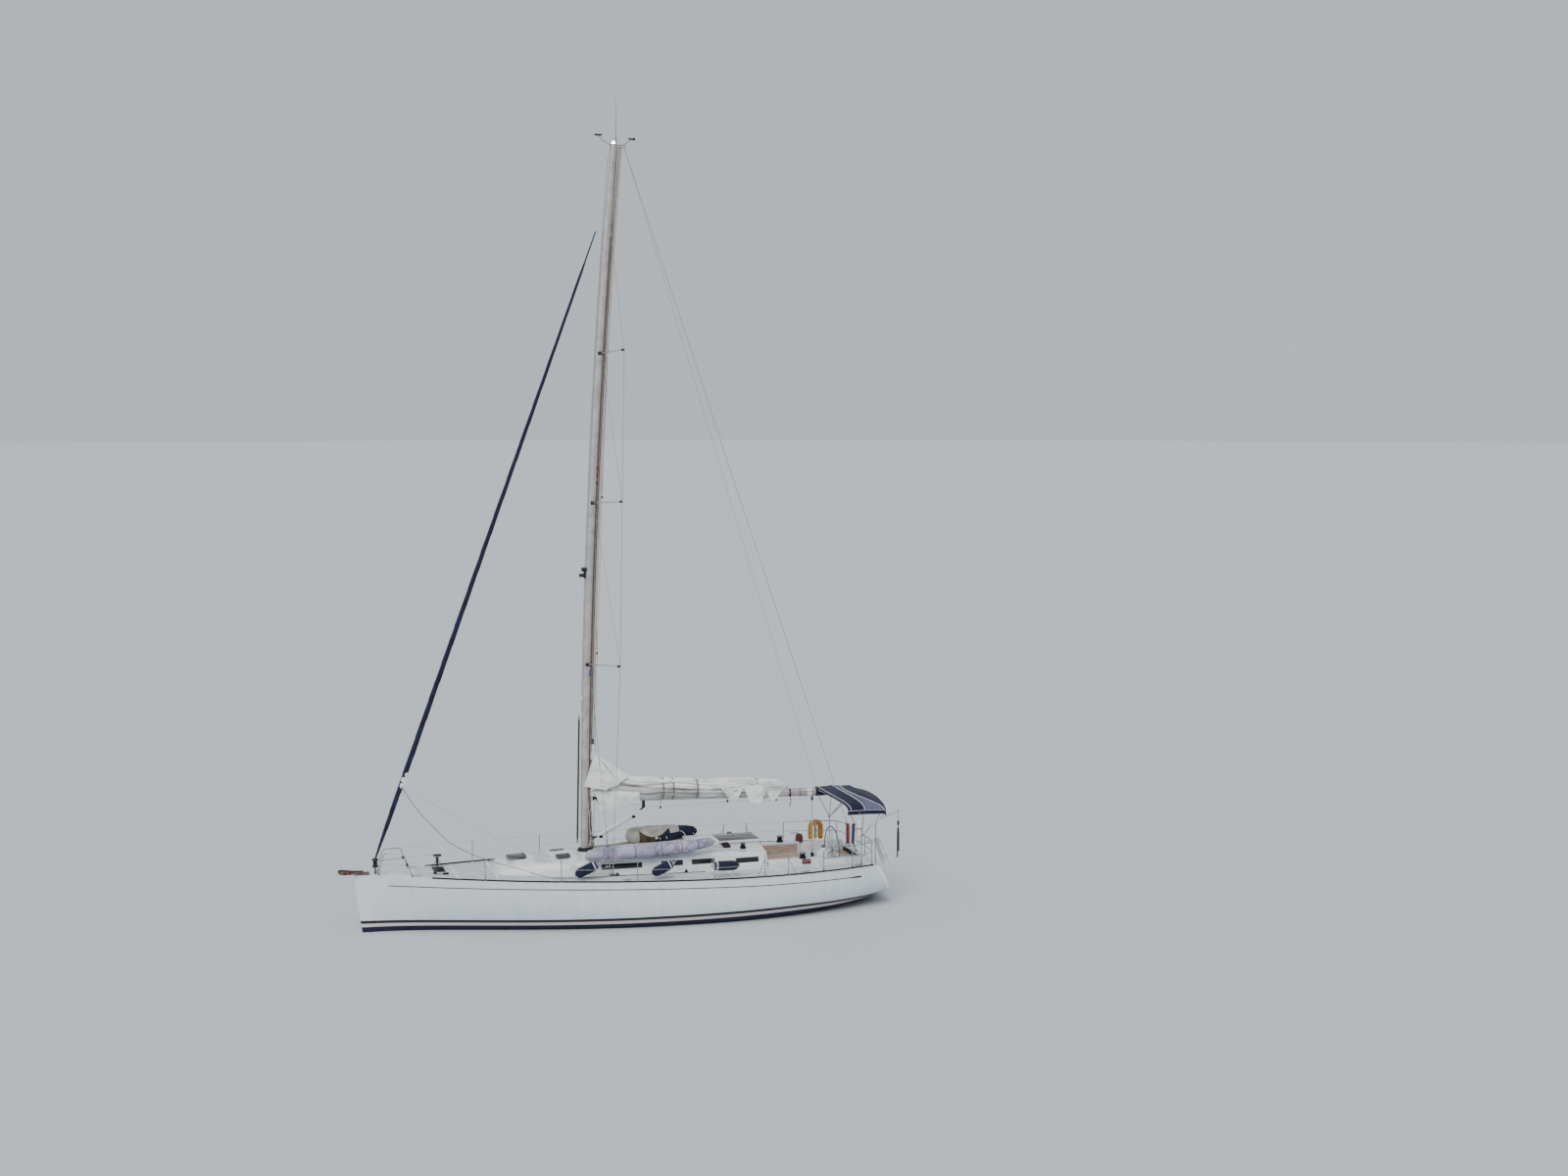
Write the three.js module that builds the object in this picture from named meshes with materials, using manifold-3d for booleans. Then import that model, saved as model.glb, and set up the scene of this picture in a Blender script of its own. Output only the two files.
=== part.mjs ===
// Sailing yacht, a fifteen metre sloop lying afloat with her sails stowed.
// Units are millimetres. +X points to the bow, +Y to port and +Z up.
// The origin is on the centreline at the level of the water.

import * as THREE from 'three';
import { mergeVertices } from 'three/addons/utils/BufferGeometryUtils.js';
import Module from 'manifold-3d';

const wasm = await Module();
wasm.setup();

// Hull

const HULL_SKIN = 30;
const DECK_THICKNESS = 35;
const JOINT_GAP = 1;
const TRANSOM_TOP = { x: -7300, z: 1260 };
const TRANSOM_RAKE = 0.625;
const DECK_CAMBER = 55;

// Stations of the hull, from the bow aft. topsides and bilge are the two exponents of the section.
const STATIONS = [
  { x: 7200, halfBeam: 32, sheer: 1612, keel: 1400, topsides: 1.2, bilge: 0.9 },
  { x: 7100, halfBeam: 62, sheer: 1608, keel: 700, topsides: 1.2, bilge: 0.9 },
  { x: 7000, halfBeam: 96, sheer: 1604, keel: 0, topsides: 1.25, bilge: 0.88 },
  { x: 6600, halfBeam: 262, sheer: 1592, keel: -90, topsides: 1.3, bilge: 0.85 },
  { x: 6000, halfBeam: 490, sheer: 1572, keel: -180, topsides: 1.45, bilge: 0.8 },
  { x: 5000, halfBeam: 850, sheer: 1525, keel: -315, topsides: 1.7, bilge: 0.72 },
  { x: 4000, halfBeam: 1170, sheer: 1484, keel: -425, topsides: 1.95, bilge: 0.66 },
  { x: 3000, halfBeam: 1450, sheer: 1445, keel: -510, topsides: 2.2, bilge: 0.61 },
  { x: 2000, halfBeam: 1680, sheer: 1411, keel: -565, topsides: 2.5, bilge: 0.57 },
  { x: 1000, halfBeam: 1870, sheer: 1380, keel: -600, topsides: 2.75, bilge: 0.54 },
  { x: 0, halfBeam: 2025, sheer: 1350, keel: -615, topsides: 2.95, bilge: 0.52 },
  { x: -1000, halfBeam: 2135, sheer: 1324, keel: -610, topsides: 3.1, bilge: 0.51 },
  { x: -2000, halfBeam: 2205, sheer: 1300, keel: -585, topsides: 3.2, bilge: 0.5 },
  { x: -3000, halfBeam: 2240, sheer: 1284, keel: -535, topsides: 3.3, bilge: 0.5 },
  { x: -4000, halfBeam: 2220, sheer: 1272, keel: -450, topsides: 3.35, bilge: 0.5 },
  { x: -5000, halfBeam: 2130, sheer: 1264, keel: -330, topsides: 3.4, bilge: 0.5 },
  { x: -6000, halfBeam: 1960, sheer: 1258, keel: -175, topsides: 3.4, bilge: 0.5 },
  { x: -7000, halfBeam: 1710, sheer: 1256, keel: 15, topsides: 3.4, bilge: 0.5 },
  { x: -8000, halfBeam: 1420, sheer: 1256, keel: 225, topsides: 3.4, bilge: 0.5 },
];
const SECTION_POINTS = 9;

// Coachroof, the raised cabin top. base and top are half widths.
const ROOF_FOOT_Z = 1215;
const ROOF_SKIN = 35;
const ROOF_RINGS = [
  { x: 3420, base: 560, top: 440, edge: 1570, crown: 20, round: 30 },
  { x: 3270, base: 680, top: 540, edge: 1705, crown: 70, round: 70 },
  { x: 2000, base: 960, top: 820, edge: 1755, crown: 90, round: 80 },
  { x: 800, base: 1130, top: 990, edge: 1775, crown: 105, round: 80 },
  { x: -1000, base: 1200, top: 1060, edge: 1790, crown: 110, round: 80 },
  { x: -2500, base: 1210, top: 1070, edge: 1800, crown: 110, round: 80 },
  { x: -4150, base: 1190, top: 1050, edge: 1725, crown: 100, round: 80 },
];
// Windows of one side, from forward aft.
const WINDOWS = [
  { front: 600, back: -540, low: 1535, high: 1675 },
  { front: -1080, back: -1700, low: 1530, high: 1670 },
  { front: -1950, back: -2600, low: 1525, high: 1665 },
  { front: -3220, back: -3900, low: 1475, high: 1615 },
];
const WINDOW_PANE = 8;
const PANE_GAP = 9;

// Companionway

const COMPANIONWAY = { front: -3000, halfWidth: 340, sill: 1240 };
const SEA_HOOD = { front: -2080, back: -2930, halfWidth: 470, high: 1995, skin: 15 };
const SLIDE = { front: -2950, back: -4155, halfWidth: 400, low: 1935, high: 1957 };

// Cockpit

const COCKPIT = { front: -4155, step: -5760, back: -7140, sole: 740, seat: 1130, footwell: 420 };
const COAMING = { inner: 985, outer: 1245, foot: 1265, high: 1480, aftHigh: 1430 };
const COCKPIT_SKIN = 35;
const HELM_INNER = 1050;
const BRIDGE = { front: -5765, back: -5925, high: 1050 };
const BENCH_DEPTH = 330;
const BENCH_GATE = 520;
const LOCKER = { front: -4460, back: -5460, inner: 500, outer: 900, thickness: 25, clearance: 6 };

// Hatches on the foredeck and the coachroof

const LID_GAP = 10;
const ANCHOR_LID = { front: 6330, back: 5790, frontHalf: 185, backHalf: 245, thickness: 22 };
const FORE_HATCH = { x: 2780, y: 0, length: 520, width: 520 };
const SIDE_HATCH = { x: 1560, y: 470, length: 400, width: 300 };

// Keel, rudder and drive

const KEEL_FIN = {
  top: { x: 250, z: -560, chord: 1750, thickness: 190 },
  foot: { x: 20, z: -2050, chord: 1250, thickness: 150 },
};
const KEEL_BULB = { x: -120, z: -2215, length: 2900, radius: 235 };
const RUDDER = { stockX: -6020, topZ: -235, footZ: -2050, rake: 0.09, topChord: 700, footChord: 420 };
const RUDDER_STOCK_RADIUS = 45;
const DRIVE = { x: -2950, topZ: -500, shaftZ: -880, hubLength: 260 };
const PROPELLER = { radius: 245, blades: 3 };

// Mast and rig. The mast leans aft and bends aft towards its top.

const MAST = { footX: 830, footZ: 1905, headZ: 21340, rake: 200, bend: 770, length: 265, width: 150 };
const SPREADERS = [
  { name: 'lower', z: 7110, halfSpan: 1490, sweep: 540, rise: 110 },
  { name: 'middle', z: 11595, halfSpan: 1270, sweep: 500, rise: 90 },
  { name: 'upper', z: 15700, halfSpan: 1010, sweep: 400, rise: 80 },
];
const HOUNDS_Z = 19250;
const CHAINPLATE = { x: 330, y: 1290, z: 1400 };
const WIRE_RADIUS = 6;
const FORESTAY = { footX: 6640, footZ: 1700, drumZ: 1790, drumTop: 2030, headZ: 19000 };
const BACKSTAY = { footX: -7190, footZ: 1330 };

const POLE = { foot: [1055, 0, 2080], head: [970, 0, 5700], radius: 27 };
const TRAVELLER = { x: -5840, half: 700 };
const GOOSENECK = { x: 590, z: 3330 };
const BOOM = { backX: -6020, frontX: 545, backZ: 3135, depth: 220, width: 120 };
const PIN_RADIUS = 13;
const PIN_PLAY = 6;
const VANG = { footX: 602, footZ: 2210, headX: -840, headZ: 3165 };

// Guard rails. Stanchion places from forward aft, on the port side.
const STANCHIONS = [3820, 1830, -210, -2330, -3780, -4460];
const STANCHION_HEIGHT = 620;
const STANCHION_RADIUS = 13;
const LIFELINE_RADIUS = 5;
const RAIL_INSET = 85;
const TOE_RAIL = { front: 5200, back: -7150, width: 26, height: 38, inset: 25 };
const RAIL_RADIUS = 13;

// Steering

const WHEEL = { x: -6450, z: 1390, radius: 690, rim: 15 };
const WHEEL_WELL = { front: -6385, back: -6515, halfWidth: 330, depth: 90 };
const PEDESTAL = { front: -5965, back: -6290, halfWidth: 130, top: 1400, compassX: -6180, compassTop: 1575 };

// Bimini, the canvas roof over the helm

const BIMINI = { halfWidth: 1500, skin: 14, valance: 125, hingeX: -6850, hingeZ: 2060 };
// Hoops of the canvas from forward aft. lean is how far the sides lie behind the middle.
const CANVAS_HOOPS = [
  { x: -6105, lean: 315, top: 3165, side: 2835 },
  { x: -6640, lean: 280, top: 3185, side: 2835 },
  { x: -7160, lean: 350, top: 3150, side: 2815 },
  { x: -7660, lean: -80, top: 3010, side: 2745 },
];

// Gear on the stern and along the port rail

const DAVIT = { x: -7220, y: 1600 };
const GANGWAY = {
  outline: [[-7520, 1790], [-7610, 1825], [-7935, 1150], [-7760, 1050]],
  low: 620,
  high: 1020,
};
const LIFEBUOY = { x: -6560, y: -1890, low: 1325, middle: 1690, half: 155, radius: 85 };
const FENDERS = [
  { name: 'fender_forward', a: [1430, 1570, 1560], b: [800, 1630, 1830] },
  { name: 'fender_middle', a: [-640, 1870, 1520], b: [-1240, 1890, 1785] },
  { name: 'fender_aft', a: [-3080, 1990, 1620], b: [-2300, 1985, 1640] },
];
const FENDER_RADIUS = 140;

// Cabin inside
const CABIN = { front: 2880, back: -3900, sole: -175, settee: 280 };
const ENGINE = { front: -2750, back: -3560, half: 230, low: -240, high: 260 };

const group = new THREE.Group();

// Numbers read from the tables by smooth interpolation between their rows.

function tableValue(rows, x, column) {
  const order = rows.map((row) => row.x);
  let i = 0;
  while (i < rows.length - 2 && x < order[i + 1]) i += 1;
  const a = rows[i];
  const b = rows[i + 1];
  const before = rows[Math.max(i - 1, 0)];
  const after = rows[Math.min(i + 2, rows.length - 1)];
  const span = b.x - a.x;
  const t = (x - a.x) / span;
  const slopeA = (b[column] - before[column]) / (b.x - before.x || span);
  const slopeB = (after[column] - a[column]) / (after.x - a.x || span);
  const t2 = t * t;
  const t3 = t2 * t;
  return (2 * t3 - 3 * t2 + 1) * a[column] + (t3 - 2 * t2 + t) * span * slopeA
    + (3 * t2 - 2 * t3) * b[column] + (t3 - t2) * span * slopeB;
}

const halfBeam = (x) => tableValue(STATIONS, x, 'halfBeam');
const sheerZ = (x) => tableValue(STATIONS, x, 'sheer');
const keelZ = (x) => tableValue(STATIONS, x, 'keel');
const transomX = (z) => TRANSOM_TOP.x - (TRANSOM_TOP.z - z) * TRANSOM_RAKE;

function deckZ(x, y) {
  const share = Math.min(Math.abs(y) / halfBeam(x), 1);
  return sheerZ(x) + DECK_CAMBER * Math.min(halfBeam(x) / 1500, 1) * (1 - share * share);
}

function mastX(z) {
  const t = (z - MAST.footZ) / (MAST.headZ - MAST.footZ);
  return MAST.footX - MAST.rake * t - MAST.bend * t * t;
}

// Solids

function toSolid(geometry) {
  const bare = geometry.clone();
  for (const name of Object.keys(bare.attributes)) {
    if (name !== 'position') bare.deleteAttribute(name);
  }
  const merged = mergeVertices(bare, 1e-4);
  return new wasm.Manifold(new wasm.Mesh({
    numProp: 3,
    vertProperties: new Float32Array(merged.attributes.position.array),
    triVerts: new Uint32Array(merged.index.array),
  }));
}

function join(solids) {
  return solids.reduce((whole, piece) => whole.add(piece));
}

function addMesh(name, body, colour, roughness, metalness = 0, parent = group) {
  const data = body.getMesh();
  const geometry = new THREE.BufferGeometry();
  geometry.setAttribute('position', new THREE.BufferAttribute(new Float32Array(data.vertProperties), 3));
  geometry.setIndex(new THREE.BufferAttribute(new Uint32Array(data.triVerts), 1));
  geometry.computeVertexNormals();
  const material = new THREE.MeshStandardMaterial({ color: colour, roughness, metalness });
  const mesh = new THREE.Mesh(geometry, material);
  mesh.name = name;
  parent.add(mesh);
  return mesh;
}

// A closed solid through rings that have the same number of points.
function loft(rings) {
  const count = rings[0].length;
  const points = rings.flat();
  const faces = [];
  for (let i = 0; i < rings.length - 1; i += 1) {
    for (let j = 0; j < count; j += 1) {
      const a = i * count + j;
      const b = i * count + ((j + 1) % count);
      faces.push([a, b, b + count], [a, b + count, a + count]);
    }
  }
  for (const end of [0, rings.length - 1]) {
    const ring = rings[end].map((p) => new THREE.Vector3(...p));
    const normal = new THREE.Vector3();
    ring.forEach((p, j) => normal.add(p.clone().cross(ring[(j + 1) % count])));
    normal.normalize();
    const side = Math.abs(normal.x) > 0.7 ? new THREE.Vector3(0, 1, 0) : new THREE.Vector3(1, 0, 0);
    const u = side.sub(normal.clone().multiplyScalar(side.dot(normal))).normalize();
    const v = normal.clone().cross(u);
    const flat = ring.map((p) => new THREE.Vector2(p.dot(u), p.dot(v)));
    for (const [a, b, c] of THREE.ShapeUtils.triangulateShape(flat, [])) {
      const corner = [a, b, c].map((k) => k + end * count);
      faces.push(end === 0 ? [corner[0], corner[2], corner[1]] : corner);
    }
  }
  let volume = 0;
  for (const [a, b, c] of faces) {
    const [p, q, r] = [a, b, c].map((k) => new THREE.Vector3(...points[k]));
    volume += p.dot(q.cross(r));
  }
  const index = faces.flatMap(([a, b, c]) => (volume > 0 ? [a, b, c] : [a, c, b]));
  const geometry = new THREE.BufferGeometry();
  geometry.setAttribute('position', new THREE.Float32BufferAttribute(points.flat(), 3));
  geometry.setIndex(index);
  return toSolid(geometry);
}

function box(width, depth, height, x, y, z) {
  return toSolid(new THREE.BoxGeometry(width, depth, height).translate(x, y, z));
}

// A box given by its two opposite corners.
function block(x0, x1, y0, y1, z0, z1) {
  const [width, depth, height] = [x1 - x0, y1 - y0, z1 - z0].map(Math.abs);
  return box(width, depth, height, (x0 + x1) / 2, (y0 + y1) / 2, (z0 + z1) / 2);
}

const AXES = {
  XY: new THREE.Matrix4(),
  XZ: new THREE.Matrix4().makeBasis(
    new THREE.Vector3(1, 0, 0), new THREE.Vector3(0, 0, 1), new THREE.Vector3(0, -1, 0)),
  YZ: new THREE.Matrix4().makeBasis(
    new THREE.Vector3(0, 1, 0), new THREE.Vector3(0, 0, 1), new THREE.Vector3(1, 0, 0)),
};

// A prism of an outline drawn in the named plane, from low to high along the third axis.
function prism(plane, outline, low, high) {
  const shape = new THREE.Shape(outline.map(([a, b]) => new THREE.Vector2(a, b)));
  const geometry = new THREE.ExtrudeGeometry(shape, { depth: high - low, bevelEnabled: false });
  geometry.translate(0, 0, plane === 'XZ' ? -high : low);
  geometry.applyMatrix4(AXES[plane]);
  return toSolid(geometry);
}

// A tube of regular section along straight stretches, mitred at the corners.
function tube(points, radius, sides = 6) {
  const path = points.map((p) => new THREE.Vector3(...p));
  const radii = Array.isArray(radius) ? radius : path.map(() => radius);
  let normal = null;
  const rings = path.map((point, i) => {
    const before = i > 0 ? point.clone().sub(path[i - 1]).normalize() : null;
    const after = i < path.length - 1 ? path[i + 1].clone().sub(point).normalize() : null;
    const tangent = (before && after ? before.clone().add(after) : (before || after).clone()).normalize();
    if (!normal) {
      normal = Math.abs(tangent.z) < 0.9 ? new THREE.Vector3(0, 0, 1) : new THREE.Vector3(1, 0, 0);
    }
    normal = normal.sub(tangent.clone().multiplyScalar(normal.dot(tangent))).normalize();
    const binormal = tangent.clone().cross(normal);
    const bend = before && after ? after.clone().sub(before) : new THREE.Vector3();
    const stretch = before && after ? 1 / Math.max(before.dot(tangent), 0.3) - 1 : 0;
    if (bend.length() > 1e-6) bend.normalize();
    return Array.from({ length: sides }, (_, k) => {
      const angle = (2 * Math.PI * (k + 0.5)) / sides;
      const out = normal.clone().multiplyScalar(Math.cos(angle) * radii[i])
        .addScaledVector(binormal, Math.sin(angle) * radii[i]);
      out.addScaledVector(bend, out.dot(bend) * stretch);
      return point.clone().add(out).toArray();
    });
  });
  return loft(rings);
}

const rod = (a, b, radius, sides = 6) => tube([a, b], radius, sides);

// A turned piece about an upright axis, from a profile of radius and height that starts and ends on the axis.
function turned(profile, sides, x, y, z) {
  const outline = profile.map(([r, h]) => new THREE.Vector2(r, h));
  const geometry = new THREE.LatheGeometry(outline, sides);
  geometry.rotateX(Math.PI / 2).translate(x, y, z);
  return toSolid(geometry);
}

function mirrored(body) {
  return body.mirror([0, 1, 0]);
}

// Points round an ellipse, in the order of growing angle.
function ellipse(a, b, sides) {
  return Array.from({ length: sides }, (_, k) => {
    const angle = (2 * Math.PI * k) / sides;
    return [a * Math.cos(angle), b * Math.sin(angle)];
  });
}

// Hull shell

function sectionRing(x, skin, topZ) {
  const beam = halfBeam(x) - skin;
  const top = topZ ?? sheerZ(x) - DECK_THICKNESS - JOINT_GAP;
  const low = keelZ(x) + skin * 1.1;
  const sheer = sheerZ(x);
  const topsides = tableValue(STATIONS, x, 'topsides');
  const bilge = tableValue(STATIONS, x, 'bilge');
  const side = [];
  for (let j = SECTION_POINTS; j >= 0; j -= 1) {
    const height = low + (sheer - low) * (j / SECTION_POINTS) ** 1.7;
    const z = j === SECTION_POINTS ? top : Math.min(height, top - 20 * (SECTION_POINTS - j));
    const u = Math.max((z - low) / (sheer - low), 0);
    side.push([x, Math.max(beam, 4) * (1 - (1 - Math.min(u, 1)) ** topsides) ** bilge, z]);
  }
  const port = side.slice(0, -1);
  const starboard = port.map(([a, b, c]) => [a, -b, c]).reverse();
  return [...port, [x, 0, low], ...starboard];
}

const hullStations = [7200, 7100, 7000, 6800, 6500, 6000, 5500, 5000, 4000, 3000, 2000, 1000,
  0, -1000, -2000, -3000, -4000, -5000, -6000, -6500, -7000, -7500, -8000];

function aftOfTransom(offset) {
  const high = 3000;
  const low = -1500;
  const slanted = (z) => [transomX(z) + offset, z];
  const outline = [slanted(high), [-9500, high], [-9500, low], slanted(low)];
  return prism('XZ', outline, -3000, 3000);
}

function buildHull() {
  const outer = loft(hullStations.map((x) => sectionRing(x, 0)));
  const innerStations = hullStations.filter((x) => x < 6900);
  const inner = loft(innerStations.map((x) => sectionRing(x, HULL_SKIN, sheerZ(x) + 300)));
  const transomInside = aftOfTransom(HULL_SKIN);
  const stockHole = rod([RUDDER.stockX, 0, 200], [RUDDER.stockX, 0, -500], RUDDER_STOCK_RADIUS + 8, 12);
  return outer.subtract(inner.subtract(transomInside)).subtract(aftOfTransom(0))
    .subtract(stockHole);
}

// Coachroof outline, grown outwards by the given amount

// Half width and height of the wall's foot and shoulder at a place along the coachroof.
function roofWall(x, grow) {
  const value = (column) => straightValue(ROOF_RINGS, x, column);
  const base = value('base');
  const knee = Math.min(deckZ(x, base), value('edge') - 60);
  return {
    foot: { y: base + grow, z: knee + grow },
    shoulder: { y: base + grow - (base - value('top')) * 0.75, z: value('edge') + grow - value('round') },
  };
}

// Half width of the wall at a height.
function roofWallY(x, z, grow) {
  const { foot, shoulder } = roofWall(x, grow);
  return foot.y + ((shoulder.y - foot.y) * (z - foot.z)) / (shoulder.z - foot.z);
}

function roofRing(row, grow, low) {
  const { x, top, edge, crown } = row;
  const { foot, shoulder } = roofWall(x, grow);
  const t = top + grow;
  const e = edge + grow;
  const wall = [[foot.y, low], [foot.y, foot.z], [shoulder.y, shoulder.z]];
  const port = [...wall, [t - 40, e], [t * 0.5, e + crown * 0.78]];
  return [
    ...port.map(([y, z]) => [x, y, z]), [x, 0, e + crown], ...port.map(([y, z]) => [x, -y, z]).reverse(),
  ];
}

function roofSolid(grow, foot = ROOF_FOOT_Z) {
  const last = ROOF_RINGS.length - 1;
  return loft(ROOF_RINGS.map((row, i) => {
    const ring = roofRing(row, grow, foot);
    const shift = i === 0 ? grow : i === last ? -grow : 0;
    return ring.map(([x, y, z]) => [x + shift, y, z]);
  }));
}

function roofZ(x, y = 0) {
  const top = straightValue(ROOF_RINGS, x, 'top');
  const edge = straightValue(ROOF_RINGS, x, 'edge');
  const crown = straightValue(ROOF_RINGS, x, 'crown');
  const share = Math.abs(y) / top;
  return share < 0.5 ? edge + crown * (1 - 0.44 * share) : edge + crown * 1.56 * (1 - share);
}

function straightValue(rows, x, column) {
  let i = 0;
  while (i < rows.length - 2 && x < rows[i + 1].x) i += 1;
  const t = (x - rows[i].x) / (rows[i + 1].x - rows[i].x);
  return rows[i][column] + t * (rows[i + 1][column] - rows[i][column]);
}

// Deck plate

function deckRing(x, drop) {
  const beam = halfBeam(x);
  const steps = 8;
  const top = [];
  for (let k = 0; k <= steps; k += 1) {
    const y = beam * (1 - (2 * k) / steps);
    top.push([x, y, deckZ(x, y)]);
  }
  const under = top.map(([a, b, c]) => [a, b, c - drop]).reverse();
  return [...top, ...under];
}

function cockpitFootprint(grow) {
  const half = COAMING.foot + grow;
  return block(COCKPIT.front + grow, COCKPIT.back - grow, -half, half, 900, 1900);
}

function buildDeck() {
  const plate = loft(hullStations.map((x) => deckRing(x, DECK_THICKNESS)));
  const lid = anchorLidOutline(LID_GAP);
  return plate.subtract(aftOfTransom(0))
    .subtract(roofSolid(JOINT_GAP, 900))
    .subtract(cockpitFootprint(JOINT_GAP))
    .subtract(prism('XY', lid, 1300, 1900));
}

function anchorLidOutline(grow) {
  const { front, back, frontHalf, backHalf } = ANCHOR_LID;
  return [[front + grow, frontHalf + grow], [back - grow, backHalf + grow],
    [back - grow, -backHalf - grow], [front + grow, -frontHalf - grow]];
}

function buildAnchorLid() {
  const top = deckRingLid(ANCHOR_LID.front, ANCHOR_LID.frontHalf);
  const back = deckRingLid(ANCHOR_LID.back, ANCHOR_LID.backHalf);
  return loft([top, back]);
}

function deckRingLid(x, half) {
  const z = deckZ(x, half);
  const under = z - ANCHOR_LID.thickness;
  return [[x, half, z], [x, -half, z], [x, -half, under], [x, half, under]];
}

// Windows of the coachroof: the wall is cut, and one tinted strip behind it carries the raised panes.

function windowBlock(w, outside, inside, grow) {
  const low = w.low - grow;
  const high = w.high + grow;
  const ring = (x) => [
    [x, outside(x, low), low], [x, outside(x, high), high],
    [x, inside(x, high), high], [x, inside(x, low), low],
  ];
  const between = ROOF_RINGS.map((row) => row.x).filter((x) => x < w.front + grow && x > w.back - grow);
  return loft([w.front + grow, ...between, w.back - grow].map(ring));
}

function buildWindows() {
  const backing = (x, z) => roofWallY(x, z, -ROOF_SKIN) - PANE_GAP;
  const inside = (x, z) => backing(x, z) - WINDOW_PANE;
  const strip = windowBlock({ front: 680, back: -3980, low: 1490, high: 1600 }, backing, inside, 0);
  const panes = WINDOWS.map((w) => windowBlock(w, (x, z) => roofWallY(x, z, -4), inside, -JOINT_GAP));
  return join([strip, ...panes]);
}

function hatchOutline(hatch, grow) {
  const { x, y, length, width } = hatch;
  return [x - length / 2 - grow, x + length / 2 + grow, y - width / 2 - grow, y + width / 2 + grow];
}

function buildRoof() {
  const outer = roofSolid(0);
  const inner = roofSolid(-ROOF_SKIN, ROOF_FOOT_Z - 200);
  const cuts = [FORE_HATCH, SIDE_HATCH].map((hatch) => {
    const [x0, x1, y0, y1] = hatchOutline(hatch, -45);
    return block(x0, x1, y0, y1, 1500, 2200);
  });
  for (const w of WINDOWS) {
    const hole = windowBlock(w, (x, z) => roofWallY(x, z, 60), (x, z) => roofWallY(x, z, -160), 0);
    cuts.push(hole, mirrored(hole));
  }
  const { front, halfWidth, sill } = COMPANIONWAY;
  cuts.push(block(front, -4400, -halfWidth, halfWidth, sill, 2300));
  const rail = (side) => {
    const inner = side * halfWidth;
    return block(front - 10, -4140, inner, inner + side * 45, 1700, SLIDE.low - 6);
  };
  const rails = [1, -1].map(rail);
  return join([outer, ...rails]).subtract(inner).subtract(join(cuts));
}

// The sea hood is a cover open at its after end, into which the hatch slides.
function buildSeaHood() {
  const { front, back, halfWidth, high, skin } = SEA_HOOD;
  const shell = block(front, back, -halfWidth, halfWidth, 1700, high)
    .subtract(block(front - skin, back - 10, -halfWidth + skin, halfWidth - skin, 1600, high - skin));
  return shell.subtract(roofSolid(3, 900));
}

function buildSlidingHatch() {
  const { front, back, halfWidth, low, high } = SLIDE;
  return block(front, back, -halfWidth, halfWidth, low, high);
}

function hatchLid(hatch) {
  const [x0, x1, y0, y1] = hatchOutline(hatch, 0);
  const z = roofZ(hatch.x, hatch.y * 0.6) + 26;
  return block(x0, x1, y0, y1, z, z + 24);
}

// Cockpit moulding: seats with a footwell forward, an open helm space aft, and a coaming each side.

function cockpitProfile(helm) {
  const { sole, seat, footwell } = COCKPIT;
  const { inner, outer, foot, high, aftHigh } = COAMING;
  const s = COCKPIT_SKIN;
  const top = helm ? aftHigh : high;
  const lowZ = 1262;
  const outside = [[outer, top], [foot, lowZ], [foot - s, lowZ], [outer - s, top - s]];
  const helmOut = HELM_INNER + s;
  const port = helm
    ? [[HELM_INNER, sole], [HELM_INNER, top], ...outside, [helmOut, top - s], [helmOut, sole - s]]
    : [[footwell, sole], [footwell, seat], [inner, seat], [inner, top], ...outside, [inner + s, top - s],
      [inner + s, seat - s], [footwell + s, seat - s], [footwell + s, sole - s]];
  return [...port, ...port.map(([y, z]) => [-y, z]).reverse()];
}

// The forward moulding: two seats, the footwell between them and the wall under the companionway.
function buildCockpit() {
  const { front, step, sole, seat, footwell } = COCKPIT;
  const s = COCKPIT_SKIN;
  const seats = prism('YZ', cockpitProfile(false), step, front);
  const seatFace = (side) => block(step, step + s, side * footwell, side * (HELM_INNER + s), sole - s, seat);
  const wallHalf = COAMING.inner + s;
  const frontWall = block(front, front - s, -wallHalf, wallHalf, sole - s, COMPANIONWAY.sill);
  const lidSpace = (side) => {
    const gap = LOCKER.clearance;
    return block(LOCKER.front + gap, LOCKER.back - gap, side * (LOCKER.inner - gap),
      side * (LOCKER.outer + gap), seat - 100, seat + 100);
  };
  return join([seats, seatFace(1), seatFace(-1), frontWall]).subtract(join([1, -1].map(lidSpace)));
}

// The after moulding: the open floor round the wheel, with a slot for its rim and a bridge for the traveller.
function buildHelmWell() {
  const { step, back, sole } = COCKPIT;
  const s = COCKPIT_SKIN;
  const floor = prism('YZ', cockpitProfile(true), back, step - JOINT_GAP);
  const across = HELM_INNER + 5;
  const bridge = block(BRIDGE.front, BRIDGE.back, -across, across, sole - s, BRIDGE.high);
  const slot = (grow, top) => {
    const half = WHEEL_WELL.halfWidth + grow;
    const low = sole - WHEEL_WELL.depth - grow;
    return block(WHEEL_WELL.front + grow, WHEEL_WELL.back - grow, -half, half, low, top);
  };
  return join([floor, bridge, slot(s, sole - 5)]).subtract(slot(0, sole + 260));
}

// The bench across the stern, hollow below, with a gate in its middle.
function buildSternBench() {
  const { back, sole, seat } = COCKPIT;
  const s = COCKPIT_SKIN;
  const half = HELM_INNER - JOINT_GAP;
  const top = seat + 10;
  const front = back + BENCH_DEPTH;
  return block(front, back, -half, half, sole + JOINT_GAP, top)
    .subtract(block(front - s, back + s, -half + s, half - s, 0, top - s))
    .subtract(block(front + 70, back - 10, -BENCH_GATE / 2, BENCH_GATE / 2, sole + 60, top + 90));
}

function lockerLid(side) {
  const { front, back, inner, outer, thickness } = LOCKER;
  return block(front, back, side * inner, side * outer, COCKPIT.seat - thickness, COCKPIT.seat);
}

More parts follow.
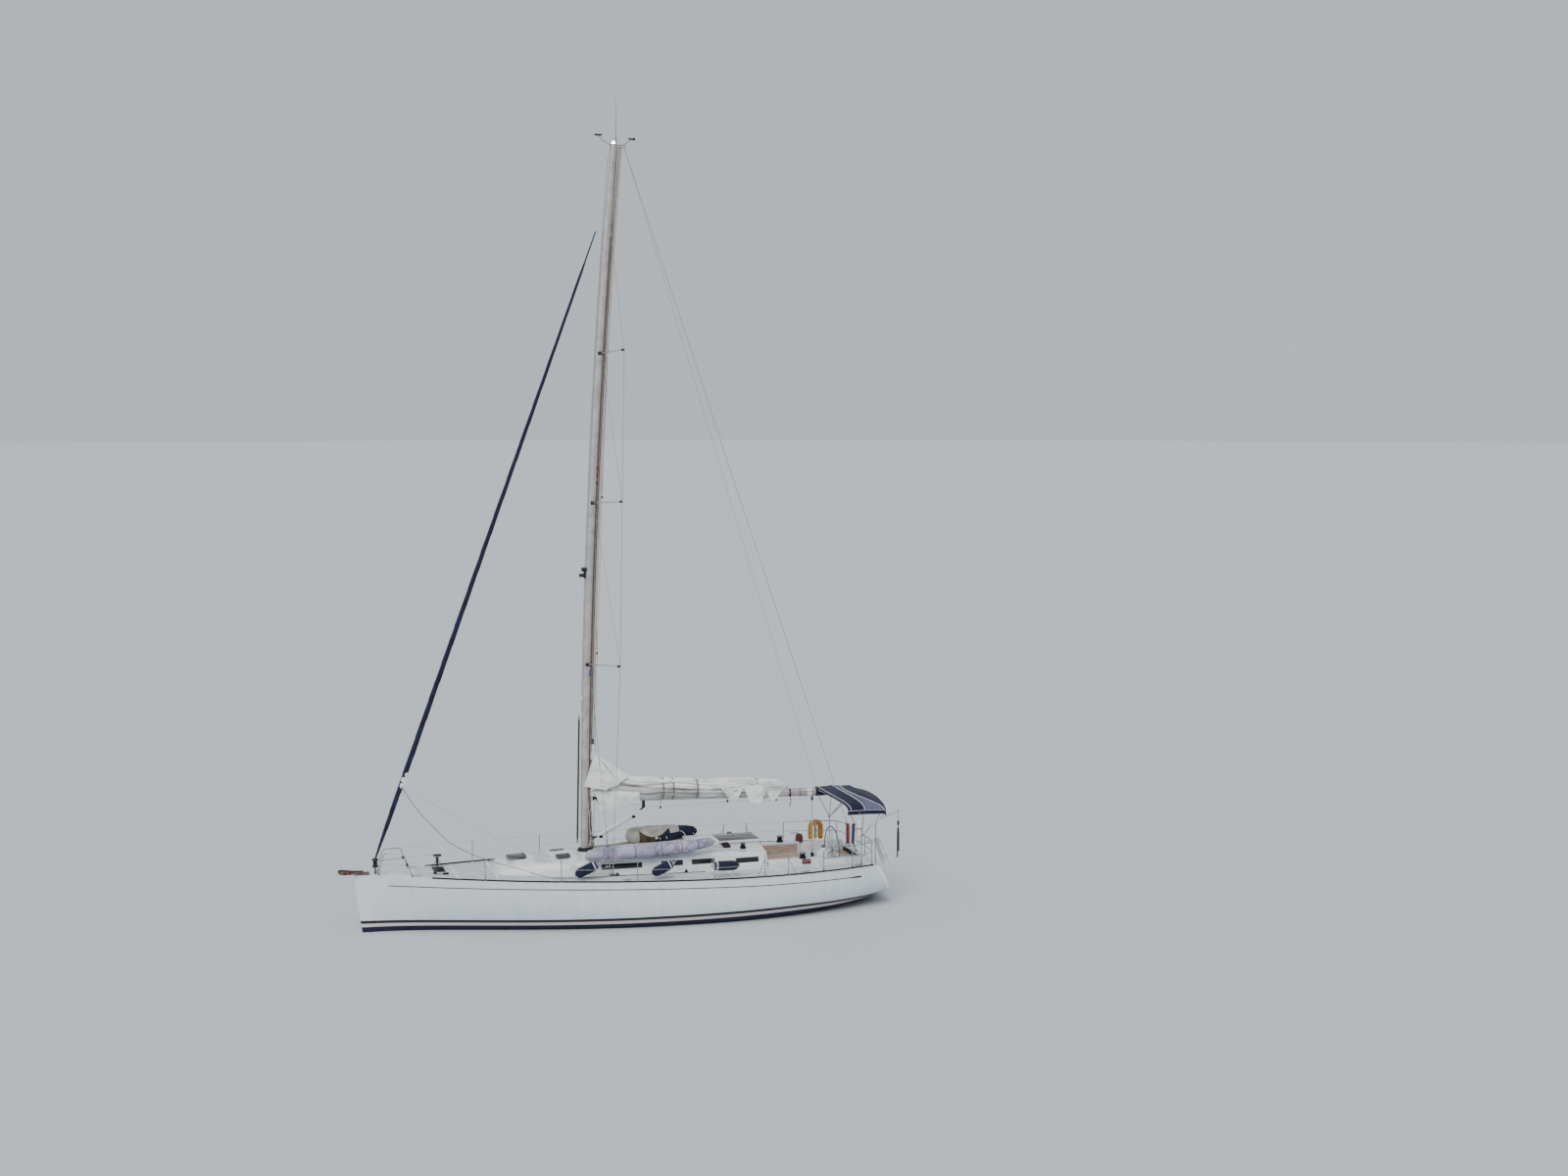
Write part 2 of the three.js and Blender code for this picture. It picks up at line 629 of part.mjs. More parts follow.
// Inside of the cabin: sole, bulkhead, settees and the steps, as one moulded liner

function buildCabin() {
  const { front, back, sole, settee } = CABIN;
  const under = sole - 25;
  // The sole has an opening over the engine.
  const well = ENGINE.half + 10;
  const board = block(front + 20, back, -560, 560, under, sole)
    .subtract(block(ENGINE.front + 10, ENGINE.back - 10, -well, well, under - 50, sole + 50));
  const bulkhead = block(front - 20, front + 20, -1300, 1300, under, 1190)
    .subtract(block(front - 80, front + 70, -280, 280, sole + 5, 1130));
  const settees = [1, -1].map((side) => block(front, back, side * 540, side * 1100, under, settee));
  const stepRise = 235;
  const steps = [0, 1, 2, 3, 4].map((i) => {
    const z = under + i * stepRise;
    return block(back + i * 10, back + 260 - i * 10, -250, 250, z, z + 30);
  });
  const cheeks = [1, -1].map((side) => block(back, back + 220, side * 250, side * 275, under, 830));
  const inside = loft(hullStations.filter((x) => x < 6900).map((x) => sectionRing(x, HULL_SKIN + 5)));
  return join([board, bulkhead, ...settees, ...cheeks, ...steps]).intersect(inside);
}

function buildEngine() {
  const { front, back, half, low, high } = ENGINE;
  return block(front, back, -half, half, low, high);
}

// Foils

function foilRing(x, z, chord, thickness, sides = 10) {
  return Array.from({ length: sides }, (_, k) => {
    const angle = (2 * Math.PI * k) / sides;
    const along = (1 + Math.cos(angle)) / 2;
    const width = thickness * Math.sin(angle) * (0.35 + 0.65 * along) * 0.62;
    return [x - chord / 2 + chord * along, width, z];
  });
}

function buildKeel() {
  const { top, foot } = KEEL_FIN;
  const fin = loft([
    foilRing(top.x, top.z, top.chord, top.thickness),
    foilRing(foot.x, foot.z, foot.chord, foot.thickness),
    foilRing(foot.x, KEEL_BULB.z, foot.chord, foot.thickness),
  ]);
  const { x, z, length, radius } = KEEL_BULB;
  // Places along the bulb, as shares of its length, and its size there.
  const sizes = [
    [0.5, 0.16], [0.42, 0.6], [0.28, 0.92], [0.1, 1],
    [-0.15, 0.86], [-0.36, 0.46], [-0.5, 0.12],
  ];
  const bulb = loft(sizes
    .map(([along, size]) => ellipse(radius * size, radius * size * 0.72, 10)
      .map(([a, b]) => [x + along * length, a, z + b])));
  return fin.add(bulb).subtract(hullClearance());
}

function hullClearance() {
  return loft(hullStations.map((x) => sectionRing(x, -JOINT_GAP)));
}

function buildRudder() {
  const { stockX, topZ, footZ, rake, topChord, footChord } = RUDDER;
  const height = topZ - footZ;
  const blade = loft([
    foilRing(stockX - topChord * 0.28, topZ, topChord, 110),
    foilRing(stockX - rake * height - footChord * 0.2, footZ, footChord, 70),
  ]);
  const stock = rod([stockX, 0, topZ - 300], [stockX, 0, 120], RUDDER_STOCK_RADIUS, 10);
  return blade.add(stock);
}

function buildDrive() {
  const { x, topZ, shaftZ, hubLength } = DRIVE;
  const leg = loft([
    foilRing(x, topZ + 60, 240, 120), foilRing(x, topZ - 120, 260, 110), foilRing(x, shaftZ, 230, 90),
  ]);
  const hub = rod([x + hubLength / 2, 0, shaftZ], [x - hubLength / 2, 0, shaftZ], 62, 10);
  return leg.add(hub).subtract(hullClearance());
}

function buildPropeller() {
  const { x, shaftZ, hubLength } = DRIVE;
  const hubX = x - hubLength / 2 - 8;
  const hub = tube([[hubX, 0, shaftZ], [hubX - 90, 0, shaftZ], [hubX - 130, 0, shaftZ]], [52, 48, 12], 10);
  const blades = [];
  for (let k = 0; k < PROPELLER.blades; k += 1) {
    const outline = ellipse(58, PROPELLER.radius / 2, 10).map(([a, b]) => [a, b + PROPELLER.radius / 2]);
    const blade = prism('YZ', outline, -7, 7).rotate([0, 0, 32]).translate([hubX - 50, 0, 0]);
    blades.push(blade.rotate([(360 / PROPELLER.blades) * k, 0, 0]).translate([0, 0, shaftZ]));
  }
  return join([hub, ...blades]);
}

// Mast, spreaders and standing rigging

function mastRing(z, grow = 0) {
  const top = 0.62 + 0.38 * Math.min((MAST.headZ - z) / 2600, 1);
  return ellipse((MAST.length / 2) * top + grow, (MAST.width / 2) * (0.3 + 0.7 * top) + grow, 12)
    .map(([a, b]) => [mastX(z) + a, b, z]);
}

function spreaderPair(row) {
  const { z, halfSpan, sweep, rise } = row;
  const x = mastX(z) - 20;
  const arm = (side) => {
    const root = ellipse(55, 17, 8).map(([a, b]) => [x + a, 0, z + b]);
    const tip = ellipse(32, 11, 8).map(([a, b]) => [x - sweep + a, side * halfSpan, z + rise + b]);
    return loft([root, tip]);
  };
  return arm(1).add(arm(-1));
}

const spreaderTip = (row, side) => [mastX(row.z) - 20 - row.sweep, side * row.halfSpan, row.z + row.rise];

function buildMast() {
  const levels = [MAST.footZ, 4000, 7000, 9500, 12000, 14500, 17000, 18740, 20000, MAST.headZ];
  const section = loft(levels.map((z) => mastRing(z)));
  const step = block(MAST.footX - 200, MAST.footX + 190, -120, 120, roofZ(MAST.footX) + 3, MAST.footZ + 40);
  const crane = block(mastX(MAST.headZ) - 330, mastX(MAST.headZ) + 120, -28, 28, MAST.headZ - 60, MAST.headZ);
  const holes = SPREADERS.map((row) => {
    const x = mastX(row.z) - 20;
    return box(160, 400, 56, x - 14, 0, row.z + 8);
  });
  const forks = [fork(GOOSENECK.x, GOOSENECK.z, 34), fork(VANG.footX, VANG.footZ, 30)];
  return join([section, step, crane, ...forks]).subtract(join(holes));
}

// Two plates and an upright pin on the after face of the mast.
function fork(x, z, half) {
  const plate = (side) => block(x - 32, mastX(z), -30, 30, z + side * half, z + side * (half + 12));
  const plates = [1, -1].map(plate);
  return join([...plates, rod([x, 0, z - half - 18], [x, 0, z + half + 18], PIN_RADIUS, 8)]);
}

// The eye that turns on such a pin.
function pinEye(x, z, half, back) {
  return block(x + 28, x - back, -26, 26, z - half, z + half)
    .subtract(rod([x, 0, z - half - 10], [x, 0, z + half + 10], PIN_RADIUS + PIN_PLAY, 10));
}

function buildShrouds(side) {
  const plate = [CHAINPLATE.x, side * CHAINPLATE.y, CHAINPLATE.z];
  const outside = (row) => {
    const [x, y, z] = spreaderTip(row, side);
    return [x - 30, y + side * 26, z];
  };
  const [low, mid, top] = SPREADERS.map(outside);
  const head = [mastX(HOUNDS_Z) - 30, side * (MAST.width / 2 + 3), HOUNDS_Z];
  const cap = tube([plate, low, mid, top, head], WIRE_RADIUS, 6);
  const inner = (row) => [mastX(row.z) - 60, side * (MAST.width / 2 + 12), row.z - 160];
  const foot = [CHAINPLATE.x + 60, side * (CHAINPLATE.y - 25), CHAINPLATE.z + 40];
  const lowerStay = rod(foot, inner(SPREADERS[0]), WIRE_RADIUS, 6);
  const diagonals = [[low, SPREADERS[1]], [mid, SPREADERS[2]]]
    .map(([from, row]) => rod(from, inner(row), WIRE_RADIUS - 1, 6));
  const deckTop = deckZ(CHAINPLATE.x, CHAINPLATE.y - 40) + 4;
  const chainplate = block(CHAINPLATE.x - 40, CHAINPLATE.x + 100, side * (CHAINPLATE.y - 40),
    side * (CHAINPLATE.y + 15), deckTop, CHAINPLATE.z + 60);
  return join([cap, lowerStay, ...diagonals, chainplate]);
}

function buildJib() {
  const foot = [FORESTAY.footX - 20, 0, FORESTAY.drumTop + 12];
  const head = [mastX(FORESTAY.headZ) + 330, 0, FORESTAY.headZ];
  const along = (t) => foot.map((value, i) => value + (head[i] - value) * t);
  const steps = [[0, 26], [0.05, 62], [0.16, 78], [0.4, 70], [0.7, 55], [0.93, 38], [0.955, 22], [1, 22]];
  return tube(steps.map(([t]) => along(t)), steps.map(([, r]) => r), 8);
}

function buildDrum() {
  const { footX, drumZ, drumTop } = FORESTAY;
  const x = footX - 6;
  const profile = [[0, 0], [85, 0], [95, 20], [60, 40], [60, 170], [95, 190], [60, 240], [0, 240]];
  const drum = turned(profile, 12, x, 0, drumZ);
  const foot = block(x - 20, x + 20, -20, 20, deckZ(footX, 0) + 3, drumZ + 10);
  return drum.add(foot).subtract(block(x - 200, x + 200, -200, 200, drumTop, drumTop + 200));
}

function buildBackstay() {
  const head = [mastX(MAST.headZ) - 290, 0, MAST.headZ - 70];
  const foot = [BACKSTAY.footX, 0, BACKSTAY.footZ];
  const plate = block(foot[0] - 30, foot[0] + 30, -12, 12, deckZ(foot[0], 0) + 3, foot[2] + 30);
  return rod(foot, head, WIRE_RADIUS, 6).add(plate);
}

function buildMasthead() {
  const x = mastX(MAST.headZ);
  const z = MAST.headZ + 2;
  const plate = block(x - 300, x + 110, -24, 24, z, z + 10);
  const light = turned([[0, 0], [45, 0], [45, 70], [25, 90], [0, 90]], 10, x - 10, 0, z + 5);
  const whip = rod([x - 60, 0, z + 5], [x - 60, 0, z + 1250], 8, 6);
  const vaneArm = tube([[x + 100, 0, z + 6], [x + 330, 0, z + 120], [x + 430, 0, z + 250]], 9, 6);
  const vane = block(x + 330, x + 540, -8, 8, z + 230, z + 290);
  const cupArm = tube([[x - 290, 0, z + 6], [x - 470, 0, z + 160]], 9, 6);
  const cups = block(x - 600, x - 400, -8, 8, z + 140, z + 200);
  return join([plate, light, whip, vaneArm, vane, cupArm, cups]);
}

// Boom with its strut, sail and sheet

function buildBoom() {
  const { frontX, backX, backZ, depth, width } = BOOM;
  const ring = (x, z, size) => ellipse(width / 2, (depth / 2) * size, 10).map(([a, b]) => [x, a, z + b]);
  const front = [ring(frontX - 40, GOOSENECK.z, 0.8), ring(frontX - 200, GOOSENECK.z - 5, 1)];
  const spar = loft([...front, ring(backX, backZ, 1)]);
  return spar.add(pinEye(GOOSENECK.x, GOOSENECK.z, 26, 110));
}

function buildVang() {
  const foot = [VANG.footX - 40, 0, VANG.footZ];
  const head = [VANG.headX, 0, VANG.headZ - 180];
  const lean = (t) => foot.map((value, i) => value + (head[i] - value) * t);
  const strut = tube([lean(0.05), lean(0.5), lean(1)], [27, 27, 20], 8);
  const eye = pinEye(VANG.footX, VANG.footZ, 22, 130);
  const head2 = block(head[0] - 50, head[0] + 40, -14, 14, head[2] - 10, head[2] + 62);
  return join([strut, eye, head2]);
}

function buildMainsail() {
  // The sail lies in folds on the boom. half widths and heights above the boom's middle.
  const rows = [
    { x: 505, half: 60, low: 130, high: 1230 },
    { x: 430, half: 150, low: 125, high: 1180 },
    { x: 200, half: 190, low: 120, high: 900 },
    { x: -250, half: 215, low: -230, high: 640 },
    { x: -700, half: 225, low: -60, high: 580 },
    { x: -1400, half: 220, low: 118, high: 560 },
    { x: -2700, half: 210, low: 118, high: 430 },
    { x: -3600, half: 200, low: -20, high: 490 },
    { x: -4400, half: 170, low: -180, high: 450 },
    { x: -5000, half: 120, low: 118, high: 360 },
  ];
  const slope = (BOOM.backZ - GOOSENECK.z) / (GOOSENECK.x - BOOM.backX);
  const centre = (x) => GOOSENECK.z + slope * (GOOSENECK.x - x);
  const body = loft(rows.map(({ x, half, low, high }) => {
    const z = centre(x);
    const belly = z + low + (high - low) * 0.35;
    const side = [[0.75, z + low], [1, belly], [0.45, z + high * 0.95]];
    return [...side.map(([share, height]) => [x, half * share, height]), [x, 0, z + high],
      ...side.map(([share, height]) => [x, -half * share, height]).reverse()];
  }));
  const ring = (x, z) => ellipse(BOOM.width / 2 + 3, BOOM.depth / 2 + 3, 10).map(([a, b]) => [x, a, z + b]);
  const sparSpace = loft([ring(700, centre(700)), ring(-6200, centre(-6200))]);
  const slotHalf = BOOM.width / 2 + 3;
  const slot = block(700, -6200, -slotHalf, slotHalf, 2000, centre(700) - 3);
  return body.subtract(sparSpace).subtract(slot);
}

function buildMainsheet() {
  const { x } = TRAVELLER;
  const top = BOOM.backZ - BOOM.depth / 2;
  const block1 = box(70, 40, 130, x, 0, top - 72);
  const falls = [-22, 22].map((dx) => rod([x + dx, 0, top - 120], [x + dx * 0.8, 0, 2110], 6, 6));
  const block2 = box(70, 40, 110, x, 0, 2080);
  return join([block1, block2, ...falls]);
}

function buildTraveller() {
  const { x, half } = TRAVELLER;
  const z = BRIDGE.high + 3;
  const track = block(x - 22, x + 22, -half, half, z, z + 32);
  const car = block(x - 60, x + 60, -65, 65, z + 22, z + 70);
  const sheave = block(x - 45, x + 45, -22, 22, z + 60, z + 330);
  return join([track, car, sheave]);
}

function buildPole() {
  const { foot, head, radius } = POLE;
  const at = (t) => foot.map((value, i) => value + (head[i] - value) * t);
  const steps = [[0, 0.6], [0.02, 0.6], [0.05, 1], [0.95, 1], [0.98, 0.6], [1, 0.6]];
  return tube(steps.map(([t]) => at(t)), steps.map(([, size]) => size * radius), 8);
}

// Rails. Every tube end is let into the next tube.

function buildGuardRail(side) {
  const toe = loft(toeRailStations().map((x) => {
    const y = halfBeam(x) - TOE_RAIL.inset;
    const z = sheerZ(x) + 4;
    const { width, height } = TOE_RAIL;
    return [[x, side * y, z], [x, side * y, z + height], [x, side * (y - width), z + height],
      [x, side * (y - width), z + 6]];
  }));
  const foot = (x) => [x, side * (halfBeam(x) - RAIL_INSET + 40), sheerZ(x) + 24];
  const head = (x) => [x, side * (halfBeam(x) - RAIL_INSET), sheerZ(x) + STANCHION_HEIGHT];
  const posts = STANCHIONS.map((x) => rod(foot(x), head(x), STANCHION_RADIUS, 6));
  const middle = (x) => {
    const a = foot(x);
    const b = head(x);
    return a.map((value, i) => value + (b[i] - value) * 0.52);
  };
  const bow = pulpitPost(side, 5690);
  const stern = pushpitPost(side);
  const inset = (p, dx) => [p[0] + dx, p[1], p[2]];
  const top = [inset(bow.top, -30), ...STANCHIONS.map((x) => {
    const p = head(x);
    return [p[0], p[1], p[2] - 12];
  }), inset(stern.top, 30)];
  const low = [inset(bow.mid, -30), ...STANCHIONS.map(middle), inset(stern.mid, 30)];
  const braces = [[-3780, 230], [-4460, -230]].map(([x, dx]) => {
    const b = head(x);
    const f = foot(x + dx);
    return rod(f, [b[0], b[1], b[2] - 130], STANCHION_RADIUS - 3, 6);
  });
  return join([toe, ...posts, ...braces, tube(top, LIFELINE_RADIUS, 6), tube(low, LIFELINE_RADIUS, 6)]);
}

function toeRailStations() {
  const { front, back } = TOE_RAIL;
  return [front, ...hullStations.filter((x) => x < front && x > back), back];
}

// Where the lifelines end, at the aft post of the pulpit and the forward post of the pushpit.
function pulpitPost(side, x) {
  const y = side * (halfBeam(x) - 130);
  const z = deckZ(x, y);
  return { foot: [x, y, z + 12], mid: [x + 130, y, z + 320], top: [x + 200, y, z + 590] };
}

function pushpitPost(side) {
  const x = -5560;
  const y = side * (halfBeam(x) - 110);
  const z = deckZ(x, y);
  return { foot: [x, y, z + 3], mid: [x, y, z + 330], top: [x, y, z + 620] };
}

function buildPulpit() {
  const arms = [1, -1].flatMap((side) => {
    const post = pulpitPost(side, 5690);
    const frontFoot = [6560, side * 165, deckZ(6560, 165) + 12];
    const frontTop = [6420, side * 240, frontFoot[2] + 600];
    const lift = (a, b, t) => a.map((value, i) => value + (b[i] - value) * t);
    return [
      tube([post.foot, post.mid, post.top, frontTop, frontFoot], RAIL_RADIUS, 6),
      rod(lift(post.foot, post.mid, 0.95), lift(frontFoot, frontTop, 0.5), RAIL_RADIUS - 3, 6),
    ];
  });
  const feet = [1, -1].map((side) => box(60, 60, 20, 6560, side * 165, deckZ(6560, 165) + 13));
  const cross = rod([6533, -178, 1710], [6533, 178, 1710], RAIL_RADIUS - 2, 6);
  const lamp = box(60, 50, 90, 5830, -(halfBeam(5690) - 130), 1900);
  return join([...arms, ...feet, cross, lamp]);
}

function buildPushpit() {
  const parts = [];
  const railY = (x) => halfBeam(x) - 110;
  const xs = [-5560, -6480, -7120];
  const level = (dz) => (side) => [
    ...xs.map((x) => [x, side * railY(x), deckZ(x, railY(x)) + dz]),
    [-7210, side * 1200, deckZ(-7210, 1200) + dz],
  ];
  for (const side of [1, -1]) {
    const frontFoot = [xs[0], side * railY(xs[0]), 1285];
    parts.push(tube([frontFoot, ...level(620)(side), [-7210, 0, 1910]], RAIL_RADIUS, 6));
    parts.push(tube([...level(330)(side), [-7210, 0, 1620]], RAIL_RADIUS - 3, 6));
    for (const x of xs.slice(1)) {
      const [y, z] = [side * railY(x), deckZ(x, railY(x))];
      parts.push(rod([x, y, z + 3], [x, y, z + 622], RAIL_RADIUS, 6));
    }
    parts.push(rod([-7215, side * 700, deckZ(-7215, 700) + 3], [-7210, side * 700, 1910], RAIL_RADIUS, 6));
  }
  return join(parts);
}

// Deck gear

function buildBowRoller() {
  const z = 1640;
  const plate = block(7480, 6800, -120, 120, z, z + 14);
  const cheeks = [-120, -6, 108].map((y) => block(7640, 6950, y, y + 12, z + 5, z + 105));
  const rollers = rod([7560, -110, z + 70], [7560, 110, z + 70], 42, 10);
  const foot = block(7050, 6800, -60, 60, sheerZ(7000) + 18, z + 5);
  return join([plate, ...cheeks, rollers, foot]);
}

function buildWindlass() {
  const x = 4900;
  const y = -430;
  const z = deckZ(x + 160, 0) + 3;
  const baseplate = block(x - 160, x + 160, y - 60, y + 560, z, z + 16);
  const post = rod([x, y, z + 10], [x, y, z + 330], 26, 8);
  const head = block(x - 95, x + 95, y - 30, y + 30, z + 320, z + 375);
  const profile = [[0, 0], [85, 0], [60, 40], [60, 90], [85, 120], [0, 120]];
  const drum = turned(profile, 12, x - 40, y + 440, z + 10);
  return join([baseplate, post, head, drum]);
}

function buildWinch(side) {
  const y = side * 1118;
  const drum = [[105, 0], [105, 25], [72, 60], [72, 150], [95, 175], [95, 190], [40, 205]];
  const profile = [[0, 0], ...drum, [0, 205]];
  return turned(profile, 14, -5200, y, COAMING.high + 3);
}

// Steering. One large wheel turns on the after side of a pedestal that carries the compass.

function buildWheel() {
  const { x, z, radius, rim } = WHEEL;
  const sides = 32;
  const circle = (r) => ellipse(r, r, sides);
  const ringSolid = prism('YZ', circle(radius + rim), -rim, rim)
    .subtract(prism('YZ', circle(radius - rim), -rim - 5, rim + 5));
  const spokes = Array.from({ length: 6 }, (_, k) => {
    const angle = (2 * Math.PI * k) / 6 + Math.PI / 6;
    return rod([0, 0, 0], [0, Math.cos(angle) * radius, Math.sin(angle) * radius], 9, 6);
  });
  const hub = rod([-28, 0, 0], [50, 0, 0], 48, 12);
  return join([ringSolid, hub, ...spokes]).translate([x, 0, z]);
}

function buildPedestal() {
  const { front, back, halfWidth, top, compassX, compassTop } = PEDESTAL;
  const ring = (x0, x1, half, z) => [[x0, -half, z], [x0, half, z], [x1, half, z], [x1, -half, z]];
  const sole = COCKPIT.sole + 3;
  const column = loft([
    ring(front + 40, back - 20, halfWidth, sole), ring(front, back, halfWidth * 0.85, top - 330),
    ring(front, back, halfWidth, top - 300), ring(front, back, halfWidth, top),
  ]);
  const bowl = turned([[0, 0], [105, 0], [105, 45], [75, 95], [30, 165], [12, compassTop - top + 4],
    [0, compassTop - top + 4]], 12, compassX, 0, top - 4);
  const hubX = WHEEL.x + 56;
  const boss = rod([back + 30, 0, WHEEL.z], [hubX, 0, WHEEL.z], 60, 12);
  return join([column, bowl, boss]);
}

// Bimini

function hoop({ x, lean, top, side }, inset, drop, steps = 8) {
  const half = BIMINI.halfWidth - inset;
  return Array.from({ length: steps + 1 }, (_, k) => {
    const angle = (Math.PI * k) / steps;
    const share = Math.cos(angle);
    return [x - lean * share * share, half * share, side - drop + (top - side) * Math.sin(angle) ** 0.8];
  });
}

function buildBiminiCanvas() {
  const { skin, valance } = BIMINI;
  const ring = (row) => {
    const outer = hoop(row, 0, 0);
    const inner = hoop(row, skin, skin);
    const hem = ([x, y]) => [x, y, row.side - valance];
    return [hem(outer[0]), ...outer, hem(outer[8]), hem(inner[8]), ...inner.reverse(), hem(inner[8])];
  };
  const slit = block(-6640, -6500, -30, 30, 3000, 3300);
  return loft(CANVAS_HOOPS.map(ring)).subtract(slit);
}

// Three hoops of tube meet at a hinge each side, above the stern rail.
function buildBiminiFrame() {
  const { hingeX, hingeZ, halfWidth } = BIMINI;
  const y = halfWidth - 50;
  const hinge = (side) => [hingeX, side * y, hingeZ];
  const moved = (row, dx, lean) => ({ ...row, x: row.x + dx, lean: lean ?? row.lean });
  const [first, second, third, last] = CANVAS_HOOPS;
  const bows = [moved(first, -50), second, moved(third, 10), moved(last, 60, -20)]
    .map((row) => tube([hinge(1), ...hoop(row, 50, 45), hinge(-1)], 12, 6));
  const legs = [1, -1].map((side) => rod(hinge(side), [hingeX, side * y, deckZ(hingeX, y) + 4], 14, 6));
  return join([...bows, ...legs]);
}

// Stern gear

function buildDavit() {
  const { x, y } = DAVIT;
  const mast = tube([[x, y, 1290], [x, y, 2460], [x - 100, y, 2570], [x - 720, y, 2785]], 16, 8);
  const strop = rod([x - 680, y, 2765], [x - 680, y, 2480], 6, 6);
  const tackle = block(x - 710, x - 650, y - 25, y + 25, 2150, 2500);
  const tails = [[-695, -12, 1600], [-660, 12, 1430]]
    .map(([dx, dy, z]) => rod([x + dx, y + dy, 2200], [x + dx, y + dy, z], 13, 6));
  return join([mast, strop, tackle, ...tails]);
}

// A folded plank that hangs behind the stern rail on two arms.
function buildGangway() {
  const { outline, low, high } = GANGWAY;
  const arms = [low + 60, high - 60].map((y) => rod([-7560, y, 1765], [-7235, y, 1765], 10, 6));
  return join([prism('XZ', outline, low, high), ...arms]);
}

// A horseshoe, open side down, on the stern rail.
function buildLifebuoy() {
  const { x, y, low, middle, half, radius } = LIFEBUOY;
  const arch = Array.from({ length: 7 }, (_, k) => {
    const angle = (Math.PI * k) / 6;
    return [x + Math.cos(angle) * half, y, middle + Math.sin(angle) * half];
  });
  return tube([[x + half, y, low], ...arch, [x - half, y, low]], radius, 8);
}

// Fenders lie along the port rail, by their two ends.
function buildFender({ a, b }) {
  const along = (t) => a.map((value, i) => value + (b[i] - value) * t);
  const profile = [[0, 0.25], [0.07, 0.68], [0.2, 0.96], [0.5, 1], [0.8, 0.96], [0.93, 0.68], [1, 0.25]];
  return tube(profile.map(([t]) => along(t)), profile.map(([, size]) => size * FENDER_RADIUS), 10);
}

function buildSailBag() {
  const rows = [
    { x: 1090, y: 1200, z: 1950, r: 50 },
    { x: 960, y: 1200, z: 1990, r: 165 },
    { x: 0, y: 1200, z: 2010, r: 205 },
    { x: -1000, y: 1200, z: 2020, r: 200 },
    { x: -1900, y: 1180, z: 2070, r: 185 },
    { x: -2450, y: 1110, z: 2120, r: 130 },
    { x: -2650, y: 1060, z: 2120, r: 50 },
  ];
  const ring = ({ x, y, z, r }) => ellipse(r * 1.15, r * 0.95, 10).map(([a, b]) => [x, y + a, z + b]);
  // The two shrouds pass the bag in channels.
  const [tipX, tipY, tipZ] = spreaderTip(SPREADERS[0], 1);
  const { x: plateX, y: plateY, z: plateZ } = CHAINPLATE;
  const channels = [
    rod([plateX, plateY, plateZ - 40], [tipX - 30, tipY + 26, tipZ], 30, 6),
    rod([plateX + 60, plateY - 25, plateZ - 40], [mastX(SPREADERS[0].z) - 60, 87, 6950], 30, 6),
  ];
  return loft(rows.map(ring)).subtract(roofSolid(12, 900)).subtract(join(channels));
}

function buildBundle() {
  const rows = [
    { x: -500, r: 60 }, { x: -620, r: 200 }, { x: -1200, r: 240 }, { x: -1900, r: 220 }, { x: -2000, r: 60 },
  ];
  const middle = { y: -560, z: 2050 };
  const ring = ({ x, r }) => ellipse(r * 1.5, r, 10).map(([a, b]) => [x, middle.y + a, middle.z + b]);
  const body = loft(rows.map(ring));
  return body.subtract(roofSolid(12, 900));
}

const WHITE = 0xe9eef2;
const STEEL = 0xb9bec4;
const ALLOY = 0x9a9ea3;
const NAVY = 0x1d2440;
const BLACK = 0x17181a;
const TEAK = 0xa9795c;
const DARK_ACRYLIC = 0x2c3036;

addMesh('hull', buildHull(), WHITE, 0.2);
addMesh('deck', buildDeck(), WHITE, 0.5);
addMesh('coachroof', buildRoof(), WHITE, 0.4);
addMesh('cockpit', buildCockpit(), WHITE, 0.45);
addMesh('helm_well', buildHelmWell(), WHITE, 0.45);
addMesh('stern_bench', buildSternBench(), WHITE, 0.45);
addMesh('windows_port', buildWindows(), 0x23262b, 0.1);
addMesh('windows_starboard', mirrored(buildWindows()), 0x23262b, 0.1);
addMesh('cabin_liner', buildCabin(), TEAK, 0.5);
addMesh('engine_block', buildEngine(), 0x8a8f94, 0.5, 0.6);
addMesh('keel', buildKeel(), NAVY, 0.6);
addMesh('saildrive', buildDrive(), 0x8f9498, 0.5, 0.6);
addMesh('propeller', buildPropeller(), 0xb08d4a, 0.35, 0.9);
addMesh('rudder', buildRudder(), NAVY, 0.6);
addMesh('mast', buildMast(), ALLOY, 0.45, 0.8);
for (const row of SPREADERS) addMesh(`spreaders_${row.name}`, spreaderPair(row), ALLOY, 0.4, 0.8);
addMesh('masthead_gear', buildMasthead(), BLACK, 0.5);
addMesh('furled_jib', buildJib(), NAVY, 0.9);
addMesh('furler_drum', buildDrum(), BLACK, 0.4);
addMesh('shrouds_port', buildShrouds(1), STEEL, 0.3, 0.9);
addMesh('shrouds_starboard', buildShrouds(-1), STEEL, 0.3, 0.9);
addMesh('backstay', buildBackstay(), STEEL, 0.3, 0.9);
addMesh('whisker_pole', buildPole(), BLACK, 0.4);
addMesh('boom', buildBoom(), ALLOY, 0.4, 0.8);
addMesh('vang', buildVang(), 0xd6dade, 0.4, 0.6);
addMesh('mainsail', buildMainsail(), 0xe6e3dc, 0.9);
addMesh('mainsheet', buildMainsheet(), BLACK, 0.8);
addMesh('traveller', buildTraveller(), BLACK, 0.4, 0.5);
addMesh('guard_rail_port', buildGuardRail(1), STEEL, 0.25, 0.9);
addMesh('guard_rail_starboard', buildGuardRail(-1), STEEL, 0.25, 0.9);
addMesh('pulpit', buildPulpit(), STEEL, 0.25, 0.9);
addMesh('pushpit', buildPushpit(), STEEL, 0.25, 0.9);
addMesh('bow_roller', buildBowRoller(), 0x7b5a45, 0.5, 0.5);
addMesh('windlass', buildWindlass(), BLACK, 0.5);
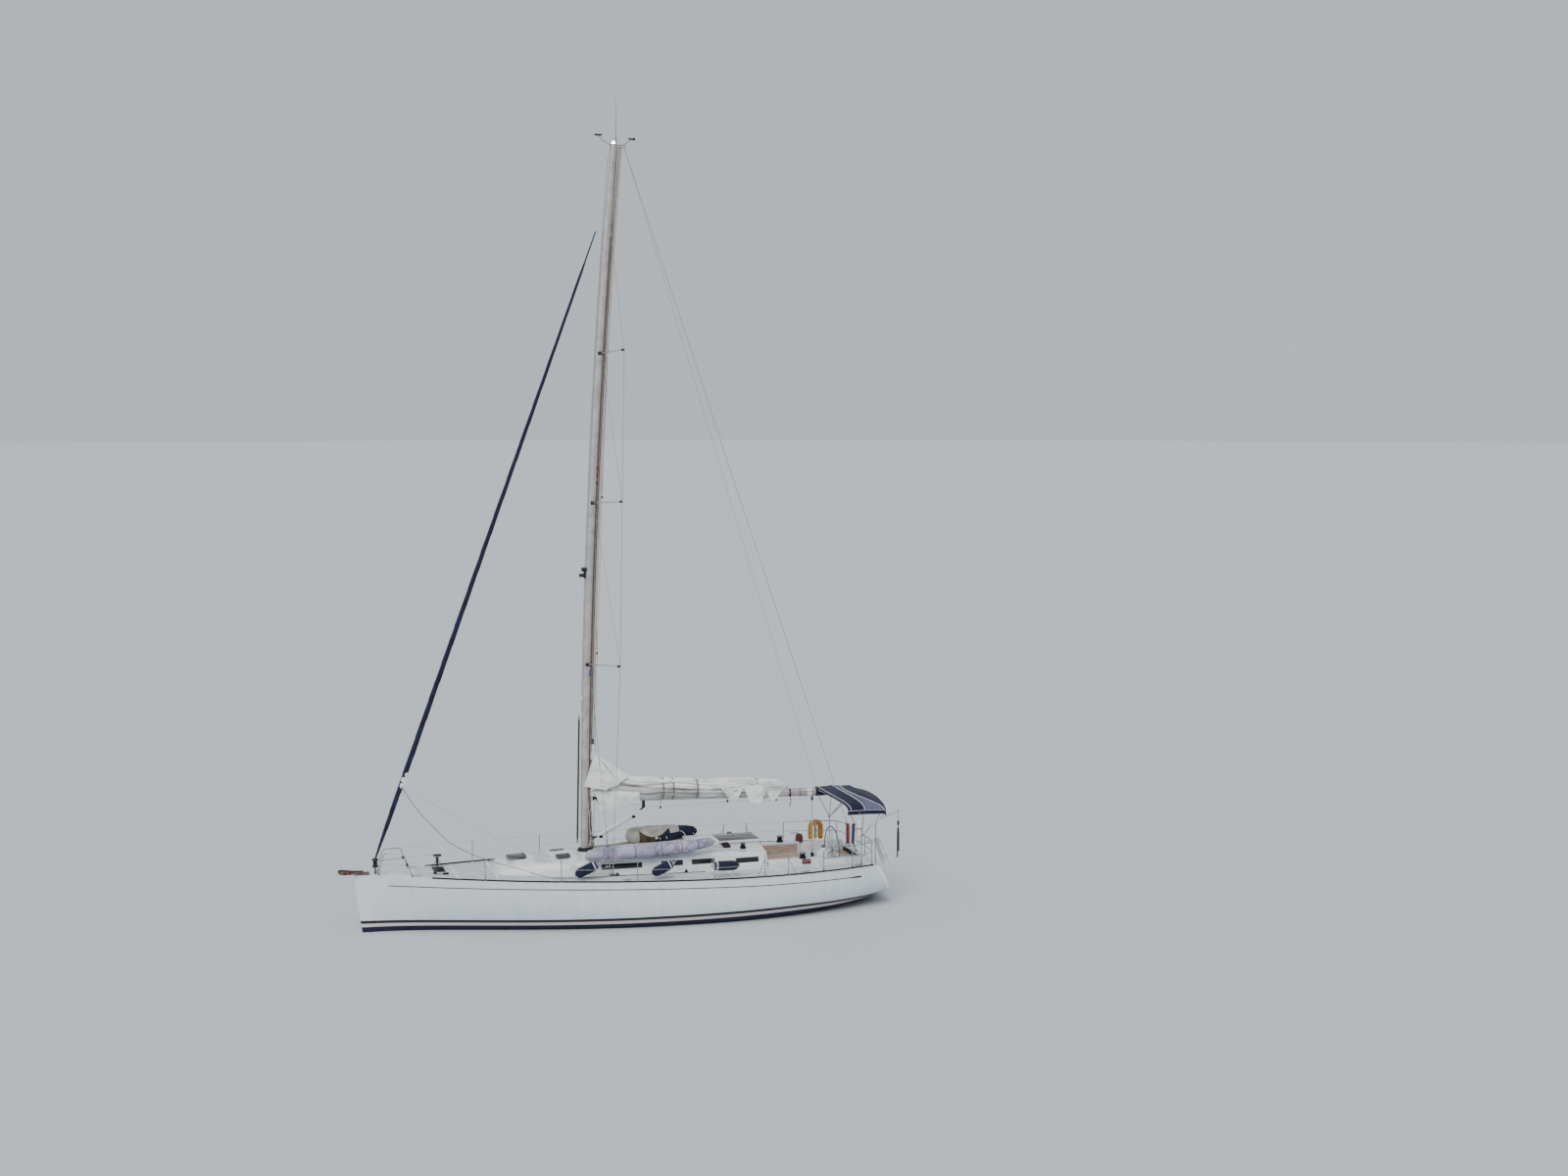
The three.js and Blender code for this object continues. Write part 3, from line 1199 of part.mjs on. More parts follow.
addMesh('winch_port', buildWinch(1), BLACK, 0.3, 0.8);
addMesh('winch_starboard', buildWinch(-1), BLACK, 0.3, 0.8);
addMesh('anchor_locker_lid', buildAnchorLid(), WHITE, 0.5);
addMesh('fore_hatch', hatchLid(FORE_HATCH), DARK_ACRYLIC, 0.1);
addMesh('side_hatch', hatchLid(SIDE_HATCH), DARK_ACRYLIC, 0.1);
addMesh('sea_hood', buildSeaHood(), WHITE, 0.4);
addMesh('sliding_hatch', buildSlidingHatch(), DARK_ACRYLIC, 0.1);
addMesh('washboard', block(-4122, -4142, -334, 334, 1246, 1920), DARK_ACRYLIC, 0.1);
addMesh('locker_lid_port', lockerLid(1), TEAK, 0.7);
addMesh('locker_lid_starboard', lockerLid(-1), TEAK, 0.7);
addMesh('pedestal', buildPedestal(), WHITE, 0.4);
addMesh('wheel', buildWheel(), STEEL, 0.25, 0.9);
addMesh('bimini_frame', buildBiminiFrame(), STEEL, 0.25, 0.9);
addMesh('bimini_canvas', buildBiminiCanvas(), NAVY, 0.9);
addMesh('davit', buildDavit(), STEEL, 0.3, 0.9);
addMesh('gangway', buildGangway(), 0xdfe6ec, 0.4);
addMesh('lifebuoy', buildLifebuoy(), 0xd08a1e, 0.8);
for (const fender of FENDERS) addMesh(fender.name, buildFender(fender), NAVY, 0.85);
addMesh('sail_bag', buildSailBag(), 0x9a9bb8, 0.9);
addMesh('deck_bundle', buildBundle(), 0xb9b3a6, 0.9);

export default group;
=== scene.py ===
import math

import bmesh
import bpy
import numpy as np
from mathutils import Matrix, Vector, noise
from mathutils.bvhtree import BVHTree


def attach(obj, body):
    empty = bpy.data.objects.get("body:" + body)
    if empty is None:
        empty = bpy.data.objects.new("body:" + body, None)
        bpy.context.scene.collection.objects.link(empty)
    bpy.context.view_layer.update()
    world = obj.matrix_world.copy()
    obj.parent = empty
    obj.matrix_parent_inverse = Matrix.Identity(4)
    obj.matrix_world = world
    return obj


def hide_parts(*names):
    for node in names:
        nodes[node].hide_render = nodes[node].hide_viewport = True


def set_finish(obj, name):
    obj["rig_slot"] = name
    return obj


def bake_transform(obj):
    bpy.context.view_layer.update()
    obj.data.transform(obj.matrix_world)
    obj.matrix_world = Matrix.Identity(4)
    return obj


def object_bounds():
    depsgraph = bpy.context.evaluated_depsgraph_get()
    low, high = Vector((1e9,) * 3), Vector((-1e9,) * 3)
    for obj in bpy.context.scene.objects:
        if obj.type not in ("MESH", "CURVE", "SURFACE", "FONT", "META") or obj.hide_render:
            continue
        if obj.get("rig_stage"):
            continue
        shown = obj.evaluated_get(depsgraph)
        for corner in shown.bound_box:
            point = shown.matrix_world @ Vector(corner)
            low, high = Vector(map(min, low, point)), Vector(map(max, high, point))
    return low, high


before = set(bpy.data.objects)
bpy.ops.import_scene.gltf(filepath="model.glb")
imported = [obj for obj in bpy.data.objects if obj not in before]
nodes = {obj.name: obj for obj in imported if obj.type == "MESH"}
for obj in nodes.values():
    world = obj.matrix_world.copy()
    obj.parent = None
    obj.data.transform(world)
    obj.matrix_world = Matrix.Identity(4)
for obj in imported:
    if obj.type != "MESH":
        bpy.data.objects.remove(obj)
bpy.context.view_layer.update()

# Camera
# It stands some 57 m off the port side, 14.6 m above the water, with its horizon level, and looks
# a little down at the boat. The place, heading and lens were fitted to the photograph.

CAMERA_PLACE = Vector((12.195, 55.772, 14.588))
CAMERA_HEADING = Vector((-0.2945, -0.9557, 0.0))
CAMERA_PITCH = math.radians(-5.389)
LENS_MM = 47.22
SENSOR_MM = 36.0

lens = bpy.data.cameras.new("camera")
lens.lens = LENS_MM
lens.sensor_width = SENSOR_MM
lens.clip_end = 2000.0
camera = bpy.data.objects.new("camera", lens)
camera.location = CAMERA_PLACE
look = CAMERA_HEADING.normalized() * math.cos(CAMERA_PITCH) + Vector((0, 0, math.sin(CAMERA_PITCH)))
camera.rotation_mode = "QUATERNION"
camera.rotation_quaternion = look.to_track_quat("-Z", "Y")
bpy.context.scene.collection.objects.link(camera)
bpy.context.scene.camera = camera

# Light
# A pale sky from all sides, as under thin cloud, and one broad lamp high on the port bow, so that
# the forms turn softly from light to shade.

SKY_COLOUR = "#dfe7f0"
SKY_STRENGTH = 0.80
LAMP_COLOUR = "#fff6ec"
LAMP_STRENGTH = 2.3
LAMP_SPREAD = math.radians(40)
LAMP_FROM = Vector((0.45, 0.75, 1.0))


def linear(hex_colour):
    """An sRGB hex colour as linear light."""
    shares = [int(hex_colour[i:i + 2], 16) / 255 for i in (1, 3, 5)]
    light = [c / 12.92 if c <= 0.04045 else ((c + 0.055) / 1.055) ** 2.4 for c in shares]
    return (*light, 1.0)


def add_node(tree, kind, inputs=None, **settings):
    """Adds a node with its settings. inputs gives a value or another node's output for a socket."""
    node = tree.nodes.new(kind)
    for setting, value in settings.items():
        setattr(node, setting, value)
    for socket, value in (inputs or {}).items():
        if isinstance(value, bpy.types.NodeSocket):
            tree.links.new(value, node.inputs[socket])
        else:
            node.inputs[socket].default_value = value
    return node


sky = bpy.data.worlds.new("pale_sky")
sky.use_nodes = True
sky.node_tree.nodes["Background"].inputs["Color"].default_value = linear(SKY_COLOUR)
sky.node_tree.nodes["Background"].inputs["Strength"].default_value = SKY_STRENGTH
bpy.context.scene.world = sky

lamp_light = bpy.data.lights.new("broad_lamp", "SUN")
lamp_light.color = linear(LAMP_COLOUR)[:3]
lamp_light.energy = LAMP_STRENGTH
lamp_light.angle = LAMP_SPREAD
lamp = bpy.data.objects.new("broad_lamp", lamp_light)
lamp.rotation_mode = "QUATERNION"
lamp.rotation_quaternion = (-LAMP_FROM).to_track_quat("-Z", "Y")
bpy.context.scene.collection.objects.link(lamp)

# Hull
# A moulded glass-fibre shell, 30 mm thick, with a plumb stem and a raked flat transom. White gelcoat
# from the mould, painted on below: a black boot stripe, a pale line and navy antifouling.

HULL_SKIN = 0.030
DECK_EDGE = 0.036
DECK_CAMBER = 0.055
TRANSOM_TOP_X = -7.300
TRANSOM_TOP_Z = 1.260
TRANSOM_RAKE = 0.625
STEM_X = 7.200
INNER_FRONT_X = 6.900
STEM_ROUND = 0.045
COLUMNS_ALONG = 150
POINTS_DOWN = 40
# Stations from the bow aft: place, half beam, sheer, keel, and the two exponents of the section.
STATIONS = [
    (7.2, 0.032, 1.612, 1.400, 1.20, 0.90),
    (7.1, 0.062, 1.608, 0.700, 1.20, 0.90),
    (7.0, 0.096, 1.604, 0.000, 1.25, 0.88),
    (6.6, 0.262, 1.592, -0.090, 1.30, 0.85),
    (6.0, 0.490, 1.572, -0.180, 1.45, 0.80),
    (5.0, 0.850, 1.525, -0.315, 1.70, 0.72),
    (4.0, 1.170, 1.484, -0.425, 1.95, 0.66),
    (3.0, 1.450, 1.445, -0.510, 2.20, 0.61),
    (2.0, 1.680, 1.411, -0.565, 2.50, 0.57),
    (1.0, 1.870, 1.380, -0.600, 2.75, 0.54),
    (0.0, 2.025, 1.350, -0.615, 2.95, 0.52),
    (-1.0, 2.135, 1.324, -0.610, 3.10, 0.51),
    (-2.0, 2.205, 1.300, -0.585, 3.20, 0.50),
    (-3.0, 2.240, 1.284, -0.535, 3.30, 0.50),
    (-4.0, 2.220, 1.272, -0.450, 3.35, 0.50),
    (-5.0, 2.130, 1.264, -0.330, 3.40, 0.50),
    (-6.0, 1.960, 1.258, -0.175, 3.40, 0.50),
    (-7.0, 1.710, 1.256, 0.015, 3.40, 0.50),
    (-8.0, 1.420, 1.256, 0.225, 3.40, 0.50),
]
BEAM, SHEER, KEEL, TOPSIDES, BILGE = 1, 2, 3, 4, 5
# Heights of the middle of the boot stripe, and of the thin stripe under the deck, along the hull.
BOOT_STRIPE = [(7.2, 0.285), (0.0, 0.290), (-1.75, 0.300), (-4.8, 0.335), (-7.6, 0.300)]
COVE_STRIPE = [(7.2, 1.345), (6.2, 1.320), (2.3, 1.220), (-3.6, 1.050), (-6.7, 1.000), (-7.6, 0.990)]


def station_value(x, column):
    """A value of the hull's table at x, on a smooth curve through its rows."""
    i = 0
    while i < len(STATIONS) - 2 and x < STATIONS[i + 1][0]:
        i += 1
    a, b = STATIONS[i], STATIONS[i + 1]
    before, after = STATIONS[max(i - 1, 0)], STATIONS[min(i + 2, len(STATIONS) - 1)]
    span = b[0] - a[0]
    t = (x - a[0]) / span
    slope_a = (b[column] - before[column]) / (b[0] - before[0])
    slope_b = (after[column] - a[column]) / (after[0] - a[0])
    return ((2 * t**3 - 3 * t**2 + 1) * a[column] + (t**3 - 2 * t**2 + t) * span * slope_a
            + (3 * t**2 - 2 * t**3) * b[column] + (t**3 - t**2) * span * slope_b)


def half_beam(x):
    return station_value(x, BEAM)


def sheer_z(x):
    return station_value(x, SHEER)


def deck_z(x, y):
    """Height of the deck's top, which is higher on the centreline than at its edge."""
    share = min(abs(y) / half_beam(x), 1.0)
    return sheer_z(x) + DECK_CAMBER * min(half_beam(x) / 1.5, 1.0) * (1 - share * share)


def transom_x(z):
    return TRANSOM_TOP_X - (TRANSOM_TOP_Z - z) * TRANSOM_RAKE


def straight_value(rows, x):
    """The value at x on straight lines through rows of place and value."""
    places = [row[0] for row in reversed(rows)]
    return float(np.interp(x, places, [row[1] for row in reversed(rows)]))


def hull_point(along, down, front, skin, side):
    """A point of the hull: along runs from the stem to the transom, down from the keel to the sheer."""
    x = front + (transom_x(1.0) - front) * along
    for _ in range(6):
        low = station_value(x, KEEL) + skin * 1.1
        top = sheer_z(x) - DECK_EDGE
        z = low + (top - low) * down**1.6
        x = front + (transom_x(z) + skin - front) * along
    reach = max((z - low) / (sheer_z(x) - low), 0.0)
    rounded = (1 - (1 - min(reach, 1.0)) ** station_value(x, TOPSIDES)) ** station_value(x, BILGE)
    y = (half_beam(x) - skin) * rounded
    from_stem = STEM_X - x
    if from_stem < STEM_ROUND:
        y *= math.sqrt(max(1 - (1 - from_stem / STEM_ROUND) ** 2, 0.0))
    return (x, side * y, z)


def new_object(name, data):
    thing = bpy.data.objects.new(name, data)
    bpy.context.scene.collection.objects.link(thing)
    return thing


def make_solid(piece):
    """Turns the piece's modifiers into plain mesh."""
    mesh = bpy.data.meshes.new_from_object(piece.evaluated_get(bpy.context.evaluated_depsgraph_get()))
    piece.modifiers.clear()
    piece.data = mesh


def smooth_up_to(mesh, crease):
    """Smooth faces, with an edge left sharp where it is sharper than the crease angle in degrees."""
    mesh.polygons.foreach_set("use_smooth", [True] * len(mesh.polygons))
    mesh.set_sharp_from_angle(angle=math.radians(crease))


def give_values(piece, name, values):
    """Stores one value for each point of the piece, for its material to read."""
    piece.data.attributes.new(name, "FLOAT", "POINT").data.foreach_set("value", values)


class Solids:
    """Gathers the points and faces of one piece, with the number of the material of each face."""

    def __init__(self):
        self.points, self.faces, self.marks = [], [], []

    def add(self, points, faces, mark=0):
        start = len(self.points)
        self.points += [tuple(p) for p in points]
        self.faces += [tuple(start + i for i in face) for face in faces]
        self.marks += [mark] * len(faces)

    def loft(self, rings, mark=0, ends=True):
        """A closed skin through rings that have the same number of points."""
        count = len(rings[0])
        faces = []
        for i in range(len(rings) - 1):
            for j in range(count):
                k = (j + 1) % count
                faces.append((i * count + j, i * count + k, (i + 1) * count + k, (i + 1) * count + j))
        if ends:
            faces.append(tuple(reversed(range(count))))
            faces.append(tuple(range((len(rings) - 1) * count, len(rings) * count)))
        self.add([p for ring in rings for p in ring], faces, mark)


def make_piece(name, solids, materials, body, slot, replaced=(), crease=35.0, merge=1e-5):
    """Makes the piece's mesh, with smooth faces up to the crease angle, and lets it ride on its body."""
    mesh = bpy.data.meshes.new(name)
    mesh.from_pydata(solids.points, [], solids.faces)
    mesh.polygons.foreach_set("material_index", solids.marks)
    for material in materials:
        mesh.materials.append(material)
    piece = new_object(name, mesh)
    work = bmesh.new()
    work.from_mesh(mesh)
    bmesh.ops.remove_doubles(work, verts=work.verts, dist=merge)
    bmesh.ops.dissolve_degenerate(work, edges=work.edges, dist=merge / 2)
    bmesh.ops.recalc_face_normals(work, faces=work.faces)
    work.to_mesh(mesh)
    work.free()
    smooth_up_to(mesh, crease)
    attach(piece, body)
    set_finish(piece, slot)
    if replaced:
        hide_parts(*replaced)
    return piece


hull = Solids()
half_ring = np.linspace(0, 1, POINTS_DOWN + 1)


def hull_skin(front, skin):
    rings = []
    for i in range(COLUMNS_ALONG + 1):
        along = (i / COLUMNS_ALONG) ** 1.5
        port = [hull_point(along, down, front, skin, 1) for down in half_ring[::-1]]
        starboard = [hull_point(along, down, front, skin, -1) for down in half_ring[1:]]
        rings.append(port + starboard)
    return rings


outer_rings, inner_rings = hull_skin(STEM_X, 0.0), hull_skin(INNER_FRONT_X, HULL_SKIN)
ring_size = 2 * POINTS_DOWN + 1
start_inner = (COLUMNS_ALONG + 1) * ring_size
faces = []
for i in range(COLUMNS_ALONG):
    for j in range(ring_size - 1):
        a, b = i * ring_size + j, (i + 1) * ring_size + j
        faces.append((a, b, b + 1, a + 1))
        faces.append((start_inner + a, start_inner + a + 1, start_inner + b + 1, start_inner + b))
    for j in (0, ring_size - 1):
        a, b = i * ring_size + j, (i + 1) * ring_size + j
        faces.append((a, b, start_inner + b, start_inner + a))
last_outer = COLUMNS_ALONG * ring_size
faces.append(tuple(range(last_outer, last_outer + ring_size)))
faces.append(tuple(range(start_inner + last_outer, start_inner + last_outer + ring_size)))
faces.append(tuple(range(start_inner, start_inner + ring_size)))
faces.append((0, start_inner, start_inner + ring_size - 1))
hull.add([p for ring in outer_rings + inner_rings for p in ring], faces)

# Gelcoat is a pigmented polyester, polished in the mould: glossy, with a faint waviness of the
# laminate below and a slight yellowing and streaking from wear. The stripes are brushed paint.
GELCOAT_WHITE = "#dfe8ef"
GELCOAT_STAIN = "#d5dfe6"
STRIPE_BLACK = "#12131c"
STRIPE_PALE = "#d9cfd4"
ANTIFOULING_NAVY = "#171d3d"
STREAK_MM = 420
WAVE_MM = 700
BOOT_HALF = 0.042
PALE_LOW = -0.135
COVE_HALF = 0.013


def start_material(name, **sockets):
    """A new material with values for its shader. Returns the material, its tree and the shader."""
    material = bpy.data.materials.new(name)
    material.use_nodes = True
    shader = material.node_tree.nodes["Principled BSDF"]
    for socket, value in sockets.items():
        shader.inputs[socket.replace("_", " ")].default_value = value
    return material, material.node_tree, shader


def uneven(tree, size_mm, detail=4.0, stretch=(1, 1, 1), rough=0.55):
    """A soft uneven pattern whose patches measure about size_mm, from 0 to 1."""
    place = add_node(tree, "ShaderNodeTexCoord")
    turned = add_node(tree, "ShaderNodeMapping", {"Vector": place.outputs["Object"], "Scale": stretch})
    pattern = add_node(tree, "ShaderNodeTexNoise", {
        "Vector": turned.outputs["Vector"], "Scale": 1000.0 / size_mm, "Detail": detail, "Roughness": rough})
    return pattern.outputs["Fac"]


def between(tree, share, low_colour, high_colour, low=0.35, high=0.65):
    """A colour that goes from one to the other as share goes from low to high."""
    ramp = add_node(tree, "ShaderNodeValToRGB", {"Fac": share})
    ramp.color_ramp.elements[0].position, ramp.color_ramp.elements[1].position = low, high
    ramp.color_ramp.elements[0].color, ramp.color_ramp.elements[1].color = low_colour, high_colour
    return ramp.outputs["Color"]


def scaled(tree, share, low, high):
    """A share from 0 to 1 as a value from low to high."""
    spread = add_node(tree, "ShaderNodeMapRange", {"Value": share, "To Min": low, "To Max": high})
    return spread.outputs["Result"]


def raised(tree, shader, height, depth_mm):
    """Gives the shader a relief of that depth."""
    relief = add_node(tree, "ShaderNodeBump", {"Height": height, "Distance": depth_mm / 1000,
                                               "Strength": 1.0})
    tree.links.new(relief.outputs["Normal"], shader.inputs["Normal"])


def mottled(name, dark, pale, patch_mm, detail=4.0, low=0.35, high=0.65, gloss=None, relief=None, **sockets):
    """A material whose colour wanders between two shades in patches of about patch_mm.

    gloss is its roughness in the dark and in the pale patches, relief the size in mm, detail and depth in mm
    of a finer unevenness.
    """
    material, tree, shader = start_material(name, **sockets)
    patches = uneven(tree, patch_mm, detail)
    tree.links.new(between(tree, patches, linear(dark), linear(pale), low, high), shader.inputs["Base Color"])
    if gloss:
        tree.links.new(scaled(tree, patches, *gloss), shader.inputs["Roughness"])
    if relief:
        size_mm, relief_detail, depth_mm = relief
        raised(tree, shader, uneven(tree, size_mm, relief_detail), depth_mm)
    return material


def blended(tree, share, under, over):
    """One colour over another."""
    mix = add_node(tree, "ShaderNodeMixRGB", {"Fac": share, "Color1": under, "Color2": over})
    return mix.outputs["Color"]


def within(tree, value, half_width, edge=0.003):
    """1 where the value lies within half_width of zero, 0 outside."""
    size = add_node(tree, "ShaderNodeMath", {0: value}, operation="ABSOLUTE")
    fade = add_node(tree, "ShaderNodeMapRange", {
        "Value": size.outputs[0], "From Min": half_width, "From Max": half_width + edge,
        "To Min": 1.0, "To Max": 0.0})
    return fade.outputs["Result"]


# Polished gelcoat: glossy white with faint grey streaks down it, a painted highlight along the transom's
# edge, and matt antifouling below the stripes.
gelcoat_hull, tree, shader = start_material("gelcoat_polished", Roughness=0.16, IOR=1.5)
streaks = uneven(tree, STREAK_MM, 5.0, stretch=(2.2, 2.2, 0.25))
clean = between(tree, streaks, linear(GELCOAT_STAIN), linear(GELCOAT_WHITE), 0.3, 0.6)
above_boot = add_node(tree, "ShaderNodeAttribute", attribute_name="above_boot_stripe").outputs["Fac"]
above_cove = add_node(tree, "ShaderNodeAttribute", attribute_name="above_cove_stripe").outputs["Fac"]
cove_width = add_node(tree, "ShaderNodeAttribute", attribute_name="cove_width").outputs["Fac"]
near_transom = add_node(tree, "ShaderNodeAttribute", attribute_name="before_transom").outputs["Fac"]
# Painted highlight: the gelcoat turns near white within 70 to 100 mm of the transom, where its rounded edge
# catches the light.
edge = add_node(tree, "ShaderNodeMapRange", {"Value": near_transom, "From Min": 0.07, "From Max": 0.10,
                                             "To Min": 1.0, "To Max": 0.0})
clean = blended(tree, edge.outputs["Result"], clean, linear("#fbfcfc"))
cove_size = add_node(tree, "ShaderNodeMath", {0: above_cove}, operation="ABSOLUTE").outputs[0]
on_cove = add_node(tree, "ShaderNodeMath", {0: cove_size, 1: cove_width}, operation="LESS_THAN").outputs[0]
colour = blended(tree, on_cove, clean, linear("#3a3135"))
colour = blended(tree, within(tree, above_boot, BOOT_HALF), colour, linear(STRIPE_BLACK))
under_boot = add_node(tree, "ShaderNodeMath", {0: above_boot, 1: -BOOT_HALF},
                      operation="LESS_THAN").outputs[0]
colour = blended(tree, under_boot, colour, linear(STRIPE_PALE))
under_pale = add_node(tree, "ShaderNodeMath", {0: above_boot, 1: PALE_LOW}, operation="LESS_THAN").outputs[0]
bottom = between(tree, uneven(tree, 160), linear("#10142c"), linear(ANTIFOULING_NAVY))
colour = blended(tree, under_pale, colour, bottom)
tree.links.new(colour, shader.inputs["Base Color"])
gloss = add_node(tree, "ShaderNodeMix", {"Factor": under_pale, "A": scaled(tree, streaks, 0.12, 0.26),
                                         "B": 0.8})
tree.links.new(gloss.outputs["Result"], shader.inputs["Roughness"])
raised(tree, shader, uneven(tree, WAVE_MM, 2.0), 1.2)

hull_piece = make_piece("hull_shell", hull, [gelcoat_hull], "yacht", "hull_gelcoat", ["hull"], crease=40)
for layer, rows in (("above_boot_stripe", BOOT_STRIPE), ("above_cove_stripe", COVE_STRIPE)):
    heights = [v.co.z - straight_value(rows, v.co.x) for v in hull_piece.data.vertices]
    give_values(hull_piece, layer, heights)
ahead = [v.co.x - transom_x(v.co.z) for v in hull_piece.data.vertices]
give_values(hull_piece, "before_transom", ahead)


def cove_half_width(x):
    """The thin stripe starts and ends at a broader mark, and the rest of the hull has none."""
    if x > 6.35 or x < -6.85:
        return -1.0
    return 0.028 if x < -6.45 else COVE_HALF


widths = [cove_half_width(v.co.x) for v in hull_piece.data.vertices]
give_values(hull_piece, "cove_width", widths)

# Floor
# A pale plain surface at the height of the water. It is left out where the hull stands in it.

FLOOR_COLOUR = "#c9d0d6"
FLOOR_REACH = 600.0
floor_paint, tree, shader = start_material("floor_paint", Roughness=0.6)
shader.inputs["Base Color"].default_value = linear(FLOOR_COLOUR)


def waterline_point(along, side):
    """A point inside the shell where the hull crosses the water."""
    low, high = 0.0, 1.0
    for _ in range(24):
        middle = (low + high) / 2
        if hull_point(along, middle, 6.95, HULL_SKIN / 2, side)[2] < 0:
            low = middle
        else:
            high = middle
    x, y, _ = hull_point(along, low, 6.95, HULL_SKIN / 2, side)
    return (x, y, 0.0)


shares = np.linspace(0.0, 0.93, 60)
edge = [waterline_point(s, 1) for s in shares] + [waterline_point(s, -1) for s in shares[::-1]]
far = [tuple(Vector((p[0], p[1] * 3 or 0.01, 0)).normalized() * FLOOR_REACH) for p in edge]
floor_mesh = bpy.data.meshes.new("floor")
count = len(edge)
floor_mesh.from_pydata(edge + far, [], [(i, (i + 1) % count, count + (i + 1) % count, count + i)
                                        for i in range(count)])
floor_mesh.materials.append(floor_paint)
new_object("floor", floor_mesh)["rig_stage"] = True

# Deck
# A cored glass-fibre plate bonded to the hull's top, moulded in the same white gelcoat. Its walking
# surfaces are pads with a fine diamond tread, parted by smooth gutters that drain aft.

DECK_WHITE = "#dfe4e8"
TREAD_GREY = "#ccd2d6"
TREAD_MM = 16
PAD_THICKNESS = 0.004
GUTTER = 0.13
ROOF_SECTIONS = [
    (3.42, 0.56, 0.44, 1.570, 0.020), (3.27, 0.68, 0.54, 1.705, 0.070), (2.0, 0.96, 0.82, 1.755, 0.090),
    (0.8, 1.13, 0.99, 1.775, 0.105), (-1.0, 1.20, 1.06, 1.790, 0.110), (-2.5, 1.21, 1.07, 1.800, 0.110),
    (-4.15, 1.19, 1.05, 1.725, 0.100),
]
ROOF_BASE, ROOF_TOP, ROOF_EDGE, ROOF_CROWN = 1, 2, 3, 4


def roof_value(x, column):
    return straight_value([(row[0], row[column]) for row in ROOF_SECTIONS], x)


def roof_z(x, y):
    """Height of the coachroof's top."""
    share = abs(y) / roof_value(x, ROOF_TOP)
    edge, crown = roof_value(x, ROOF_EDGE), roof_value(x, ROOF_CROWN)
    return edge + (crown * (1 - 0.44 * share) if share < 0.5 else crown * 1.56 * (1 - share))


def plain_gelcoat(name, white, stain, roughness=0.3):
    """Moulded gelcoat: white, a little chalked, with faint broad stains that gloss less."""
    return mottled(name, stain, white, 240, 5.0, 0.25, 0.52, (roughness + 0.12, roughness - 0.08),
                   (30, 3.0, 0.15), Roughness=roughness, IOR=1.5, Coat_Weight=0.15)


def fair_copy(node, name, materials, body, slot, ease_mm=0.0, crease=35.0):
    """A CAD node's own shape with its facets joined, its sharp edges eased and its curves smooth."""
    work = bmesh.new()
    work.from_mesh(nodes[node].data)
    bmesh.ops.remove_doubles(work, verts=work.verts, dist=2e-5)
    bmesh.ops.dissolve_limit(work, angle_limit=math.radians(0.5), verts=work.verts, edges=work.edges)
    mesh = bpy.data.meshes.new(name)
    work.to_mesh(mesh)
    work.free()
    piece = new_object(name, mesh)
    if ease_mm:
        ease = piece.modifiers.new("ease", "BEVEL")
        ease.width = ease_mm / 1000
        ease.segments = 2
        ease.limit_method = "ANGLE"
        ease.angle_limit = math.radians(crease)
        make_solid(piece)
    piece.data.materials.clear()
    for material in materials:
        piece.data.materials.append(material)
    piece.data.polygons.foreach_set("material_index", [0] * len(piece.data.polygons))
    smooth_up_to(piece.data, crease)
    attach(piece, body)
    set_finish(piece, slot)
    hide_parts(node)
    return piece


gelcoat_deck = plain_gelcoat("gelcoat_deck_moulded", DECK_WHITE, "#c8cdd0")
tread, tree, shader = start_material("gelcoat_diamond_tread", Roughness=0.55, IOR=1.5)
patches = uneven(tree, 320, 4.0)
tree.links.new(between(tree, patches, linear("#bcc2c6"), linear(TREAD_GREY)), shader.inputs["Base Color"])
place = add_node(tree, "ShaderNodeTexCoord")
turned = add_node(tree, "ShaderNodeMapping", {"Vector": place.outputs["Object"],
                                              "Rotation": (0, 0, math.radians(45))})
# The tread's real pitch is 4 mm, drawn four times as coarse so that it shows.
diamonds = add_node(tree, "ShaderNodeTexChecker", {"Vector": turned.outputs["Vector"],
                                                   "Scale": 1000 / TREAD_MM})
raised(tree, shader, diamonds.outputs["Fac"], 1.0)

fair_copy("deck", "deck_plate", [gelcoat_deck], "yacht", "deck_gelcoat", crease=30)
fair_copy("anchor_locker_lid", "anchor_locker_lid_panel", [gelcoat_deck], "anchor_locker_lid", "deck_gelcoat",
          ease_mm=4)

# Each pad: place of its front and back, and how far its inner edge keeps off the coachroof.
pads = Solids()
for side in (1, -1):
    for front, back in ((5.55, 4.55), (4.47, 3.5), (3.42, 2.1), (2.02, 0.62), (0.05, -1.35), (-1.43, -2.9),
                        (-2.98, -4.3), (-4.38, -5.5), (-5.58, -6.9)):
        rings = []
        for x in np.linspace(front, back, 12):
            outer = half_beam(x) - GUTTER
            inner = 0.04 if x > 3.46 else roof_value(x, ROOF_BASE) + 0.10
            if x < -4.2:
                inner = 1.33
            if outer - inner < 0.05:
                outer = inner + 0.05
            across = np.linspace(outer, inner, 7)
            top = [(x, side * y, deck_z(x, y) + PAD_THICKNESS) for y in across]
            under = [(x, side * y, deck_z(x, y) - 0.001) for y in across[::-1]]
            rings.append(top + under)
        pads.loft(rings)
for side in (1, -1):
    for front, back in ((3.12, 2.95), (2.35, 1.9), (1.2, 1.02), (0.5, -0.6), (-0.68, -2.0)):
        rings = []
        for x in np.linspace(front, back, 9):
            outer = roof_value(x, ROOF_TOP) - 0.10
            across = np.linspace(outer, 0.06, 7)
            top = [(x, side * y, roof_z(x, y) + PAD_THICKNESS) for y in across]
            under = [(x, side * y, roof_z(x, y) - 0.002) for y in across[::-1]]
            rings.append(top + under)
        pads.loft(rings)
make_piece("tread_pads", pads, [tread], "yacht", "deck_gelcoat", crease=30)

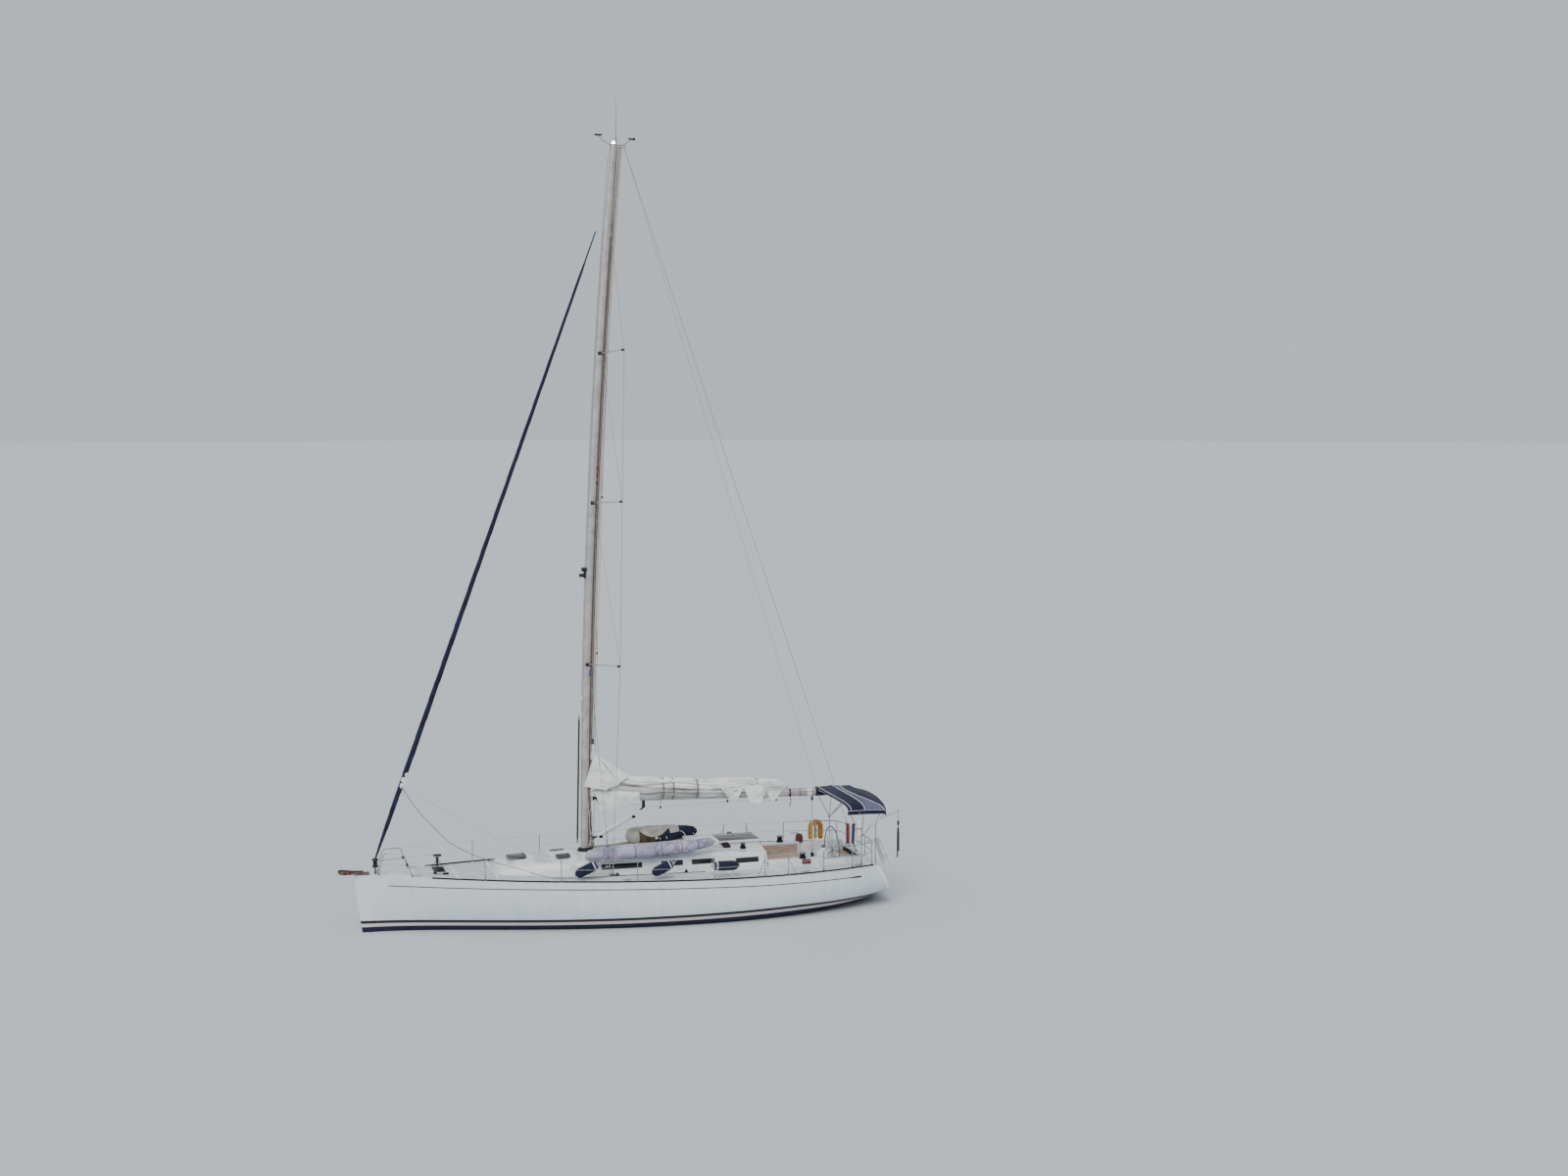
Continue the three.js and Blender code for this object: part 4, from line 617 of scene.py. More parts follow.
# Coachroof
# One moulding with rounded shoulders, four long windows let into each side, and openings for two
# hatches and the way below. Its hatch slides forward on two runners under a fixed hood.

gelcoat_roof = plain_gelcoat("gelcoat_roof_moulded", "#e0e5ea", "#cbd0d3", 0.24)
fair_copy("coachroof", "coachroof_moulding", [gelcoat_roof], "yacht", "deck_gelcoat", ease_mm=10, crease=28)
fair_copy("sea_hood", "hatch_hood", [gelcoat_roof], "yacht", "deck_gelcoat", ease_mm=6)

# Smoked acrylic sheet, cast and polished: near black, very glossy, with a light haze of salt.
smoked_acrylic = mottled("acrylic_smoked_cast", "#14171b", "#262b31", 120, gloss=(0.03, 0.16), Roughness=0.06,
                         IOR=1.49, Transmission_Weight=0.35)
for side_name in ("port", "starboard"):
    fair_copy(f"windows_{side_name}", f"window_panes_{side_name}", [smoked_acrylic], "yacht", "tinted_glass",
              ease_mm=2)
fair_copy("sliding_hatch", "sliding_hatch_sheet", [smoked_acrylic], "sliding_hatch", "tinted_glass",
          ease_mm=4)
fair_copy("washboard", "washboard_sheet", [smoked_acrylic], "yacht", "tinted_glass", ease_mm=3)

# Cockpit
# A moulding with a footwell between two seats, an open space for the wheel and a bench across the
# stern. Teak slats are glued on the seats, the lids and the inner faces of the coamings.

gelcoat_cockpit = plain_gelcoat("gelcoat_cockpit_moulded", "#dde2e6", "#c6ccd0")
for name in ("cockpit", "helm_well", "stern_bench"):
    fair_copy(name, f"{name}_moulding", [gelcoat_cockpit], "yacht", "deck_gelcoat", ease_mm=8)

# Teak left bare goes grey-pink in the sun. Slats with black rubber seams, grain along the boat.
TEAK_PALE = "#cbb8ae"
TEAK_DARK = "#a08878"
SLAT_MM = 50
teak, tree, shader = start_material("teak_bare_slats", Roughness=0.7, IOR=1.45)
grain = uneven(tree, 14, 6.0, stretch=(0.06, 1, 1))
wood = between(tree, grain, linear(TEAK_DARK), linear(TEAK_PALE), 0.3, 0.7)
place = add_node(tree, "ShaderNodeTexCoord")
apart = add_node(tree, "ShaderNodeSeparateXYZ", {"Vector": place.outputs["Object"]})
across = add_node(tree, "ShaderNodeMath", {0: apart.outputs["Y"], 1: apart.outputs["Z"]}, operation="ADD")
slats = add_node(tree, "ShaderNodeMath", {0: across.outputs[0], 1: 1000 / SLAT_MM}, operation="MULTIPLY")
part = add_node(tree, "ShaderNodeMath", {0: slats.outputs[0]}, operation="FRACT")
seam = add_node(tree, "ShaderNodeMath", {0: part.outputs[0], 1: 0.12}, operation="LESS_THAN")
tree.links.new(blended(tree, seam.outputs[0], wood, linear("#26211f")), shader.inputs["Base Color"])
raised(tree, shader, grain, 0.4)

for side_name in ("port", "starboard"):
    fair_copy(f"locker_lid_{side_name}", f"locker_lid_{side_name}_slats", [teak], f"locker_lid_{side_name}",
              "teak", ease_mm=3)


def slab(solids, low, high, ease=0.004, mark=0, turn=None):
    """A block between two opposite corners, with its edges eased. turn moves its points."""
    (x0, y0, z0), (x1, y1, z1) = low, high
    ease = min(ease, (x1 - x0) / 2.5, (y1 - y0) / 2.5, (z1 - z0) / 2.5)
    rings = []
    for z, inset in ((z0, ease), (z0 + ease, 0.0), (z1 - ease, 0.0), (z1, ease)):
        e = ease
        a, b, c, d = x0 + inset, x1 - inset, y0 + inset, y1 - inset
        rings.append([(a + e, c, z), (b - e, c, z), (b, c + e, z), (b, d - e, z),
                      (b - e, d, z), (a + e, d, z), (a, d - e, z), (a, c + e, z)])
    if turn:
        rings = [[tuple(turn(Vector(p))) for p in ring] for ring in rings]
    solids.loft(rings, mark)


SEAT_Z = 1.130
slatted = Solids()


def seat_board(side, x0, x1, y0, y1, z, thick=0.010):
    slab(slatted, (x0, min(side * y0, side * y1), z), (x1, max(side * y0, side * y1), z + thick), 0.003)


for side in (1, -1):
    seat_board(side, -4.445, -4.175, 0.440, 0.960, SEAT_Z)
    seat_board(side, -5.740, -5.475, 0.440, 0.960, SEAT_Z)
    seat_board(side, -5.455, -4.465, 0.440, 0.485, SEAT_Z)
    seat_board(side, -5.455, -4.465, 0.915, 0.960, SEAT_Z)
    seat_board(side, -7.120, -6.830, 0.290, 1.020, SEAT_Z + 0.010)
    seat_board(side, -5.700, -4.250, 0.960, 0.975, SEAT_Z + 0.030, 0.270)
slab(slatted, (-5.70, -0.36, 0.7405), (-4.22, 0.36, 0.752), 0.003)
slab(slatted, (-6.36, -0.95, 0.7405), (-6.02, 0.95, 0.752), 0.003)
slab(slatted, (-6.78, -0.95, 0.7405), (-6.56, 0.95, 0.752), 0.003)
make_piece("cockpit_slats", slatted, [teak], "yacht", "teak", crease=25)

# Cabin inside
# Sole, settees, bulkhead and steps in varnished mahogany ply, seen dimly through the dark windows,
# and the engine under the steps, a cast block in grey enamel.

joinery, tree, shader = start_material("mahogany_ply_varnished", Roughness=0.3, IOR=1.5, Coat_Weight=0.4)
grain = uneven(tree, 22, 5.0, stretch=(0.08, 1, 1))
tree.links.new(between(tree, grain, linear("#5a3320"), linear("#8a5a38")), shader.inputs["Base Color"])
raised(tree, shader, grain, 0.2)
fair_copy("cabin_liner", "cabin_joinery", [joinery], "yacht", "joinery", ease_mm=4)
# Sprayed enamel: an even grey that grease has darkened and made shinier in places.
engine_enamel = mottled("engine_enamel_sprayed", "#5d6468", "#8b9296", 90, 5.0, gloss=(0.3, 0.6),
                        Roughness=0.45, IOR=1.5)
fair_copy("engine_block", "engine_casting", [engine_enamel], "yacht", "engine_paint", ease_mm=14)

# Keel, rudder and drive
# A cast fin with a bulb and a moulded rudder blade, both rolled with navy antifouling; the drive leg
# is a grey painted alloy casting, and its folding propeller is bronze.

# Rolled antifouling: matt, chalky and worn thin in places, with the fine orange peel of a roller.
antifouling = mottled("antifouling_rolled", "#141a30", "#283253", 160, 5.0, relief=(12, 3.0, 0.5),
                      Roughness=0.75, IOR=1.45)
fair_copy("keel", "keel_casting", [antifouling], "yacht", "antifouling", crease=40)
fair_copy("rudder", "rudder_blade", [antifouling], "rudder", "antifouling", crease=40)
# Painted casting: satin grey, with the slight grain of a sand mould below the paint.
drive_paint = mottled("drive_alloy_painted", "#6d7377", "#92989c", 80, relief=(10, 3.0, 0.3), Roughness=0.4,
                      IOR=1.5)
fair_copy("saildrive", "drive_leg", [drive_paint], "yacht", "drive_alloy", crease=40)
# Polished bronze: warm gold where it is clean, dull brown where it has tarnished.
bronze = mottled("bronze_cast_polished", "#8b6a33", "#c59a52", 50, 5.0, gloss=(0.42, 0.22), Metallic=1.0,
                 Roughness=0.3)
fair_copy("propeller", "propeller_bronze", [bronze], "propeller", "bronze", ease_mm=2, crease=40)

# Mast
# An extruded aluminium tube, anodised silver, 265 mm fore and aft and 150 mm wide, drawn in towards
# its head. It leans and bends aft, stands in a cast step and has a groove for the sail behind.

MAST_FOOT_Z = 1.905
MAST_HEAD_Z = 21.340
SPREADERS = [
    ("spreaders_lower", 7.110, 1.490, 0.540, 0.110),
    ("spreaders_middle", 11.595, 1.270, 0.500, 0.090),
    ("spreaders_upper", 15.700, 1.010, 0.400, 0.080),
]


def mast_x(z):
    share = (z - MAST_FOOT_Z) / (MAST_HEAD_Z - MAST_FOOT_Z)
    return 0.830 - 0.200 * share - 0.770 * share * share


def mast_taper(z):
    return 0.62 + 0.38 * min((MAST_HEAD_Z - z) / 2.6, 1.0)


def round_ring(centre, along, across, up, sides=16):
    """Points round an ellipse with two half axes along the directions across and up."""
    return [tuple(Vector(centre) + Vector(across) * math.cos(a) * along[0]
                  + Vector(up) * math.sin(a) * along[1]) for a in (2 * math.pi * k / sides
                                                                   for k in range(sides))]


def anodised(name, pale, dark, roughness=0.38):
    """Anodised aluminium: satin, brushed along its length, with a grey haze of salt."""
    material, tree, shader = start_material(name, Metallic=1.0, Roughness=roughness)
    lines = uneven(tree, 9, 2.0, stretch=(1, 1, 0.02))
    haze = uneven(tree, 300, 4.0)
    tree.links.new(between(tree, haze, linear(dark), linear(pale)), shader.inputs["Base Color"])
    tree.links.new(scaled(tree, haze, roughness + 0.12, roughness - 0.06), shader.inputs["Roughness"])
    raised(tree, shader, lines, 0.1)
    return material


spar_alloy = anodised("aluminium_anodised_satin", "#d5d0ce", "#b9b4b4", 0.5)
# Black cast alloy, also used as painted shade in the mast's sail slot.
black_alloy_and_slot_shade = anodised("aluminium_cast_black_and_slot_shade", "#3a3b3e", "#26272a", 0.45)
MAST_HALF_LENGTH, MAST_HALF_WIDTH = 0.1325, 0.075
mast = Solids()
mast_levels = [1.905, 2.4, 3.2, 4.0, 5.0, 6.0, 7.0, 8.2, 9.5, 10.8, 12.0, 13.2, 14.5, 15.8, 17.0, 18.0, 18.74,
               19.4, 20.0, 20.7, 21.34]
mast.loft([round_ring((mast_x(z), 0, z), (MAST_HALF_LENGTH * mast_taper(z),
                                          MAST_HALF_WIDTH * (0.3 + 0.7 * mast_taper(z))), (1, 0, 0),
                      (0, 1, 0), 28) for z in mast_levels])
# The groove's two lips, and between them a dark strip of painted shade inside the slot.
for y, half, mark in ((0.0, 0.007, 1), (0.0125, 0.0055, 0), (-0.0125, 0.0055, 0)):
    rings = []
    for z in mast_levels[1:]:
        back = mast_x(z) - MAST_HALF_LENGTH * mast_taper(z)
        depth = 0.010 if mark else 0.016
        rings.append([(back + 0.02, y + half, z), (back - depth, y + half, z),
                      (back - depth, y - half, z), (back + 0.02, y - half, z)])
    mast.loft(rings, mark)
step_z = roof_z(0.83, 0)
slab(mast, (0.63, -0.12, step_z + 0.003), (1.02, 0.12, 1.945), 0.012, 1)
head_x = mast_x(MAST_HEAD_Z)
slab(mast, (head_x - 0.33, -0.028, MAST_HEAD_Z - 0.06), (head_x + 0.12, 0.028, MAST_HEAD_Z), 0.008, 0)
for pin_x, pin_z, half in ((0.590, 3.330, 0.034), (0.602, 2.210, 0.030)):
    for side in (1, -1):
        z = pin_z + side * half + (0 if side > 0 else -0.012)
        slab(mast, (pin_x - 0.032, -0.030, z), (mast_x(pin_z) - 0.06, 0.030, z + 0.012), 0.003, 1)
    mast.loft([round_ring((pin_x, 0, pin_z + s * (half + 0.018)), (0.013, 0.013), (1, 0, 0), (0, 1, 0), 14)
               for s in (-1, 1)], 1)
make_piece("mast_tube", mast, [spar_alloy, black_alloy_and_slot_shade], "yacht", "spar_alloy", ["mast"], crease=40)

for name, *_ in SPREADERS:
    fair_copy(name, f"{name}_arms", [spar_alloy], "yacht", "spar_alloy", crease=45)

# Fittings on the mast: a work light on its front, the steaming lamp, the sockets that the spreaders
# are pinned in, and dark caps where the wires pass the spreader tips. Moulded black plastic.
black_plastic = mottled("plastic_black_moulded", "#101113", "#26272b", 60, relief=(4, 2.0, 0.1),
                        Roughness=0.45, IOR=1.46)
white_plastic = mottled("plastic_white_moulded", "#d8d8d2", "#f0f0ec", 60, Roughness=0.35, IOR=1.5)
fittings = Solids()
for _, z, half_span, sweep, rise in SPREADERS:
    x = mast_x(z)
    slab(fittings, (x - 0.10, -0.085, z - 0.05), (x + 0.07, 0.085, z + 0.05), 0.012)
    for side in (1, -1):
        tip = Vector((x - 0.020 - sweep, side * half_span, z + rise))
        slab(fittings, tip - Vector((0.05, 0.022, 0.03)), tip + Vector((0.05, 0.022, 0.03)), 0.010)
light_z = 9.68
light_x = mast_x(light_z) + MAST_HALF_LENGTH
slab(fittings, (light_x - 0.02, -0.03, light_z - 0.17), (light_x + 0.05, 0.03, light_z + 0.02), 0.008)
slab(fittings, (light_x - 0.02, -0.10, light_z + 0.02), (light_x + 0.10, 0.10, light_z + 0.13), 0.012)
slab(fittings, (light_x + 0.02, -0.06, light_z - 0.13), (light_x + 0.17, 0.06, light_z - 0.04), 0.010)
lamp_x = mast_x(6.16) + MAST_HALF_LENGTH
slab(fittings, (lamp_x - 0.01, -0.035, 6.10), (lamp_x + 0.06, 0.035, 6.22), 0.012, 1)
make_piece("mast_fittings", fittings, [black_plastic, white_plastic], "yacht", "black_plastic")

# Masthead
# A plate with the anchor light, lit at dusk, an aerial, and the wind vane and cups on their arms.


def tube_rings(points, radii, sides=10):
    """Rings square to a path through the points."""
    path = [Vector(p) for p in points]
    radii = radii if hasattr(radii, "__len__") else [radii] * len(path)
    first = (path[1] - path[0]).normalized()
    normal = Vector((0, 0, 1)) if abs(first.z) < 0.9 else Vector((1, 0, 0))
    rings = []
    for i, (point, radius) in enumerate(zip(path, radii)):
        ahead, behind = path[min(i + 1, len(path) - 1)], path[max(i - 1, 0)]
        tangent = (ahead - behind).normalized()
        normal = (normal - tangent * normal.dot(tangent)).normalized()
        rings.append(round_ring(point, (radius, radius), normal, tangent.cross(normal), sides))
    return rings


def rounded_path(points, bend, steps=5):
    """The points with their corners taken round in an easy bend."""
    path = [Vector(p) for p in points]
    rounded = [path[0]]
    for before, corner, after in zip(path, path[1:], path[2:]):
        a, b = before - corner, after - corner
        reach = min(bend, a.length * 0.45, b.length * 0.45)
        start, end = corner + a.normalized() * reach, corner + b.normalized() * reach
        for k in range(steps + 1):
            t = k / steps
            rounded.append(start * (1 - t) ** 2 + corner * 2 * t * (1 - t) + end * t * t)
    return rounded + [path[-1]]


def turned(solids, profile, centre, sides=20, mark=0, axis=(0, 0, 1)):
    """A turned form: profile is radius and height, and the height runs along the axis from centre."""
    up = Vector(axis).normalized()
    across = Vector((1, 0, 0)) if abs(up.x) < 0.9 else Vector((0, 1, 0))
    across = (across - up * across.dot(up)).normalized()
    solids.loft([round_ring(Vector(centre) + up * height, (max(radius, 1e-4),) * 2, across,
                            up.cross(across), sides) for radius, height in profile], mark)


lamp_glass, tree, shader = start_material("lamp_lens_lit", Roughness=0.2, Emission_Strength=24.0)
shader.inputs["Emission Color"].default_value = linear("#ffd9a8")
tree.links.new(between(tree, uneven(tree, 20), linear("#fff0d8"), linear("#ffe2b8")),
               shader.inputs["Base Color"])
masthead = Solids()
top_z = MAST_HEAD_Z + 0.002
slab(masthead, (head_x - 0.30, -0.024, top_z), (head_x + 0.11, 0.024, top_z + 0.010), 0.003)
turned(masthead, [(0.045, 0.005), (0.045, 0.025), (0.03, 0.03)], (head_x + 0.01, 0, top_z))
turned(masthead, [(0.030, 0.028), (0.040, 0.035), (0.040, 0.085), (0.022, 0.105), (0.002, 0.108)],
       (head_x + 0.01, 0, top_z), mark=1)
masthead.loft(tube_rings([(head_x - 0.06, 0, top_z + z) for z in (0.005, 0.12, 0.3, 0.7, 1.25)],
                         [0.014, 0.012, 0.006, 0.005, 0.004], 8))
masthead.loft(tube_rings(rounded_path([(head_x + 0.10, 0, top_z + 0.006), (head_x + 0.33, 0, top_z + 0.12),
                                       (head_x + 0.43, 0, top_z + 0.25)], 0.08), 0.008, 8))
slab(masthead, (head_x + 0.33, -0.006, top_z + 0.235), (head_x + 0.54, 0.006, top_z + 0.285), 0.004)
masthead.loft(tube_rings([(head_x - 0.29, 0, top_z + 0.006), (head_x - 0.47, 0, top_z + 0.16)], 0.008, 8))
for k in range(3):
    angle = 2 * math.pi * k / 3 + 0.4
    cup = Vector((head_x - 0.49 + 0.07 * math.cos(angle), 0.07 * math.sin(angle), top_z + 0.18))
    turned(masthead, [(0.002, -0.028), (0.020, -0.018), (0.030, 0.0), (0.002, 0.008)], cup, 12,
           axis=(-math.sin(angle), math.cos(angle), 0))
    masthead.loft(tube_rings([(head_x - 0.49, 0, top_z + 0.175), cup], 0.004, 6))
slab(masthead, (head_x - 0.52, -0.02, top_z + 0.15), (head_x - 0.46, 0.02, top_z + 0.20), 0.01)
slab(masthead, (head_x - 0.60, -0.005, top_z + 0.14), (head_x - 0.52, 0.005, top_z + 0.20), 0.003)
make_piece("masthead_fittings", masthead, [black_plastic, lamp_glass], "yacht", "black_plastic",
           ["masthead_gear"])

# Standing rigging
# Wire of stainless steel, with turnbuckles at the deck. The backstay ends in a tensioner, and the
# headsail's stay runs inside the rolled sail. The CAD wires stay, dressed as laid strand.

# Polished stainless steel: bright, with duller smears of salt.
stainless = mottled("stainless_steel_polished", "#8f9397", "#b9bdc0", 70, 5.0, gloss=(0.3, 0.14),
                    Metallic=1.0, Roughness=0.2)
# Laid wire: its strands wind round it, with painted shade in the grooves between them and paler crowns.
# The real lay is too fine to show, so it is drawn coarser, with a band every 16 mm.
LAY_SCALE = 40.0
wire, tree, shader = start_material("stainless_wire_laid", Metallic=1.0, Roughness=0.42)
place = add_node(tree, "ShaderNodeTexCoord")
lay = add_node(tree, "ShaderNodeTexWave", {"Vector": place.outputs["Object"], "Scale": LAY_SCALE,
                                           "Distortion": 0.5}, bands_direction="DIAGONAL")
tree.links.new(between(tree, lay.outputs["Fac"], linear("#6e7276"), linear("#9a9ea2")),
               shader.inputs["Base Color"])
raised(tree, shader, lay.outputs["Fac"], 0.6)
for name in ("shrouds_port", "shrouds_starboard", "backstay"):
    nodes[name].data.materials.clear()
    nodes[name].data.materials.append(wire)
    nodes[name]["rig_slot"] = "stainless"

CHAINPLATE = Vector((0.330, 1.290, 1.400))
screws = Solids()
for side in (1, -1):
    foot = Vector((CHAINPLATE.x, side * CHAINPLATE.y, CHAINPLATE.z + 0.03))
    x, z = mast_x(7.11) - 0.020 - 0.540 - 0.030, 7.22
    top = Vector((x, side * 1.516, z))
    inner_foot = Vector((CHAINPLATE.x + 0.06, side * (CHAINPLATE.y - 0.025), CHAINPLATE.z + 0.05))
    inner_top = Vector((mast_x(7.11) - 0.06, side * 0.087, 6.95))
    for low_end, high_end in ((foot, top), (inner_foot, inner_top)):
        way = (high_end - low_end).normalized()
        marks = (0.03, 0.05, 0.07, 0.30, 0.32, 0.40)
        sizes = (0.012, 0.012, 0.017, 0.017, 0.010, 0.008)
        screws.loft(tube_rings([low_end + way * m for m in marks], sizes, 10))
back_foot, back_head = Vector((-7.19, 0, 1.33)), Vector((head_x - 0.29, 0, 21.27))
way = (back_head - back_foot).normalized()
screws.loft(tube_rings([back_foot + way * m for m in (0.04, 0.06, 0.10, 0.75, 0.78, 0.86)],
                       (0.012, 0.014, 0.026, 0.026, 0.014, 0.009), 12))
make_piece("turnbuckles", screws, [stainless], "yacht", "stainless")

# Headsail
# Rolled round its stay, with a strip of navy cover cloth outwards. The roll is a spiral, so its edge
# winds up it as a ridge. Its clew ends in white patches where the sheets are tied.

# Woven acrylic canvas: matt navy, faded in broad patches.
# The real weave is too fine to show, so it is drawn coarser, about 14 mm across.
WEAVE_SCALE = 90.0
navy_cloth, tree, shader = start_material("acrylic_canvas_woven_navy", Roughness=0.85, IOR=1.45,
                                          Sheen_Weight=0.05)
faded = uneven(tree, 260, 5.0)
weave = add_node(tree, "ShaderNodeTexMagic", {"Vector": add_node(
    tree, "ShaderNodeTexCoord").outputs["Object"], "Scale": WEAVE_SCALE, "Distortion": 1.0})
tree.links.new(between(tree, faded, linear("#0a0d24"), linear("#171c42")), shader.inputs["Base Color"])
raised(tree, shader, weave.outputs["Fac"], 0.4)
# Black anodised drum with a brown haze of salt and rust round its bearings.
drum_alloy = mottled("aluminium_anodised_black_stained", "#17130f", "#3d2a20", 50, Metallic=0.5,
                     Roughness=0.5)
# Patches of woven polyester: white, stiff and slightly crumpled, with a warm grey soil.
sailcloth = mottled("dacron_woven_white", "#cfcbc4", "#efece6", 420, 5.0, 0.3, 0.6, relief=(40, 4.0, 1.0),
                    Roughness=0.6, IOR=1.5, Sheen_Weight=0.2)
STAY_FOOT = Vector((6.620, 0, 2.042))
STAY_HEAD = Vector((mast_x(19.0) + 0.330, 0, 19.000))
JIB_SIZES = [(0, 0.026), (0.02, 0.040), (0.05, 0.062), (0.10, 0.072), (0.16, 0.078), (0.4, 0.070),
             (0.7, 0.055), (0.93, 0.038), (0.955, 0.022), (1.0, 0.018)]
jib = Solids()
way = (STAY_HEAD - STAY_FOOT).normalized()
across = Vector((0, 1, 0))
fore = across.cross(way)
rings = []
JIB_STEPS = 420
for i in range(JIB_STEPS + 1):
    share = i / JIB_STEPS
    size = float(np.interp(share, [row[0] for row in JIB_SIZES], [row[1] for row in JIB_SIZES]))
    centre = STAY_FOOT.lerp(STAY_HEAD, share)
    ring = []
    for k in range(20):
        angle = 2 * math.pi * k / 20
        turn = (angle - share * 2 * math.pi * 17) % (2 * math.pi)
        ridge = 0.86 + 0.14 * (turn / (2 * math.pi)) ** 0.7
        slack = 0.035 * noise.noise(Vector((share * 60, math.cos(angle) * 1.3, math.sin(angle) * 1.3)))
        radius = size * (ridge + slack)
        ring.append(tuple(centre + (across * math.cos(angle) + fore * math.sin(angle)) * radius))
    rings.append(ring)
jib.loft(rings)
clew = STAY_FOOT.lerp(STAY_HEAD, 0.125)
for up, out, size in ((0.0, 0.080, 0.11), (-0.16, 0.078, 0.09), (0.15, 0.080, 0.07)):
    spot = clew + way * up + across * out * 0.75 - fore * 0.02
    jib.loft([round_ring(spot + across * d, (size * s, size * 0.7 * s), way, fore, 10)
              for d, s in ((-0.03, 1.0), (0.006, 1.0), (0.014, 0.6))], 1)
make_piece("furled_headsail", jib, [navy_cloth, sailcloth], "yacht", "navy_cloth", ["furled_jib"], crease=50)
fair_copy("furler_drum", "furler_drum_shell", [drum_alloy], "yacht", "black_plastic", ease_mm=3, crease=40)

# Whisker pole
# A slim tube of black laminate with a fitting at each end, stowed upright on the mast's front.

# Lacquered carbon laminate: near black and glossy, with its cloth just felt below the lacquer.
pole_laminate = mottled("laminate_carbon_lacquered", "#141518", "#232429", 40, relief=(6, 2.0, 0.1),
                        Roughness=0.3, IOR=1.5, Coat_Weight=0.5)
pole_foot, pole_head = Vector((1.055, 0, 2.080)), Vector((0.970, 0, 5.700))
pole = Solids()
pole.loft(tube_rings([pole_foot.lerp(pole_head, t) for t in (0, 0.01, 0.02, 0.05, 0.95, 0.98, 0.99, 1)],
                     [0.010, 0.016, 0.016, 0.027, 0.027, 0.016, 0.016, 0.010], 16))
make_piece("whisker_pole_tube", pole, [pole_laminate], "yacht", "pole_laminate", ["whisker_pole"])

# Boom
# An anodised tube on a forked hinge at the mast, with cast ends, slides and blocks below it. It
# turns about the hinge with the vang, the sail and the sheet.


def pipe(solids, points, radius, bend=0.0, sides=10, mark=0):
    """A round tube or rope through the points, with its corners bent round."""
    path = rounded_path(points, bend) if bend else points
    solids.loft(tube_rings(path, radius, sides), mark)


GOOSENECK = Vector((0.590, 0, 3.330))


def boom_z(x):
    return GOOSENECK.z - 0.0295 * (GOOSENECK.x - x)


boom = Solids()
boom_rows = [(0.505, 0.72, 1), (0.49, 0.8, 1), (0.40, 0.8, 1), (0.345, 1.0, 1), (0.34, 1.0, 0),
             (-5.93, 1.0, 0), (-5.935, 1.0, 1), (-6.00, 0.97, 1), (-6.02, 0.86, 1)]
for (x0, s0, mark), (x1, s1, _) in zip(boom_rows, boom_rows[1:]):
    boom.loft([round_ring((x, 0, boom_z(x)), (0.060 * s, 0.110 * s), (0, 1, 0), (0, 0, 1), 32)
               for x, s in ((x0, s0), (x1, s1))], mark)
slab(boom, (0.49, -0.020, boom_z(0.55) - 0.030), (0.612, 0.020, boom_z(0.55) + 0.030), 0.008, 1)
for side in (1, -1):
    # A groove's lips along each side, above the middle.
    slab(boom, (-5.90, side * 0.0575 - 0.005, -0.012), (0.30, side * 0.0575 + 0.005, 0.012), 0.002, 0,
         turn=lambda p: Vector((p.x, p.y, p.z + boom_z(p.x) + 0.030)))
slab(boom, (-5.90, -0.014, 0.0), (0.30, 0.014, 0.014), 0.003, 0,
     turn=lambda p: Vector((p.x, p.y, p.z + boom_z(p.x) + 0.106)))
make_piece("boom_tube", boom, [spar_alloy, black_alloy_and_slot_shade], "boom", "spar_alloy", ["boom"], crease=45)

# Vang
# A white lacquered strut with a spring inside, between the mast's foot and the boom, with a black
# end at the top and the purchase of its line along its lower side.

vang_foot, vang_head = Vector((0.562, 0, 2.210)), Vector((-0.840, 0, 2.985))
vang = Solids()
marks = [(0, 0.020, 1), (0.02, 0.027, 1), (0.05, 0.027, 0), (0.50, 0.027, 0), (0.505, 0.021, 0),
         (0.93, 0.020, 0), (0.935, 0.027, 1), (1.0, 0.022, 1)]
for (s0, r0, mark), (s1, r1, _) in zip(marks, marks[1:]):
    vang.loft(tube_rings([vang_foot.lerp(vang_head, s0), vang_foot.lerp(vang_head, s1)], [r0, r1], 18), mark)
slab(vang, (0.555, -0.018, 2.19), (0.625, 0.018, 2.23), 0.006, 1)
slab(vang, (-0.890, -0.012, 2.975), (-0.800, 0.012, 3.047), 0.004, 1)
slab(vang, (-0.885, -0.030, 3.040), (-0.805, 0.030, boom_z(-0.84) - 0.100), 0.006, 1)
# White lacquer on aluminium: smooth and glossy, a little yellowed.
white_lacquer = mottled("aluminium_lacquered_white", "#dcdcd6", "#f2f2ee", 90, Roughness=0.35, IOR=1.5,
                        Coat_Weight=0.3)
# The line's two blocks and its parts.
low_block = vang_foot.lerp(vang_head, 0.13) - Vector((0, 0, 0.085))
high_block = vang_foot.lerp(vang_head, 0.80) - Vector((0, 0, 0.095))
for spot in (low_block, high_block):
    slab(vang, spot - Vector((0.055, 0.018, 0.035)), spot + Vector((0.055, 0.018, 0.035)), 0.016, 1)
    pipe(vang, [spot, spot + Vector((0, 0, 0.085))], 0.007, mark=1)
make_piece("vang_strut", vang, [white_lacquer, black_alloy_and_slot_shade], "boom", "stainless", ["vang"], crease=40)


